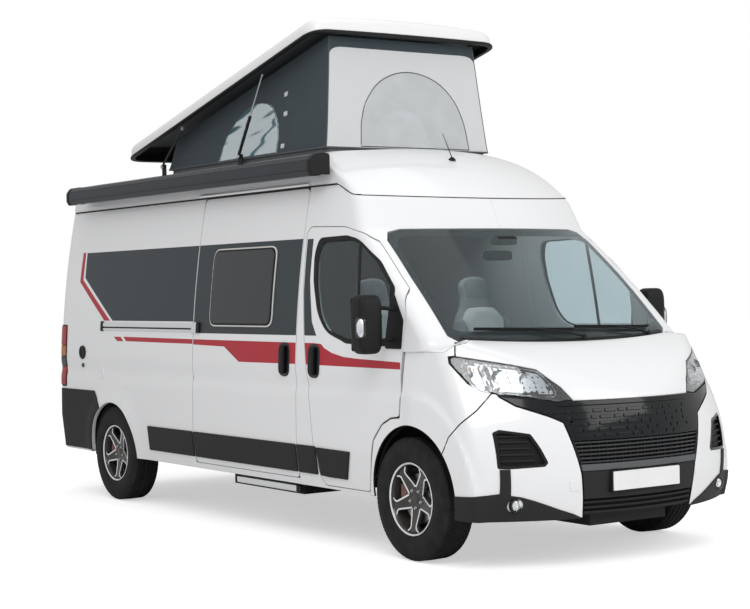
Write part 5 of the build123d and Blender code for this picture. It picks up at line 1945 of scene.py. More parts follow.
@dataclass
class FrontEnd:
    """Bonnet, fenders, bumper, grille, headlamps, fog lamps and number plate."""

    flare_out: float = 0.024
    flare_wide: float = 0.205
    skin_thick: float = 0.013
    gap: float = 0.0025
    lamp: tuple = (
        (0.452, 0.976), (0.503, 1.045), (0.545, 1.085), (0.600, 1.146), (0.725, 1.179), (0.850, 1.207),
        (0.944, 1.228), (0.970, 1.225), (0.976, 1.190), (0.958, 1.140), (0.935, 1.080), (0.895, 1.038),
        (0.828, 1.017), (0.700, 0.996), (0.540, 0.964),
    )
    lamp_radii: tuple[float, ...] = (
        0.01, 0.1, 0.1, 0.04, 0.2, 0.2, 0.02, 0.02, 0.05, 0.2, 0.1, 0.05, 0.1, 0.1, 0.03,
    )
    lamp_gap: float = 0.003
    chambers: tuple = (
        ((0.918, 1.179), (0.868, 1.173), (0.862, 1.044), (0.898, 1.048), (0.924, 1.123)),
        ((0.848, 1.169), (0.728, 1.152), (0.600, 1.125), (0.556, 1.044), (0.548, 1.011), (0.820, 1.038)),
    )
    bowls: tuple = ((0.775, 1.103, 0.044), (0.655, 1.082, 0.040), (0.893, 1.112, 0.022))
    mask_edge: tuple = (
        (0.825, 1.003), (0.760, 0.950), (0.600, 0.885), (0.531, 0.850), (0.470, 0.640), (0.447, 0.556),
        (0.430, 0.416), (0.420, 0.300),
    )
    vent: tuple = (
        (0.900, 0.800), (0.868, 0.815), (0.721, 0.788), (0.680, 0.711), (0.643, 0.625), (0.660, 0.606),
        (0.839, 0.598), (0.898, 0.600),
    )
    skirt: tuple = (
        (0.435, 0.300), (0.480, 0.322), (0.563, 0.352), (0.700, 0.407), (0.780, 0.434), (0.832, 0.444),
        (0.838, 0.594), (0.890, 0.594), (0.888, 0.456), (0.950, 0.448),
    )
    seam: tuple = ((-0.274, 1.0185), (-0.158, 0.9240), (-0.058, 0.8620), (0.092, 0.7700))
    fender_top: tuple = ((0.984, 1.256), (0.930, 1.296), (0.801, 1.322))
    slots: tuple = (
        (0.908, (0.075, 0.045, 0.110, 0.060)), (0.872, (0.050, 0.095, 0.040, 0.080)),
        (0.836, (0.090, 0.055, 0.120, 0.040)), (0.800, (0.045, 0.080, 0.060, 0.105)),
        (0.766, (0.100, 0.050, 0.070)),
    )
    slat_top: float = 0.742
    slat_foot: float = 0.604
    strip_foot: float = 0.566
    panel_foot: float = 0.404
    intake_slats: tuple[float, ...] = (0.322, 0.352, 0.382)
    fins: tuple[float, ...] = (0.640, 0.676, 0.712, 0.748, 0.780)
    fog: tuple[float, float] = (0.807, 0.386)
    fog_hole: float = 0.040
    fender_foot: float = 0.357
    bumper_foot: float = 0.297
    fender_seam: float = 0.6705
    bumper_seam: float = 0.6685
    light_bar: tuple = (
        (0.556, 1.004), (0.700, 1.017), (0.815, 1.031), (0.815, 1.040), (0.700, 1.028), (0.560, 1.016),
    )
    light_blade: tuple = ((0.560, 1.062), (0.640, 1.030), (0.700, 1.040), (0.620, 1.050))
    amber: tuple = ((0.872, 1.166), (0.912, 1.172), (0.914, 1.150), (0.874, 1.144))
    plate_half: float = 0.260
    plate_z: tuple[float, float] = (0.445, 0.555)
    plate_y: float = -3.010

    def bulge(self, p: Array) -> Array:
        """Raised flare round the front wheel: flat within its width, then stepping down to the skin.

        Args:
            p: Points, X, Y and Z in the last axis.

        Returns:
            The points, moved out.
        """
        aft, z = p[..., 1] - AXLE_Y, p[..., 2]
        away = np.hypot(aft - FRONT_ARCH.aft, z - FRONT_ARCH.z) - FRONT_ARCH.radius
        height = self.flare_out * (1 - smooth_step(away, self.flare_wide - 0.030, self.flare_wide + 0.012))
        height *= 1 - 0.7 * smooth_step(aft, -0.08, 0.06)
        height *= smooth_step(np.abs(p[..., 0]), 0.72, 0.86)
        way = np.stack([p[..., 0] + 0.55 * np.where(p[..., 0] < 0, 1, -1), np.minimum(aft, 0), 0 * z], -1)
        return p + way / (np.linalg.norm(way, axis=-1)[..., None] + 1e-9) * height[..., None]

    def side_face(self, s: Array, z: Array) -> Array:
        """Right side and corner of the nose, with its flare."""
        return self.bulge(NOSE.point(s, z))

    def face(self, x: Array, z: Array) -> Array:
        """Front of the nose by X and height, with its flare."""
        return self.bulge(NOSE.front(x, z))

    def arch(self, start: float, stop: float) -> Array:
        """Wheel arch from one angle to another, in (s, z)."""
        ring = circle(FRONT_ARCH[:2], FRONT_ARCH.radius, 30, start, stop)
        return np.stack([NOSE.s_from_y(station(ring[:, 0]), ring[:, 1]), ring[:, 1]], 1)

    def arch_angle(self, z: float) -> float:
        """Angle below the wheel's centre at which the arch is at a height."""
        return math.asin((FRONT_ARCH.z - z) / FRONT_ARCH.radius)

    def fender(self) -> Form:
        """Right fender: between door, bonnet, headlamp, bumper seam and wheel arch.

        Returns:
            The form.
        """
        door = [(0.432, 0.357), (0.387, 0.595), (0.359, 0.705), (0.262, 0.806), (0.168, 0.847),
                (0.078, 0.857), (0.0465, 1.2565)]
        top = [*self.fender_top[:2], (0.9465, 1.2335), (0.974, 1.230), (0.981, 1.190), (0.963, 1.138),
               (0.940, 1.076), (0.911, 1.0495)]
        low = self.arch_angle(self.fender_foot)
        high = -self.arch_angle(self.fender_seam)
        foot = [(0.911, 1.0495), (0.894, 1.0345), (0.853, 1.0215)]
        outline = np.concatenate([NOSE.from_side(door, 0.02, False), NOSE.from_front(top, 0.02, False),
                                  NOSE.from_front(foot, 0.02, False), np.array(self.seam) + [0, 0.0012],
                                  self.arch(math.pi - high, -low)])
        outline = resampled(outline, 0.02)
        return skin(self.side_face, outline, WHITE, step=0.02, thick=self.skin_thick, inner=CHASSIS)

    def shoulder(self) -> Form:
        """Right ledge between the fender's top and the windshield post.

        Each row runs straight from a point of the fender's top edge to one of the post's foot, and
        rises between them by half a sine.

        Returns:
            The form.
        """
        fore = NOSE.from_side([(0.0465, 1.2545), (-0.325, 1.2545)], 0.02, False)
        fore = np.concatenate([fore, NOSE.from_front(np.array(self.fender_top) - [0, 0.0015], 0.01, False)])
        fore = self.side_face(*resampled(fore, 0.012, closed=False).T)
        back = BODY.from_side([(0.052, 1.2600), (-0.223, 1.2600)], 0.02, False)
        back = np.concatenate([back, BODY.from_front([(0.948, 1.2610), (0.822, 1.3085)], 0.01, False)])
        back = BODY.point(*resampled(back, 0.012, closed=False).T)
        share = np.linspace(0, 1, 40)
        ends = [np.stack([np.interp(share, np.linspace(0, 1, len(line)), line[:, k]) for k in range(3)], 1)
                for line in (fore, back)]
        row = np.linspace(0, 1, 10)[:, None, None]
        points = ends[0] * (1 - row) + ends[1] * row
        points[..., 2] += 0.006 * np.sin(np.pi * row[..., 0])
        return Form().grid(points, WHITE)

    def bumper(self) -> Form:
        """Right half of the painted bumper, round vent and fog lamp openings.

        Returns:
            The form.
        """
        inner = [(x + 0.003, z - 0.003) for x, z in self.mask_edge]
        foot = [(0.650, 0.300), (0.950, 0.297)]
        low = self.arch_angle(self.bumper_foot)
        high = -self.arch_angle(self.bumper_seam)
        outline = np.concatenate([NOSE.from_front([(0.848, 1.0180), (0.829, 1.0120), *inner, *foot],
                                                  0.02, False),
                                  self.arch(math.pi + low, math.pi - high), np.array(self.seam)[::-1]])
        outline = resampled(outline, 0.02)
        vent = NOSE.from_front(rounded(self.vent, 0.012))
        return skin(self.side_face, outline, WHITE, [vent], step=0.02, thick=self.skin_thick, inner=CHASSIS)

    def bonnet(self) -> Form:
        """Bonnet over its full width, by X and height.

        Returns:
            The form.
        """
        side = [(0.448, 0.968), (0.499, 1.048), (0.541, 1.0885), (0.597, 1.1500), (0.724, 1.1830),
                (0.849, 1.2110), (0.9425, 1.2325), (0.9270, 1.2945), (0.801, 1.3205)]
        x = np.linspace(0.77, 0, 12)
        rear = np.stack([x, 1.2925 + 0.046 * x**2], 1)
        half = np.concatenate([side, rear])
        whole = np.concatenate([half[:-1], (half * [-1, 1])[::-1]])
        return skin(NOSE.front, whole, WHITE, step=0.02, thick=0.012, inner=INNER_WHITE)

    def gutter(self) -> Form:
        """Sunk ledge under the right edge of the bonnet."""
        edge = [(0.790, 1.196), (0.948, 1.234), (0.930, 1.2955), (0.790, 1.323)]
        return skin(NOSE.front, resampled(np.array(edge), 0.02), WHITE, step=0.03, thick=0.028, proud=-0.018)

    def half_to_whole(self, half: Sequence) -> Array:
        """Outline from a right half that starts and ends off the centre line, mirrored and joined."""
        p = np.asarray(half, float)
        return np.concatenate([p, (p * [-1, 1])[::-1]])

    def edge_x(self, z: float) -> float:
        """X of the mask's edge at a height."""
        line = np.array(self.mask_edge)[::-1]
        return float(np.interp(z, line[:, 1], line[:, 0]))

    def strip(self, low: float, high: float, inset: float = 0.004) -> Array:
        """Full-width band of the mask between two heights."""
        zs = np.linspace(high, low, 5)
        return self.half_to_whole([(self.edge_x(z) - inset, z) for z in zs])

    def slot_blocks(self) -> Form:
        """Rows of staggered gloss blocks in the upper grille, each row filled from edge to edge.

        Returns:
            The form.
        """
        form = Form()
        margin, pause, half = 0.030, 0.016, 0.010
        for z, wides in self.slots:
            x = -self.edge_x(z) + margin
            for wide in wides * 3:
                if x + wide > self.edge_x(z) - margin:
                    break
                low, high = z - half, z + half
                block = [(x, low), (x + wide, low), (x + wide - 0.005, high), (x + 0.004, high)]
                form.join(skin(NOSE.front, rounded(block, 0.004, 4), BLACK_GLOSS, step=0.02, thick=0.0,
                               proud=0.006))
                x += wide + pause
        return form

    def bands(self, rows: Iterable[tuple]) -> Form:
        """Full-width bands of the mask.

        Args:
            rows: Foot, top, inset, finish, thickness, height above the face and rim radius of each.

        Returns:
            The form.
        """
        form = Form()
        for foot, top, inset, finish, thick, proud, roll in rows:
            band = self.strip(foot, top, inset)
            form.join(skin(NOSE.front, band, finish, step=0.03, thick=thick, proud=proud, roll=roll))
        return form

    def mask(self) -> Form:
        """Grille panel: gloss upper part with slot blocks, slats, strip, number panel and intake.

        Returns:
            The form.
        """
        foot, top = self.slat_foot, self.slat_top
        upper = [(0.450, 0.964), (0.540, 0.958), (0.700, 0.986), (0.820, 1.001), (0.760, 0.952),
                 (0.600, 0.888), (0.530, 0.850), (self.edge_x(top) - 0.002, top)]
        form = skin(NOSE.front, self.half_to_whole(upper), BLACK_GLOSS, step=0.03, thick=0.02)
        lip = self.half_to_whole([(0.448, 0.966), (0.540, 0.957), (0.545, 0.938), (0.470, 0.938)])
        form.join(skin(NOSE.front, lip, BLACK_GLOSS, step=0.03, thick=0.0, proud=0.009, roll=0.004))
        form.join(self.slot_blocks(), self.bands([(foot, top + 0.004, -0.010, TRIM, 0.06, -0.045, 0.003)]))
        slats = np.linspace(foot + 0.012, top - 0.012, 6)
        form.join(self.bands((z - 0.005, z + 0.005, 0.006, SLAT_GREY, 0.022, -0.006, 0.003) for z in slats))
        low, high = self.edge_x(foot), self.edge_x(top)
        cheek = np.array([(low - 0.001, foot), (high - 0.001, top), (high - 0.014, top), (low - 0.014, foot)])
        for sign in (1, -1):
            form.join(skin(NOSE.front, cheek * [sign, 1], TRIM, step=0.03, thick=0.055, proud=-0.0015))
        for x in np.linspace(-0.44, 0.44, 17):
            rib = box(x - 0.003, x + 0.003, foot, top)
            form.join(skin(NOSE.front, rib, TRIM, step=0.05, thick=0.03, proud=-0.012))
        form.join(self.bands([
            (self.strip_foot, foot, 0.006, GREY_TRIM, 0.03, 0.004, 0.006),
            (self.panel_foot, self.strip_foot - 0.003, 0.004, CLADDING, 0.02, 0.0, 0.003),
            (0.300, self.panel_foot - 0.002, 0.004, TRIM, 0.05, -0.03, 0.003),
        ]))
        return form.join(self.bands((z - 0.006, z + 0.006, 0.004, CLADDING, 0.03, -0.006, 0.003)
                                    for z in self.intake_slats))

    def trims(self) -> Form:
        """Left vent, skirt and towing cover.

        Returns:
            The form.
        """
        vent = rounded(self.vent, 0.012)
        form = skin(self.face, grown(vent, 0.004), TRIM, step=0.03, thick=0.04, proud=-0.022)
        for z in self.fins:
            start = 0.712 if z < 0.7 else 0.735
            form.join(skin(self.face, box(start, 0.888, z - 0.005, z + 0.005), CLADDING,
                           step=0.03, thick=0.02, proud=-0.008))
        hole = resampled(grown(vent, -0.014), 0.03)
        form.join(skin(self.face, grown(vent, 0.001), BLACK_GLOSS, [hole], step=0.02, thick=0.012,
                       proud=0.002, roll=0.002))
        lamp_hole = NOSE.from_front(circle(self.fog, self.fog_hole, 24))
        foot = NOSE.from_front([(0.950, 0.2925), (0.435, 0.2925)], 0.02, False)
        skirt = NOSE.from_front(self.skirt, 0.02, False)
        edge = resampled(np.concatenate([skirt, self.arch(math.pi - 0.070, math.pi + 0.266), foot]), 0.02)
        form.join(skin(self.side_face, edge, CLADDING, [lamp_hole], step=0.02, thick=0.004, proud=0.007))
        cover = rounded([(0.455, 0.455), (0.515, 0.455), (0.520, 0.520), (0.462, 0.520)], 0.006)
        return form.join(skin(self.face, cover, WHITE, step=0.03, thick=0.001, proud=0.0035, roll=0.002))

    def fog_lamp(self) -> Form:
        """Fog lamp: bezel, bowl and lens turned about the forward axis.

        Returns:
            The form.
        """
        centre = NOSE.front(*np.array(self.fog))
        bezel = [(0.0, 0.030), (-0.016, 0.031), (-0.018, 0.034), (-0.012, 0.042), (0.002, 0.043)]
        form = Form().lathe(bezel, BLACK_GLOSS, 1, centre, 32)
        form.lathe([(0.03, 0.0), (0.026, 0.014), (0.0, 0.030), (-0.010, 0.0305)], CHROME, 1, centre, 32)
        return form.lathe([(-0.010, 0.030), (-0.014, 0.024), (-0.017, 0.012), (-0.018, 0.0)], LENS,
                          1, centre, 32)

    def lamp_edge(self) -> Array:
        """Outline of the headlamp in (x, z), with its corners rounded."""
        return resampled(grown(rounded(self.lamp, self.lamp_radii), -self.lamp_gap), 0.02)

    def headlamp(self) -> Form:
        """Left headlamp: dark body, chambers with reflector bowls, light bar, blade and indicator.

        Returns:
            The form.
        """
        edge = self.lamp_edge()
        wells = [resampled(rounded(chamber, 0.012, 5), 0.02) for chamber in self.chambers]
        form = skin(NOSE.front, edge, TRIM, step=0.03, thick=0.010, proud=-0.075)
        form.join(skin(NOSE.front, edge, BLACK_GLOSS, wells, step=0.02, thick=0.055, proud=-0.010,
                       roll=0.003))
        for well in wells:
            form.join(skin(NOSE.front, grown(well, 0.003), LAMP_SILVER, step=0.02, thick=0.010, proud=-0.046))
        for x, z, r in self.bowls:
            centre = NOSE.front(np.array(x), np.array(z)) + [0, 0.040, 0]
            bowl = [(0.016, 0.002), (0.013, r * 0.5), (-0.001, r * 0.85), (-0.015, r), (-0.018, r + 0.003),
                    (-0.014, r + 0.005), (0.012, r + 0.005)]
            bulb = [(0.014, 0.0), (-0.006, 0.0), (-0.011, r * 0.22), (-0.004, r * 0.38), (0.013, r * 0.42)]
            form.lathe(bowl, LAMP_SILVER, 1, centre, 36).lathe(bulb, BULB, 1, centre, 30)
        for outline, finish, thick, proud in ((self.light_bar, BULB, 0.020, -0.014),
                                              (self.light_blade, SLAT_GREY, 0.014, -0.024),
                                              (self.amber, AMBER_LENS, 0.010, -0.028)):
            form.join(skin(NOSE.front, np.array(outline), finish, step=0.03, thick=thick, proud=proud))
        return form

    def lens(self) -> Form:
        """Clear outer lens of the left headlamp."""
        return skin(NOSE.front, self.lamp_edge(), LENS, step=0.02, thick=0.003, proud=0.0015, roll=0.001)

    def plate(self) -> Form:
        """Blank number plate on its holder.

        Returns:
            The form.
        """
        low, high = self.plate_z
        base = box(-self.plate_half, self.plate_half, low, high, 0.008)

        def stand(flat: Array, height: Array) -> Array:
            """Upright plane in front of the panel."""
            return np.stack([flat[:, 0], self.plate_y + 0.008 - height, flat[:, 1]], 1)

        form = Form().slab(base, 0.002, 0.008, stand, PLATE_WHITE, 0.001)
        holder = box(-0.27, 0.27, low - 0.012, high + 0.008, 0.012)
        return form.slab(holder, -0.03, 0.002, stand, TRIM, 0.003)

    def build(self) -> None:
        """Make the nose."""
        for side in Side:
            word, body = side.value, "body"
            fender = self.fender().join(self.shoulder(), self.gutter().mirrored())
            side.of(fender).build(f"fender_{word}", body, "white_paint", ["fenders"])
            side.of(self.bumper()).build(f"bumper_{word}", body, "white_paint", ["front_bumper"])
            side.from_left(self.trims()).build(f"bumper_trims_{word}", body, "black_plastic")
            side.from_left(self.fog_lamp()).build(f"fog_lamp_{word}", body, "lamp")
            side.from_left(self.headlamp()).build(f"headlamp_{word}", body, "lamp", ["headlamps"])
            side.from_left(self.lens()).build(f"headlamp_lens_{word}", body, "lamp")
        self.bonnet().build("bonnet_skin", "bonnet", "white_paint", ["bonnet"])
        self.mask().build("grille_panel", "body", "gloss_black", ["front_mask"])
        self.plate().build("front_plate", "body", "plate", ["number_plate"])


class Axle(Enum):
    """Axle: its word in the node names, and the X and Y of its right wheel's centre."""

    FRONT = ("front", -0.905, -2.040)
    REAR = ("rear", -0.895, 1.995)


@dataclass
class Wheel:
    """Tyre, five-spoke rim, brake disc and caliper of one wheel."""

    axle: Axle
    side: Side
    height: float = 0.372
    half: float = 0.1125
    rim_r: float = 0.220
    grooves: tuple[float, ...] = (-0.056, -0.019, 0.019, 0.056)
    groove_half: float = 0.0042
    groove_deep: float = 0.0062
    sipe_deep: float = 0.0045
    tread_pitch: int = 88
    dish: float = 0.060
    spokes: int = 5
    cut_wide: float = 0.0095
    spoke_edge: tuple = (
        (0.0590, 0.0428), (0.0680, 0.0436), (0.0900, 0.0402), (0.1162, 0.0363), (0.1400, 0.0328),
        (0.1600, 0.0298), (0.1680, 0.0298), (0.1745, 0.0336), (0.1830, 0.0440), (0.1900, 0.0560),
    )

    def tyre(self) -> Form:
        """Tyre: the section goes bead, side, shoulder, tread, and is turned; grooves lower the tread.

        Four grooves run round. Sipes cut the shoulders and the two middle ribs at a slant, where the
        sine of angle and width together is high. Small ridges stand round the middle of each wall.

        Returns:
            The form.
        """
        h, r, top = self.half, self.rim_r, self.height
        side_line = [(h - 0.030, r + 0.002), (h - 0.022, r - 0.004), (h - 0.014, r + 0.004),
                     (h - 0.006, r + 0.016), (h - 0.001, r + 0.040), (h, r + 0.062), (h - 0.001, r + 0.090),
                     (h - 0.005, r + 0.112), (h - 0.011, r + 0.130), (h - 0.019, top - 0.006),
                     (h - 0.028, top - 0.0015)]
        across = np.linspace(h - 0.030, -h + 0.030, 43)
        tread = np.stack([across, top - 0.004 * (across / h) ** 2], 1)
        line = np.concatenate([side_line, tread, (np.array(side_line) * [-1, 1])[::-1]])
        angle = np.linspace(0, TURN, self.tread_pitch * 5, endpoint=False)[:, None]
        x, radius = line[None, :, 0], line[None, :, 1]
        grooves = sum(np.exp(-(((x - c) / self.groove_half) ** 4)) for c in self.grooves)
        slant = np.sin(angle * self.tread_pitch + np.abs(x) * 120)
        blocks = smooth_step(slant, 0.62, 0.85) * (np.abs(x) < h - 0.004) * (radius > r + 0.118)
        rib = (np.abs(x) > 0.063) | ((np.abs(x) > 0.024) & (np.abs(x) < 0.050))
        deep = self.groove_deep
        depth = np.minimum(deep * grooves * (radius > top - 0.01) + self.sipe_deep * blocks * rib, deep)
        ring = np.exp(-(((radius - r - 0.088) / 0.004) ** 4))
        ridges = 0.0006 * smooth_step(np.sin(angle * 40), 0.0, 0.4) * ring
        radius = radius - depth
        points = np.stack([x + ridges * np.sign(x) + 0 * angle, radius * np.cos(angle),
                           radius * np.sin(angle)], -1)
        return Form().grid(points, TYRE, close_u=True, close_v=True)

    def barrel(self) -> Form:
        """Rim barrel turned from its section, with a bright outer lip.

        Returns:
            The form.
        """
        h, r = self.half, self.rim_r
        section = [(-h + 0.012, r + 0.001), (-h + 0.010, r - 0.006), (-h + 0.020, r - 0.014),
                   (-h + 0.046, r - 0.028), (0.02, r - 0.034), (h - 0.02, r - 0.026),
                   (h - 0.010, r - 0.004), (h - 0.012, r + 0.001), (h - 0.020, r - 0.001),
                   (h - 0.030, r - 0.014), (0.02, r - 0.024), (-h + 0.05, r - 0.018),
                   (-h + 0.026, r - 0.004), (-h + 0.020, r + 0.001)]
        form = Form().lathe(section + section[:1], ALLOY_BLACK, 0, turns=72)
        lip = [(-h + 0.0115, r + 0.0005), (-h + 0.0085, r - 0.003), (-h + 0.0115, r - 0.0085),
               (-h + 0.0145, r - 0.011)]
        return form.lathe(lip, ALLOY_CUT, 0, turns=72)

    def face_x(self, radius: Array) -> Array:
        """Depth of the spokes' face from the wheel's middle: dished in towards the hub."""
        return -self.dish - 0.026 * smooth_step(radius, 0.045, 0.205)

    def spoke_leg(self, angle: float, outline: Sequence, low: float, high: float, finish: Finish,
                  roll: float) -> Form:
        """Plate on the dished face, from a plane outline of (radial, tangential) turned by an angle.

        Args:
            angle: Turn about the axle.
            outline: Loop of (radial, tangential).
            low: Underside height.
            high: Top height.
            finish: Finish.
            roll: Rim radius.

        Returns:
            The form.
        """
        cosine, sine = math.cos(angle), math.sin(angle)

        def place(flat: Array, height: Array) -> Array:
            """Plane point turned about the axle, its depth by the face.

            Args:
                flat: Plane points.
                height: Heights above the plane.

            Returns:
                Points, one row each.
            """
            y = flat[:, 0] * cosine - flat[:, 1] * sine
            z = flat[:, 0] * sine + flat[:, 1] * cosine
            return np.stack([self.face_x(np.hypot(y, z)) - height, y, z], 1)

        return Form().slab(rounded(outline, 0.003, 4), low, high, place, finish, roll, step=0.012)

    def rim(self) -> Form:
        """Barrel, hub, five waisted spokes whose edges are cut bright, bolts, cap and brake disc.

        Returns:
            The form.
        """
        form = self.barrel()
        edge = np.array(self.spoke_edge)
        away = np.gradient(edge, axis=0)[:, ::-1] * [1, -1]
        inner = edge + away / np.linalg.norm(away, axis=1)[:, None] * self.cut_wide
        band = np.concatenate([edge, inner[::-1]])
        spoke = np.concatenate([[(0.020, 0.0)], edge, [(0.205, 0.0)], (edge * [1, -1])[::-1]])
        for number in range(self.spokes):
            angle = -math.pi / 2 + TURN * number / self.spokes
            form.join(self.spoke_leg(angle, spoke, -0.026, 0.0, ALLOY_BLACK, 0.004))
            for sign in (1, -1):
                form.join(self.spoke_leg(angle, band * [1, sign], -0.003, 0.0013, ALLOY_CUT, 0.0006))
            centre = (-self.dish - 0.002, 0.056 * math.cos(angle), 0.056 * math.sin(angle))
            form.lathe([(0.0, 0.011), (-0.004, 0.011), (-0.004, 0.0085), (-0.011, 0.008),
                        (-0.013, 0.0)], STEEL, 0,
                       centre, 6)
        hub = [(0.020, 0.060), (-self.dish + 0.004, 0.062), (-self.dish - 0.001, 0.058),
               (-self.dish - 0.001, 0.032), (-self.dish - 0.004, 0.030), (-self.dish - 0.006, 0.026),
               (-self.dish - 0.007, 0.0)]
        form.lathe(hub, ALLOY_BLACK, 0, turns=60)
        disc = [(-0.034, 0.072), (-0.035, 0.080), (-0.035, 0.149), (-0.033, 0.150), (-0.013, 0.150),
                (-0.011, 0.149), (-0.011, 0.066)]
        return form.lathe(disc, DISC, 0, turns=60)

    def caliper(self) -> Form:
        """Outer plate and lugs of the caliper, behind the spokes.

        Returns:
            The form.
        """
        inner, outer, wide = 0.096, 0.170, math.radians(30)
        ring = np.concatenate([circle((0, 0), outer, 12, -wide, wide),
                               circle((0, 0), inner, 10, wide, -wide)])

        def place(flat: Array, height: Array) -> Array:
            """Plane across the axle, ahead or behind it."""
            return np.stack([-height, flat[:, 0], flat[:, 1]], 1)

        form = Form().slab(ring, 0.0375, 0.0515, place, CALIPER, 0.004, step=0.02)
        pad = box(0.110, 0.160, -0.045, 0.045, 0.012)
        return form.slab(pad, 0.050, 0.0545, place, CALIPER, 0.003, step=0.02)

    def build(self) -> None:
        """Make the wheel's pieces, each on the body that carries it."""
        word, x, y = self.axle.value
        name = f"{word}_{self.side.value}"
        place = Matrix.Translation((x, y, self.height))
        of = self.side.of
        of(self.tyre().turned(place)).build(f"road_tyre_{name}", f"wheel_{name}", "tyre",
                                            [f"tyre_{name}"], 40, True)
        of(self.rim().turned(place)).build(f"alloy_rim_{name}", f"wheel_{name}", "alloy", [f"rim_{name}"])
        holder = f"knuckle_{self.side.value}" if self.axle is Axle.FRONT else "body"
        of(self.caliper().turned(place)).build(f"caliper_cover_{name}", holder, "cast")


class TentWall(Enum):
    """Wall of the tent."""

    FRONT = "front"
    REAR = "rear"
    SIDE = "side"


@dataclass
class LiftingRoof:
    """Raised roof lid, its tent, arms, gas struts and the rim they close on."""

    pin: tuple[float, float] = (3.262, 2.880)
    tray_pin: tuple[float, float] = (1.993, -0.020)
    tilt: float = math.radians(13.2)
    length: float = 2.897
    half: float = 0.780
    corner: float = 0.140
    edge: float = 0.055
    skirt: float = 0.105
    crown: float = 0.038
    wall: float = 0.022
    tent_front: float = 1.345
    tent_rear: float = 3.600
    tent_half: float = 0.690
    tent_foot: float = 2.586
    narrowing: float = 0.080
    lean: float = 0.060
    tuck: float = 0.030
    hem: float = 0.006
    joint: str = "lift_arm"
    fold_z: float = 2.584
    fold_keep: float = 0.02
    arm_x: float = 0.745
    arm_foot: tuple[float, float] = (3.610, 2.612)
    strut_foot: tuple[float, float, float] = (-0.728, 2.450, 2.606)
    strut_eye: tuple[float, float, float] = (-0.728, 2.090, 3.150)
    window: tuple[float, float, float, float] = (0.205, 0.880, 0.02, 0.715)
    side_window: tuple[float, float, float, float] = (0.286, 0.645, 0.02, 0.74)
    side_net: tuple[float, float, float, float] = (0.296, 0.635, 0.02, 0.68)

    def out(self, p: Array) -> Array:
        """Tray point (aft in the tray, X, height over the lip) turned by the tilt about the pin.

        Args:
            p: Points, X, Y and Z in the last axis.

        Returns:
            Points in the frame of the van.
        """
        a, x, z = p[..., 0] - self.tray_pin[0], p[..., 1], p[..., 2] - self.tray_pin[1]
        cosine, sine = math.cos(self.tilt), math.sin(self.tilt)
        aft = self.pin[0] + a * cosine + z * sine
        return np.stack([x, station(aft), self.pin[1] - a * sine + z * cosine], -1)

    def top(self, x: Array) -> Array:
        """Height of the lid's top over its lip at a distance from the centre line."""
        return self.skirt + self.crown * (1 - (x / self.half) ** 2)

    def lid(self) -> Form:
        """Lid shell: its section is swept round the plan, and a crowned cap closes it on both faces.

        The section runs from the cap over a quarter circle, down the skirt to a dark lip that
        stands out a little, and back up inside.

        Returns:
            The form.
        """
        plan = box(0, self.length, -self.half, self.half, self.corner, 14)
        plan = resampled(plan, 0.05)
        quarter = np.linspace(0, np.pi / 2, 8)
        over = [(self.edge * (1 - math.sin(a)), self.edge * (1 - math.cos(a))) for a in quarter]
        white = [(self.edge * 1.3, 0.0)] + over + [(0.0, 0.080), (-0.001, 0.086)]
        dark = [(-0.001, 0.086), (-0.010, 0.090), (-0.014, 0.098), (-0.012, 0.105), (-0.004, 0.108),
                (self.wall, 0.106), (self.wall, 0.060), (self.edge * 1.3, self.wall)]
        form = Form()
        for section, finish in ((white, LID_WHITE), (dark, TRIM)):
            rings = []
            for inset, drop in section:
                ring = grown(plan, -inset)
                full = self.top(ring[:, 1])
                height = full - drop * (full / self.skirt if drop > 0.06 else 1.0)
                rings.append(np.c_[ring, np.maximum(height, -0.003)])
            form.grid(self.out(np.array(rings)), finish, close_v=True)
        inner = grown(plan, -self.edge * 1.3)
        flat, tris = trimmed(inner, [], 0.08)
        for drop, finish, turn in ((0.0, LID_WHITE, 1), (self.wall, GREY_TRIM, -1)):
            cap = np.c_[flat, self.top(flat[:, 1]) - drop]
            form.add(self.out(cap), tris[:, ::turn], finish)
        return form

    def lip_z(self, aft: Array) -> Array:
        """Height of the lid's lip at a station."""
        return self.pin[1] + (self.pin[0] - aft) * math.tan(self.tilt)

    def wall_point(self, where: TentWall, u: Array, v: Array) -> Array:
        """Place on the tent: u runs along a panel and v up it, from the rim to the lid.

        A panel sags in by the product of the sines of u and v, and fine folds run along it.

        Args:
            where: Wall of the tent.
            u: Way along the panel, 0 to 1.
            v: Way up the panel, 0 to 1.

        Returns:
            Points, X, Y and Z in the last axis.
        """
        sag = np.sin(np.pi * np.clip(u, 0, 1)) * np.sin(np.pi * np.clip(v, 0, 1))
        folds = 0.0035 * np.sin(u * 23 + v * 9) * sag + 0.004 * np.sin(v * 34 + u * 3) * sag * (1 - v)
        inward = 0.022 * sag + folds + self.narrowing * v**0.85
        back = 0.022 * sag + folds + self.lean * v
        front, rear, half = self.tent_front, self.tent_rear, self.tent_half
        if where is not TentWall.SIDE:
            aft = front if where is TentWall.FRONT else rear
            x = (2 * u - 1) * (half - 0.004 - self.narrowing * v**0.85)
            under = aft + (self.lean * v if where is TentWall.FRONT else 0)
            z = self.tent_foot + v * (self.lip_z(under) + self.tuck - self.tent_foot)
            y = station(aft + (back if where is TentWall.FRONT else -back + self.lean * v))
            return np.stack([x, y + 0 * z, z], -1)
        low = front + 0.002 + self.lean * v
        aft = low + u * (rear - 0.002 - low)
        z = self.tent_foot + v * (self.lip_z(aft) + self.tuck - self.tent_foot)
        return np.stack([-(half - inward) + 0 * z, station(aft), z], -1)

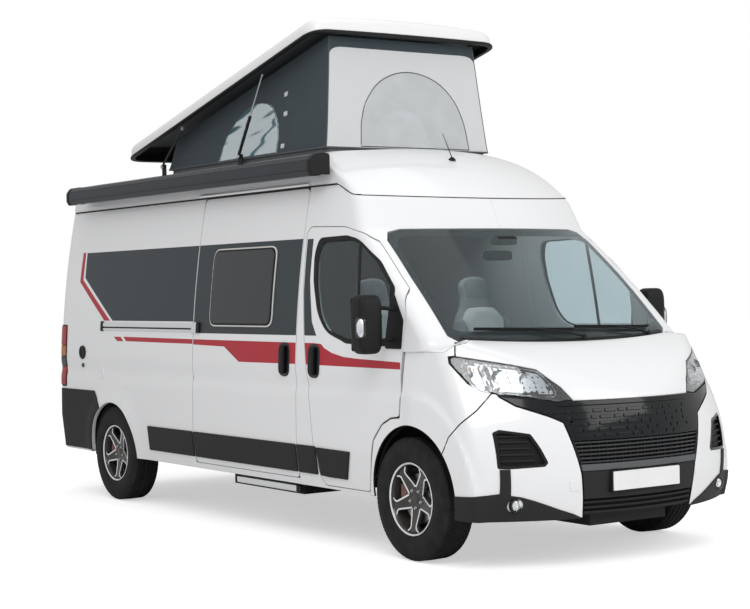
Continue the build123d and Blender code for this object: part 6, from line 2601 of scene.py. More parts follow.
    def panel(self, where: TentWall, finish: Finish, opening: Array | None) -> Form:
        """Panel of canvas on wall_point, cut for its window.

        Args:
            where: Wall of the tent.
            finish: Finish.
            opening: Window outline in (u, v), or None.

        Returns:
            The form.
        """
        square = box(0.0, 1.0, 0.0, 1.0)
        flat, tris = trimmed(square, [] if opening is None else [opening], 0.03)
        return Form().add(self.wall_point(where, flat[:, 0], flat[:, 1]), tris, finish)

    def patch(self, where: TentWall, opening: Array, finish: Finish, lift: float,
              holes: Sequence[Array] = ()) -> Form:
        """Cloth, film or net over an outline, moved out by a distance.

        Args:
            where: Wall of the tent.
            opening: Outline in (u, v).
            finish: Finish.
            lift: Distance outwards.
            holes: Loops cut out.

        Returns:
            The form.
        """
        flat, tris = trimmed(opening, holes, 0.03)
        p = self.wall_point(where, flat[:, 0], flat[:, 1])
        away = [0, -lift, 0] if where is TentWall.FRONT else [-lift, 0, 0]
        return Form().add(p + away, tris, finish)

    def piping(self, where: TentWall, line: Array, finish: Finish, radius: float = 0.007) -> Form:
        """Piping sewn along a line on a panel."""
        p = self.wall_point(where, line[:, 0], line[:, 1])
        return Form().tube(p, radius, finish, 8)

    def dome(self, low: float, high: float, foot: float, top: float, count: int = 28) -> Array:
        """Window outline with a flat foot and a round top, in (u, v).

        Args:
            low: Least u.
            high: Greatest u.
            foot: Least v.
            top: Greatest v.
            count: Points of the round top.

        Returns:
            Outline in (u, v).
        """
        angle = np.linspace(0, np.pi, count)
        u = (low + high) / 2 + (high - low) / 2 * np.cos(angle)
        v = foot + (top - foot) * np.sin(angle) ** 0.72
        return resampled(np.stack([u, v], 1), 0.02)

    def window_cloth(self, where: TentWall, opening: Array) -> Form:
        """Film or net over a window, with its piping; a side window also has a net behind its film.

        Args:
            where: Front or side wall.
            opening: Window outline in (u, v).

        Returns:
            The form.
        """
        flank = where is TentWall.SIDE
        form = self.patch(where, grown(opening, 0.004), TENT_WINDOW if flank else PALE_NET, 0.003)
        if flank:
            form.join(self.patch(where, grown(self.dome(*self.side_net), 0.0), MESH_NET, -0.012))
        return form.join(self.piping(where, np.concatenate([opening, opening[:1]]), GREY_TRIM, 0.005))

    def seam_piping(self, where: TentWall) -> Form:
        """Piping along a panel's foot, and up both ends of the front and rear ones.

        Args:
            where: Wall of the tent.

        Returns:
            The form.
        """
        ends = np.linspace(0, 1, 24)
        form = self.piping(where, np.stack([ends, 0 * ends + 0.004], 1), GREY_TRIM, 0.006)
        for u in () if where is TentWall.SIDE else (0.0, 1.0):
            form.join(self.piping(where, np.stack([0 * ends + u, ends], 1), GREY_TRIM, 0.0045))
        return form

    def cloth(self, where: TentWall, opening: Array | None) -> Form:
        """Canvas of a panel: the front has a pale sheet sewn on it, a side three pale tabs. On the front the
        sheet stops below the lid, and the grey canvas band left bare above it is painted shade under the
        lid's edge.

        Args:
            where: Wall of the tent.
            opening: Window outline in (u, v), or None.

        Returns:
            The form.
        """
        form = self.panel(where, TENT_GREY, opening)
        if where is TentWall.FRONT:
            # The pale sheet ends at 0.905 of the height: the grey canvas band above it is painted shade under
            # the lid's edge, on the canvas's real grey.
            face = box(0.0, 1.0, 0.0, 0.905, [0.001, 0.001, 0.09, 0.09], 8)
            form.join(self.patch(where, resampled(face, 0.03), TENT_PALE, 0.0025, [opening]))
        elif where is TentWall.SIDE:
            for v in (0.64, 0.42, 0.06):
                form.join(self.patch(where, box(0.240, 0.262, v, v + 0.05, 0.003, 4), TENT_PALE, 0.004))
        return form

    def tent(self) -> None:
        """Four canvas panels with windows, nets and piping; each is one sheet, stretched to the lid.

        A sheet's area is its flat rectangle, or the wedge of a side, less the window's polygon area
        taken from (u, v) to metres.
        """
        width, run = self.tent_half * 2, self.tent_rear - self.tent_front
        tall, low = (float(self.lip_z(aft)) - 0.006 - self.tent_foot
                     for aft in (self.tent_front, self.tent_rear))
        wedge = run * (tall + low) / 2
        window, flank = self.dome(*self.window), self.dome(*self.side_window)
        rows = ((TentWall.FRONT, Side.RIGHT, window, (width, tall), width * tall, width * tall),
                (TentWall.REAR, Side.RIGHT, None, (width, low), width * low, 0.0),
                (TentWall.SIDE, Side.RIGHT, flank, (run, tall), wedge, wedge * 1.12),
                (TentWall.SIDE, Side.LEFT, flank, (run, tall), wedge, wedge * 1.12))
        for where, side, opening, flat, area, unit in rows:
            name = f"tent_side_{side.value}" if where is TentWall.SIDE else f"tent_{where.value}"
            extras = []
            if opening is not None:
                after = np.roll(opening, -1, 0)
                area -= 0.5 * abs((opening[:, 0] * after[:, 1] - after[:, 0] * opening[:, 1]).sum()) * unit
                extras.append(side.of(self.window_cloth(where, opening)
                              ).build(f"{name}_window", "body", "tent_fabric"))
            extras.append(side.of(self.seam_piping(where)).build(f"{name}_piping", "body", "tent_fabric"))
            canvas = side.of(self.cloth(where, opening)).build(name, "body", "tent_fabric", ["tent"])
            for piece in (*extras, canvas):
                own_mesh(piece)

    def rim(self) -> Form:
        """Upstand round the hatch.

        Returns:
            The form.
        """
        low, high = station(self.tent_front + 0.012), station(self.tent_rear - 0.012)
        outer = box(-0.678, 0.678, low, high, 0.05)
        hole = resampled(grown(outer, -0.030), 0.05)
        return Form().slab(outer, 2.50, 2.594, on_level, GREY_TRIM, 0.005, [hole], 0.08)

    def arms(self) -> Form:
        """Two flat arms with a boss at either end.

        Returns:
            The form.
        """
        form = Form()
        boss = [(-0.007, 0.0), (-0.007, 0.016), (0.007, 0.016), (0.007, 0.0)]
        for x in (-self.arm_x, self.arm_x):
            foot, top = (np.array([x, station(aft), z]) for aft, z in (self.arm_foot, self.pin))
            form.tube(foot + (top - foot) * np.linspace(0, 1, 6)[:, None], 0.0052, CHASSIS, 10, 2.4)
            for end in (foot, top):
                form.lathe(boss, STEEL, 0, end, 24)
        return form

    def strut(self) -> tuple[Form, Form]:
        """Right gas strut: barrel with its end fitting, and bright rod with its eye.

        Returns:
            Barrel and rod.
        """
        foot, eye = (np.array([x, station(aft), z]) for x, aft, z in (self.strut_foot, self.strut_eye))
        length = np.linalg.norm(eye - foot)
        way = (eye - foot) / length
        joint = (0.008, 0.011, 0.011)
        ends = foot + way * np.array([0.012, 0.020, 0.326, 0.331])[:, None]
        barrel = Form().tube(ends, [0.008, 0.0118, 0.0118, 0.0075], CHASSIS, 20)
        barrel.pillow(foot, joint, STEEL, 0.8, 16, 10)
        rod = Form().tube(foot + way * np.array([0.300, length - 0.012])[:, None], 0.0055, STEEL, 14)
        return barrel, rod.pillow(eye, joint, STEEL, 0.8, 16, 10)

    def build(self) -> None:
        """Make the lifting roof."""
        self.lid().build("roof_lid_shell", "roof_lid", "white_roof", ["roof_lid"], 40)
        self.tent()
        self.rim().build("hatch_rim", "body", "trim")
        self.arms().build("lift_arm_pair", "lift_arms", "steel", ["lift_arms"])
        for side in Side:
            barrel, rod = self.strut()
            word = side.value
            side.of(barrel).build(f"gas_barrel_{word}", f"strut_barrel_{word}", "black_plastic",
                                  [f"strut_barrel_{word}"])
            side.of(rod).build(f"gas_rod_{word}", f"strut_rod_{word}", "steel", [f"strut_rod_{word}"])


@dataclass
class Awning:
    """Awning housing along the right roof edge: turned case, end caps, front rail and brackets."""

    span: tuple[float, float] = (0.980, 4.720)
    low: tuple[float, float] = (-1.050, 2.366)
    high: tuple[float, float] = (-0.905, 2.512)
    brackets: tuple[float, ...] = (1.150, 2.800, 4.450)

    def section(self) -> Array:
        """Section of the housing in (x, z): flat back, round shoulder and a drip nose low in front.

        Returns:
            Plane loop.
        """
        x0, z0 = self.low
        x1, z1 = self.high
        corners = [(x1, z0 + 0.012), (x1, z1 - 0.004), (x1 - 0.040, z1), (x0 + 0.030, z1 - 0.012),
                   (x0, z1 - 0.052), (x0, z0 + 0.030), (x0 + 0.018, z0), (x0 + 0.070, z0 + 0.004),
                   (x0 + 0.074, z0 + 0.014)]
        return resampled(rounded(corners, [0.004, 0.02, 0.05, 0.04, 0.04, 0.02, 0.012, 0.003, 0.003]), 0.012)

    def case(self) -> Form:
        """Section drawn along Y, with seams where the front rail meets the case.

        Returns:
            The form.
        """
        line = self.section()
        along = np.linspace(*self.span, 24)
        points = np.stack([line[None, :, 0] + 0 * along[:, None],
                           station(along)[:, None] + 0 * line[None, :, 0],
                           line[None, :, 1] + 0 * along[:, None]], -1)
        form = Form().grid(points, AWNING_GREY, close_v=True)
        for aft, way in zip(self.span, (-1, 1)):
            cap = grown(line, 0.0035)

            def place(flat: Array, height: Array, aft: float = aft, way: int = way) -> Array:
                """Plane across the housing's end."""
                return np.stack([flat[:, 0], station(aft) + way * height, flat[:, 1]], 1)

            form.slab(cap, -0.035, 0.012, place, TRIM, 0.006, step=0.04)
        for z in (2.402, 2.4685):
            x = self.low[0] - 0.0008
            seam = np.stack([0 * along + x, station(along), 0 * along + z], 1)
            form.tube(seam, 0.0016, TRIM, 6)
        return form

    def build(self) -> None:
        """Make the awning."""
        form = self.case()
        for aft in self.brackets:
            form.pillow((-0.85, station(aft), 2.435), (0.075, 0.030, 0.028), CHASSIS, 0.2, 24, 12)
        form.build("awning_case", "body", "trim", ["awning"])


@dataclass
class Screen:
    """Windshield with its dark border, cowl, wipers and the camera housing behind the glass."""

    outline: tuple = (
        (0.822, 1.309), (0.868, 1.346), (0.850, 1.700), (0.822, 1.930), (0.780, 1.985), (0.700, 2.003),
    )
    border: tuple = ((0.775, 1.372), (0.822, 1.400), (0.812, 1.700), (0.786, 1.905), (0.750, 1.945),
                     (0.690, 1.958))

    # Wipers: X of the pivot, of the blade's middle and of its two ends.
    wipers: tuple = ((0.62, 0.30, 0.00, 0.68), (0.02, -0.34, -0.70, -0.03))
    cowl_line: tuple = ((0.020, 1.312), (0.010, 1.300), (-0.040, 1.289), (-0.065, 1.270), (-0.070, 1.225))
    cowl_half: float = 0.81

    def whole(self, half: Sequence) -> Array:
        """Full-width outline from its right half."""
        p = np.asarray(half, float)
        return resampled(rounded(np.concatenate([p, (p * [-1, 1])[::-1]]), 0.03, 6), 0.03)

    def glass(self) -> Form:
        """Pane, with the border printed on its inside.

        Returns:
            The form.
        """
        edge = grown(self.whole(self.outline), -0.002)
        form = skin(BODY.front, edge, SCREEN_GLASS, step=0.05, thick=0.005, proud=-0.001, roll=0.001)
        return form.join(skin(BODY.front, edge, TRIM, [self.whole(self.border)], step=0.04, thick=0.0075,
                              proud=-0.0062, roll=0.0004))

    def cowl(self) -> Form:
        """Dark panel between bonnet and glass: rows from the glass's foot, level to the front and down.

        Each row follows the foot of the glass, and rises beside it by the square of X.

        Returns:
            The form.
        """
        x = np.linspace(-self.cowl_half, self.cowl_half, 61)[None, :]
        ahead, height = np.array(self.cowl_line).T[:, :, None]
        base = BODY.front(x[0], np.full(61, 1.308))
        y = base[None, :, 1] + ahead
        return Form().grid(np.stack([x + 0 * y, y, height + 0.012 * (x / 0.9) ** 2 + 0 * y], -1), TRIM)

    def wiper(self, pivot: float, reach: float, start: float, stop: float) -> Form:
        """Arm from its pivot to the middle of a blade that lies on the glass.

        Args:
            pivot: X of the pivot.
            reach: X of the blade's middle.
            start: X of one end of the blade.
            stop: X of its other end.

        Returns:
            The form.
        """
        x = np.linspace(start, stop, 24)
        z = 1.358 + 0.020 * np.abs(x - pivot) / 0.7
        p = BODY.front(x, z) + [0, -0.016, 0.003]
        form = Form().tube(p, 0.0065, TRIM, 8, 1.5).tube(p + [0, -0.010, 0.006], 0.0038, SEAL, 8)
        boss = [(0.0, 0.0), (0.0, 0.016), (0.024, 0.014), (0.030, 0.006), (0.030, 0.0)]
        foot = BODY.front(np.array(pivot), np.array(1.318)) + [0, -0.030, 0.0]
        x = np.array([pivot + (reach - pivot) * 0.35, reach])
        bend = BODY.front(x, np.array([1.340, 1.366])) + [0, -0.030, 0.010]
        line = np.stack([foot, *bend])
        path = np.stack([np.interp(np.linspace(0, 2, 14), [0, 1, 2], line[:, k]) for k in range(3)], 1)
        form.tube(path, np.linspace(0.010, 0.006, 14), TRIM, 10, 0.8)
        return form.lathe(boss, TRIM, 2, foot - [0, 0, 0.012], 20)

    def camera(self) -> Form:
        """Sensor housing and inside mirror behind the top of the glass.

        Returns:
            The form.
        """
        at = BODY.front(np.array(0.0), np.array(1.93))
        form = Form().pillow(at + [0, 0.055, -0.005], (0.085, 0.045, 0.030), TRIM, 0.35, 28, 14)
        return form.pillow(at + [0, 0.12, -0.10], (0.115, 0.012, 0.032), TRIM, 0.4, 28, 12)

    def build(self) -> None:
        """Make the windshield and its fittings."""
        self.glass().build("windshield_pane", "body", "glass", ["windshield"])
        self.cowl().build("cowl_panel", "body", "black_plastic")
        Form().join(*(self.wiper(*row) for row in self.wipers)).build("wiper_pair", "body",
                                                                      "black_plastic", ["wipers"])
        self.camera().build("sensor_housing", "body", "trim")


@dataclass
class RearEnd:
    """Rear doors with their windows, handles and hinges, rear bumper and high brake lamp."""

    half: float = WALLS.door_half
    top_half: float = WALLS.door_top_half
    foot: float = WALLS.door_foot_z
    top: float = WALLS.door_top_z
    gap: float = 0.005
    hinges: tuple = ((0.68, 0.830), (1.22, 0.830), (2.05, 0.775))

    def leaf(self) -> Form:
        """Right door with its window cut.

        Returns:
            The form.
        """
        g = self.gap / 2
        edge = [(-g, self.foot), (-self.half, self.foot), (-self.half, 1.400), (-self.top_half, self.top),
                (-g, self.top)]
        edge = resampled(rounded(edge, [0.01, 0.03, 0.5, 0.06, 0.01]), 0.03)
        hole = self.window(0.0)
        form = skin(BODY.rear, edge, WHITE, [hole], step=0.05, thick=0.030, inner=INNER_WHITE)
        press = box(-0.10, -0.76, 0.66, 1.12, 0.04)
        form.join(skin(BODY.rear, press, WHITE, step=0.05, thick=0.0, proud=0.004, roll=0.0035))
        lining = box(-0.06, -0.80, 0.58, 1.24, 0.05)
        return form.join(skin(BODY.rear, lining, PALE_TRIM, step=0.08, thick=0.044, proud=-0.031, roll=0.006))

    def window(self, spread: float) -> Array:
        """Window outline grown by a distance."""
        edge = [(-0.115, 1.330), (-0.735, 1.330), (-0.705, 1.960), (-0.115, 1.960)]
        return resampled(grown(rounded(edge, 0.06, 8), spread), 0.03)

    def glazing(self) -> Form:
        """Dark pane and its rubber.

        Returns:
            The form.
        """
        form = skin(BODY.rear, self.window(0.014), SEAL, [self.window(-0.008)], step=0.04, thick=0.004,
                    proud=0.004, roll=0.003)
        return form.join(skin(BODY.rear, self.window(-0.001), DARK_GLASS, step=0.06, thick=0.010,
                              proud=-0.002))

    def hardware(self) -> Form:
        """Hinge straps at the outer edge, at (height, half width) each.

        Returns:
            The form.
        """
        form = Form()
        for z, wide in self.hinges:
            at = BODY.rear(np.array(-wide), np.array(z)) + [0, 0.008, 0]
            form.pillow(at, (0.034, 0.010, 0.022), WHITE, 0.35, 24, 12)
        return form

    def handle(self) -> Form:
        """Handle strip and lock on the right door."""
        at = BODY.rear(np.array(-0.055), np.array(1.06))
        return Form().pillow(at + [0, 0.014, 0], (0.026, 0.014, 0.085), TRIM, 0.35, 24, 16)

    def fixed(self) -> Form:
        """Brake lamp over the doors on its dark base.

        Returns:
            The form.
        """
        at = BODY.rear(np.array(0.0), np.array(2.268))
        form = Form().pillow(at + [0, 0.006, 0], (0.15, 0.012, 0.014), RED_LENS, 0.3, 28, 10)
        return form.pillow(at + [0, 0.002, 0], (0.17, 0.012, 0.020), TRIM, 0.3, 28, 10)

    def bumper(self) -> Form:
        """Half of the rear step bumper with its tread and reflector.

        Returns:
            The form.
        """
        middle = float(WALLS.round_rear(0.0, 0.45))
        edge = np.array([(5.12, 0.372), (5.12, 0.500), (middle, 0.500), (middle, 0.372)])
        form = skin(WALLS.wall, resampled(edge, 0.04), CLADDING, step=0.04, thick=0.010,
                    proud=0.014, roll=0.004)
        mark = box(5.30, 5.46, 0.410, 0.440, 0.006)
        return form.join(skin(WALLS.wall, mark, RED_LENS, step=0.04, thick=-0.012, proud=0.018, roll=0.002))

    def build(self) -> None:
        """Make the rear end."""
        for side in Side:
            word, of = side.value, side.of
            body = f"rear_door_{word}"
            of(self.leaf()).build(f"rear_door_leaf_{word}", body, "white_paint", [body])
            of(self.glazing()).build(f"rear_window_{word}", body, "tinted_window")
            of(self.hardware()).build(f"rear_hinges_{word}", body, "white_paint")
            of(self.bumper()).build(f"rear_bumper_{word}", "body", "black_plastic", ["rear_bumper"])
        self.handle().build("rear_handle", "rear_door_right", "black_plastic")
        self.fixed().build("high_brake_lamp", "body", "red_lamp")


@dataclass
class CabInside:
    """Chairs, dashboard dressing, steering wheel, headliner and load-space lining seen through glass."""

    chair_x: float = 0.430
    back_line: tuple = (
        (0.00, 0.0, 0.0), (0.01, 0.190, 0.045), (0.08, 0.222, 0.058), (0.28, 0.238, 0.060),
        (0.46, 0.240, 0.056), (0.56, 0.215, 0.052), (0.63, 0.160, 0.048), (0.70, 0.135, 0.046),
        (0.80, 0.126, 0.042), (0.845, 0.100, 0.036), (0.862, 0.050, 0.022), (0.865, 0.0, 0.0),
    )
    pale_line: tuple = (
        (0.03, 0.0, 0.0), (0.04, 0.130, 0.034), (0.20, 0.158, 0.042), (0.42, 0.176, 0.040),
        (0.54, 0.196, 0.036), (0.60, 0.150, 0.032), (0.63, 0.110, 0.026), (0.64, 0.0, 0.0),
    )
    rest_line: tuple = (
        (0.655, 0.0, 0.0), (0.66, 0.086, 0.030), (0.70, 0.108, 0.038), (0.80, 0.104, 0.036),
        (0.84, 0.080, 0.028), (0.85, 0.0, 0.0),
    )
    chair_foot: tuple[float, float] = (1.0, 0.88)
    chair_lean: float = -14.0
    stuffing: float = 0.75
    wheel_at: tuple[float, float, float] = (0.430, 0.250, 1.180)
    wheel_tilt: float = -40.0
    wheel_r: float = 0.195
    # Dashboard blocks: x, aft and z of the middle, half sizes, finish, power, points round and over.
    blocks: tuple = (
        ((0.43, -0.06, 1.285), (0.20, 0.13, 0.045), DASH_SKIN, 0.45, 40, 16),
        ((0.0, 0.045, 1.21), (0.13, 0.016, 0.075), BLACK_GLOSS, 0.2, 32, 14),
        *(((x, 0.035, 1.205), (0.055, 0.016, 0.035), GREY_TRIM, 0.3, 24,
           12) for x in (-0.78, -0.20, 0.20, 0.78)),
        ((-0.45, 0.082, 1.06), (0.20, 0.012, 0.075), DASH_SKIN, 0.2, 28, 12),
        ((0.10, 0.10, 1.02), (0.075, 0.05, 0.11), DASH_SKIN, 0.35, 28, 14),
        ((0.10, 0.175, 1.19), (0.022, 0.022, 0.028), TRIM, 0.8, 20, 12),
    )

    def upholstered(self, line: tuple, y: float, finish: Finish) -> Form:
        """Closed padded form from rows of (height, half width, half depth), each ring a rounded box.

        Args:
            line: The rows.
            y: Y of the middle.
            finish: Finish.

        Returns:
            The form.
        """
        rows = np.array(line)
        fine = np.linspace(0, len(rows) - 1, 34)
        z, wide, deep = (np.interp(fine, np.arange(len(rows)), rows[:, k])[None, :] for k in range(3))
        angle = np.linspace(0, TURN, 48, endpoint=False)[:, None]
        cosine, sine = np.cos(angle), np.sin(angle)
        x = np.sign(cosine) * np.abs(cosine) ** 0.55 * wide
        y = np.sign(sine) * np.abs(sine) ** 0.7 * deep + y
        return Form().grid(np.stack([x, y, z + 0 * angle], -1), finish, close_u=True)

    def lean(self, x: float) -> Matrix:
        """Placement of a chair's back: its foot, and its lean about X.

        Args:
            x: X of the chair.

        Returns:
            The placement.
        """
        aft, z = self.chair_foot
        return Matrix.Translation((x, station(aft),
                                   z)) @ Matrix.Rotation(math.radians(self.chair_lean), 4, "X")

    def padding(self) -> dict[str, Form]:
        """Cushion, back and headrest of the left chair, in two cloths, swollen by simulation.

        Returns:
            The forms by name.
        """
        x = self.chair_x
        seat = Form().pillow((x, station(0.755), 0.835), (0.245, 0.262, 0.068), CHAIR_GREY, 0.42, 56, 28)
        seat.pillow((x, station(0.745), 0.858), (0.150, 0.235, 0.058), CHAIR_PALE, 0.5, 40, 22)
        back = self.upholstered(self.back_line, 0.030, CHAIR_GREY)
        back.join(self.upholstered(self.pale_line, -0.022, CHAIR_PALE))
        for part in (-1, 1):
            seat.pillow((x + part * 0.205, station(0.76), 0.862), (0.040, 0.23, 0.062), CHAIR_GREY,
                        0.55, 28, 20)
            back.pillow((part * 0.196, -0.012, 0.29), (0.038, 0.062, 0.260), CHAIR_GREY, 0.55, 28, 24)
        rest = self.upholstered(self.rest_line, 0.004, CHAIR_GREY)
        forms = {"cushion": seat, "back": back.turned(self.lean(x)), "headrest": rest.turned(self.lean(x))}
        return {name: Filling().stuffed(form) for name, form in forms.items()}

    def chair(self, side: Side, padding: dict[str, Form]) -> None:
        """One chair: its three padded pieces, and a dark base.

        Args:
            side: Side of the cab.
            padding: Padded forms of the left chair by name.
        """
        word = side.value
        x = self.chair_x * (1 if side is Side.LEFT else -1)
        for name, form in padding.items():
            pad = side.from_left(form).build(f"chair_{name}_{word}", "body", "seat_fabric", ["cab_seats"], 60)
        base = Form().pillow((x, station(0.76), 0.62), (0.20, 0.20, 0.155), DASH_SKIN, 0.2, 36, 16)
        foot = np.array(self.lean(x).to_translation())
        for part in (-0.05, 0.05):
            base.tube(foot + np.array([[part, 0.17, 0.62], [part, 0.21, 0.76]]), 0.006, STEEL, 10)
        for part in (-1, 1):
            base.pillow((x + part * 0.285, station(0.98), 1.10), (0.028, 0.17, 0.032), CHAIR_GREY,
                        0.4, 28, 14)
        base.build(f"chair_base_{word}", "body", "black_plastic")

    def steering(self) -> Form:
        """Steering wheel: rim with a flattened foot, three spokes and hub pad, tilted on its column.

        Returns:
            The form.
        """
        angle = np.linspace(0, TURN, 72)
        radius = self.wheel_r - 0.012 * np.exp(-(((angle - 1.5 * np.pi) / 0.35) ** 2))
        form = Form().tube(np.stack([radius * np.cos(angle), radius * np.sin(angle), 0 * angle], 1), 0.0145,
                           DASH_SKIN, 14)
        form.pillow((0, -0.005, -0.006), (0.072, 0.060, 0.026), DASH_SKIN, 0.55, 36, 18)
        for turn in (0.06, math.pi - 0.06, 1.5 * math.pi):
            way = np.array([math.cos(turn), math.sin(turn), 0])
            line = way * np.linspace(0.055, 0.188, 8)[:, None] + [0, 0, -0.004]
            form.tube(line, np.linspace(0.020, 0.015, 8), GREY_TRIM, 12, 0.45)
        x, aft, z = self.wheel_at
        place = Matrix.Translation((x, station(aft),
                                    z)) @ Matrix.Rotation(math.radians(self.wheel_tilt), 4, "X")
        return form.turned(place)

    def dashboard(self) -> Form:
        """Dressing of the dashboard: hood over the dials, screen, vents, glovebox lid and gear knob.

        Returns:
            The form.
        """
        form = Form()
        for (x, aft, z), half, finish, power, around, over in self.blocks:
            form.pillow((x, station(aft), z), half, finish, power, around, over)
        return form.tube([(0.10, station(0.13), 1.10), (0.10, station(0.17), 1.17)], 0.008, TRIM, 10)

    def lining(self) -> Form:
        """Headliner over the living space, bowed down at its sides by the fourth power of X.

        Returns:
            The form.
        """
        x, y = np.meshgrid(np.linspace(-0.74, 0.74, 24), np.linspace(station(1.30), station(4.90), 40),
                           indexing="ij")
        ceiling = 2.44 - 0.06 * (x / 0.74) ** 4
        return Form().grid(np.stack([x, y, ceiling], -1), PALE_TRIM)

    def build(self) -> None:
        """Make the cab inside."""
        padding = self.padding()
        for side in Side:
            self.chair(side, padding)
        self.steering().build("steering_rim", "steering_wheel", "black_plastic", ["steering_wheel"])
        self.dashboard().build("dashboard_dressing", "body", "trim")
        self.lining().build("headliner", "body", "trim")


@dataclass
class Under:
    """Step, gutters, aerial, wheel liners and finishes of the CAD nodes that stay in view."""

    kept: tuple = (
        ("dashboard", DASH_SKIN), ("floor_pan", CHASSIS), ("bulkhead", CHASSIS), ("front_subframe", CHASSIS),
        ("rear_axle", CHASSIS), ("engine_block", CAST), ("fuel_tank", CHASSIS), ("step_housing", TRIM),
        ("roof_feet", CHASSIS), ("knuckle_right", CAST), ("knuckle_left", CAST),
    )

    step_span: tuple[float, float] = (1.295, 2.165)
    step_out: float = -0.975
    step_in: float = -0.600
    ribs_in: float = -0.750
    rib_wide: float = 0.008

    def step(self) -> Form:
        """Step board with a ribbed tread, and an outer edge that is bright between two dark ends.

        Returns:
            The form.
        """
        low, high = station(self.step_span)
        near = self.step_out
        board = box(near + 0.012, self.step_in, low, high, 0.012)
        form = Form().slab(board, 0.2965, 0.3375, on_level, ANODISED, 0.003, step=0.08)
        for x in np.linspace(near + 0.05, self.ribs_in, 9):
            rib = box(x, x + self.rib_wide, low + 0.03, high - 0.03)
            form.slab(rib, 0.337, 0.3395, on_level, TRIM, 0.001, step=0.2)
        for start, stop, finish in ((low - 0.001, low + 0.055, TRIM), (low + 0.055, high - 0.030, ANODISED),
                                    (high - 0.030, high + 0.001, TRIM)):
            edge = box(near, near + 0.022, start, stop, 0.003)
            form.slab(edge, 0.2962, 0.3398, on_level, finish, 0.006, step=0.1)
        return form

    def liner(self, arch: Arch, inner: float) -> Form:
        """Right wheel-arch liner: the arch's circle drawn inboard, closed by a flat inner wall.

        Args:
            arch: Wheel arch.
            inner: X of the inner wall.

        Returns:
            The form.
        """
        aft, z, r = arch
        angle = np.linspace(-0.10, math.pi + 0.10, 48)
        x = np.array([-0.985, -0.965, -0.935, -0.915, -0.875, -0.80, inner, inner])
        swept = (0, 0, 0.016, 0.026, 0.044, 0.050, 0.050, 0) if aft < 1 else (0,) * 8
        reach = (r - 0.001 + np.array(swept)) * [1, 1, 1, 1, 1, 1, 1, 0.02]
        y = station(aft) + reach[:, None] * np.cos(angle)[None, :]
        height = z + reach[:, None] * np.sin(angle)[None, :]
        return Form().grid(np.stack([x[:, None] + 0 * y, y, height], -1), WELL_LINER)

    def roof_line(self) -> Form:
        """Gutter strips, roof aerial and side marker strip.

        Returns:
            The form.
        """
        form = Form()
        aft = np.linspace(0.93, 4.93, 60)
        p = BODY.side(aft, np.full(60, 2.310))
        form.tube(p + [-0.004, 0, 0.002], 0.0055, SEAL, 8)
        form.tube(p * [-1, 1, 1] + [0.004, 0, 0.002], 0.0055, SEAL, 8)
        aft = np.linspace(1.260, 2.757, 30)
        rail = BODY.side(aft, np.full(30, 2.331)) - [0.006, 0, 0]
        form.tube(rail, 0.010, ANODISED, 10, 1.3)
        x, aft = np.linspace(0.0, WALLS.seam_half, 30), np.linspace(0.70, 0.93, 12)
        bow = BODY.front(x, WALLS.front_seam(x)) * [-1, 1, 1]
        flank = BODY.side(aft, WALLS.seam_z(station(aft)))
        bow = np.concatenate([bow, flank])
        form.join(Form().tube(bow, 0.0038, SEAL, 8), Form().tube(bow * [-1, 1, 1], 0.0038, SEAL, 8))
        aft = 0.86
        base = np.array([0.0, station(aft), np.interp(aft, *BODY.front_line().T)])
        form.lathe([(-0.004, 0.0), (-0.004, 0.026), (0.006, 0.024), (0.020, 0.010), (0.022, 0.0)], TRIM,
                   2, base, 24)
        whip = base + np.linspace(0, 1, 10)[:, None] * np.array([0.0, 0.10, 0.17]) + [0, 0, 0.018]
        return form.tube(whip, np.linspace(0.0035, 0.002, 10), TRIM, 8)

    def build(self) -> None:
        """Make the rest and give the carried-over nodes their finishes."""
        self.step().build("step_tread", "step_board", "anodised", ["step_board"])
        for side in Side:
            for name, arch, inner in (("front", FRONT_ARCH, -0.562), ("rear", REAR_ARCH, -0.652)):
                side.of(self.liner(arch, inner)).build(f"liner_{name}_{side.value}", "body", "black_plastic")
        self.roof_line().build("gutters_and_aerial", "body", "black_plastic")
        for node, finish in self.kept:
            materials = bpy.data.objects[node].data.materials
            materials.clear()
            materials.append(finish.material())


def parts() -> list:
    """Sub-assemblies in the order that they are built.

    Returns:
        The sub-assemblies.
    """
    wheels = [Wheel(axle, side) for axle in Axle for side in Side]
    doors = [CabDoor(side) for side in Side]
    outside = [WALLS, FrontEnd(), *doors, SideDress(), *wheels, LiftingRoof(), Awning(), Screen(), RearEnd()]
    return [*outside, CabInside(), Under()]


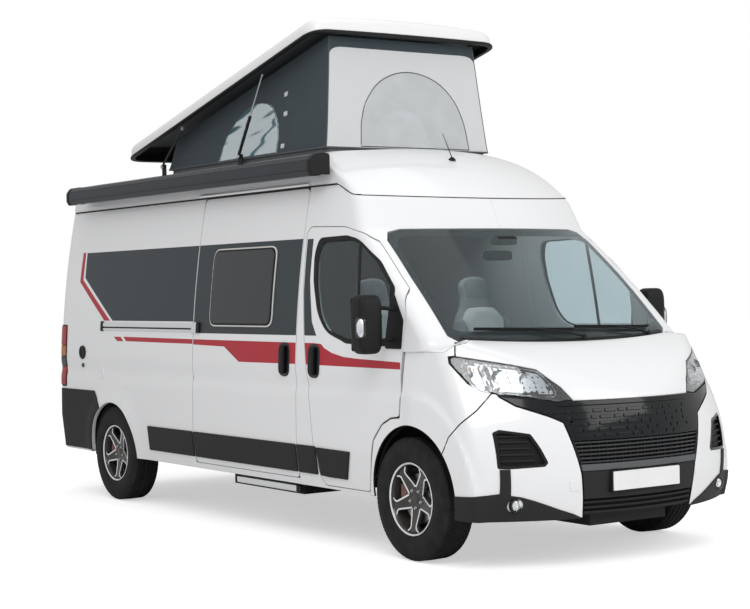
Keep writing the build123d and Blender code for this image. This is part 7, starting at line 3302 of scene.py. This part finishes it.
@dataclass
class Studio:
    """Camera, lamps and floor."""

    lamps: tuple = (
        ("key", (-5.5, -7.5, 7.0), (0, -0.5, 1.2), (6, 4), 310),
        ("front_fill", (3.5, -9.0, 4.5), (0, -1.5, 1.2), (5, 4), 165),
        ("top", (0, 0.5, 8.5), (0, 0, 1.5), (6, 8), 120),
        ("cabin", (0, -0.75, 2.15), (0, -1.25, 1.0), (1.1, 0.5), 5),
    )
    floor_radius: float = 60.0
    floor_glow: float = 0.52
    world_light: float = 0.65
    eye: tuple[float, float, float] = (-6.877, -10.285, 1.636)
    azimuth: float = -34.374
    elevation: float = 1.239
    roll: float = -1.141
    focal_px: float = 1700.0
    centre_px: tuple[float, float] = (375.18, 324.92)
    frame_px: tuple[int, int] = (750, 609)

    def camera(self) -> None:
        """Camera at the calibrated eye: azimuth about Z, elevation above the horizon, then roll."""
        data = bpy.data.cameras.new("camera")
        camera = bpy.data.objects.new("camera", data)
        bpy.context.scene.collection.objects.link(camera)
        wide, tall = self.frame_px
        data.sensor_width = 36.0
        data.lens = self.focal_px / wide * data.sensor_width
        data.shift_x = (wide / 2 - self.centre_px[0]) / wide
        data.shift_y = (self.centre_px[1] - tall / 2) / wide
        turn = Matrix.Rotation(math.radians(self.azimuth), 4, "Z")
        tilt = Matrix.Rotation(math.radians(90 - self.elevation), 4, "X")
        roll = Matrix.Rotation(math.radians(self.roll), 4, "Z")
        camera.matrix_world = Matrix.Translation(self.eye) @ turn @ tilt @ roll
        data.clip_end = 200
        bpy.context.scene.camera = camera

    def lamp(self, name: str, at: Sequence[float], to: Sequence[float], size: tuple[float, float],
             watts: float) -> None:
        """Soft rectangular lamp that faces a point.

        Args:
            name: Name.
            at: Its place.
            to: Point that it faces.
            size: Width and height.
            watts: Power.
        """
        data = bpy.data.lights.new(name, "AREA")
        data.shape, data.size, data.size_y, data.energy = "RECTANGLE", size[0], size[1], watts
        lamp = bpy.data.objects.new(name, data)
        lamp.location = at
        lamp.rotation_euler = (Vector(to) - Vector(at)).to_track_quat("-Z", "Y").to_euler()
        bpy.context.scene.collection.objects.link(lamp)

    def floor(self) -> None:
        """Pale floor disc with a soft shadow, and a world of the same pale light."""
        s = Shader("floor_paper")
        paper = s.blend(s.noise(0.6, 2), (0.80, 0.80, 0.805), (0.83, 0.83, 0.83))
        pale = s.node("ShaderNodeBsdfDiffuse", inputs={"Color": paper})
        glow = s.node("ShaderNodeEmission", inputs={"Color": (1.0, 1.0, 1.0), "Strength": self.floor_glow})
        none = s.node("ShaderNodeEmission", inputs={"Color": (0.0, 0.0, 0.0), "Strength": 0.0})
        seen = s.node("ShaderNodeLightPath", out="Is Camera Ray")
        shown = s.node("ShaderNodeMixShader", inputs={0: seen, 1: none, 2: glow})
        s.node_output(s.node("ShaderNodeAddShader", inputs={0: pale, 1: shown}))
        radius = np.linspace(0, self.floor_radius, 12)[None, :, None]
        angle = np.linspace(0, TURN, 64, endpoint=False)[:, None, None]
        disc = np.concatenate([radius * np.cos(angle), radius * np.sin(angle), 0 * radius * angle], 2)
        index = np.arange(64 * 12).reshape(64, 12)
        index = np.concatenate([index, index[:1]], 0)
        faces = np.stack([index[:-1, :-1], index[:-1, 1:], index[1:, 1:], index[1:, :-1]], -1).reshape(-1, 4)
        mesh = bpy.data.meshes.new("floor")
        mesh.from_pydata(disc.reshape(-1, 3).tolist(), [], faces.tolist())
        mesh.materials.append(s.material)
        floor = bpy.data.objects.new("floor", mesh)
        floor.location.z = -0.001
        bpy.context.scene.collection.objects.link(floor)

    def world(self) -> None:
        """White behind the van, a plain pale light on it."""
        world = bpy.data.worlds.new("studio")
        bpy.context.scene.world = world
        world.use_nodes = True
        tree = world.node_tree
        back = tree.nodes["Background"]
        path = tree.nodes.new("ShaderNodeLightPath")
        seen = tree.nodes.new("ShaderNodeMath")
        seen.operation = "MAXIMUM"
        tree.links.new(path.outputs["Is Camera Ray"], seen.inputs[0])
        tree.links.new(path.outputs["Is Transmission Ray"], seen.inputs[1])
        strength = tree.nodes.new("ShaderNodeMapRange")
        strength.inputs["To Min"].default_value = self.world_light
        tree.links.new(seen.outputs[0], strength.inputs["Value"])
        tree.links.new(strength.outputs[0], back.inputs["Strength"])
        back.inputs["Color"].default_value = (1.0, 1.0, 1.0, 1.0)

    def build(self) -> None:
        """Camera, floor, world and four soft lamps."""
        self.camera()
        self.floor()
        self.world()
        for row in self.lamps:
            self.lamp(*row)
        bpy.context.scene.view_settings.view_transform = "Standard"


def main() -> None:
    """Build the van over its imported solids, in order."""
    logging.basicConfig(level=logging.INFO, format="%(name)s: %(message)s")
    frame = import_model()
    Studio().build()
    for part in parts():
        part.build()


if __name__ == "__main__":
    main()
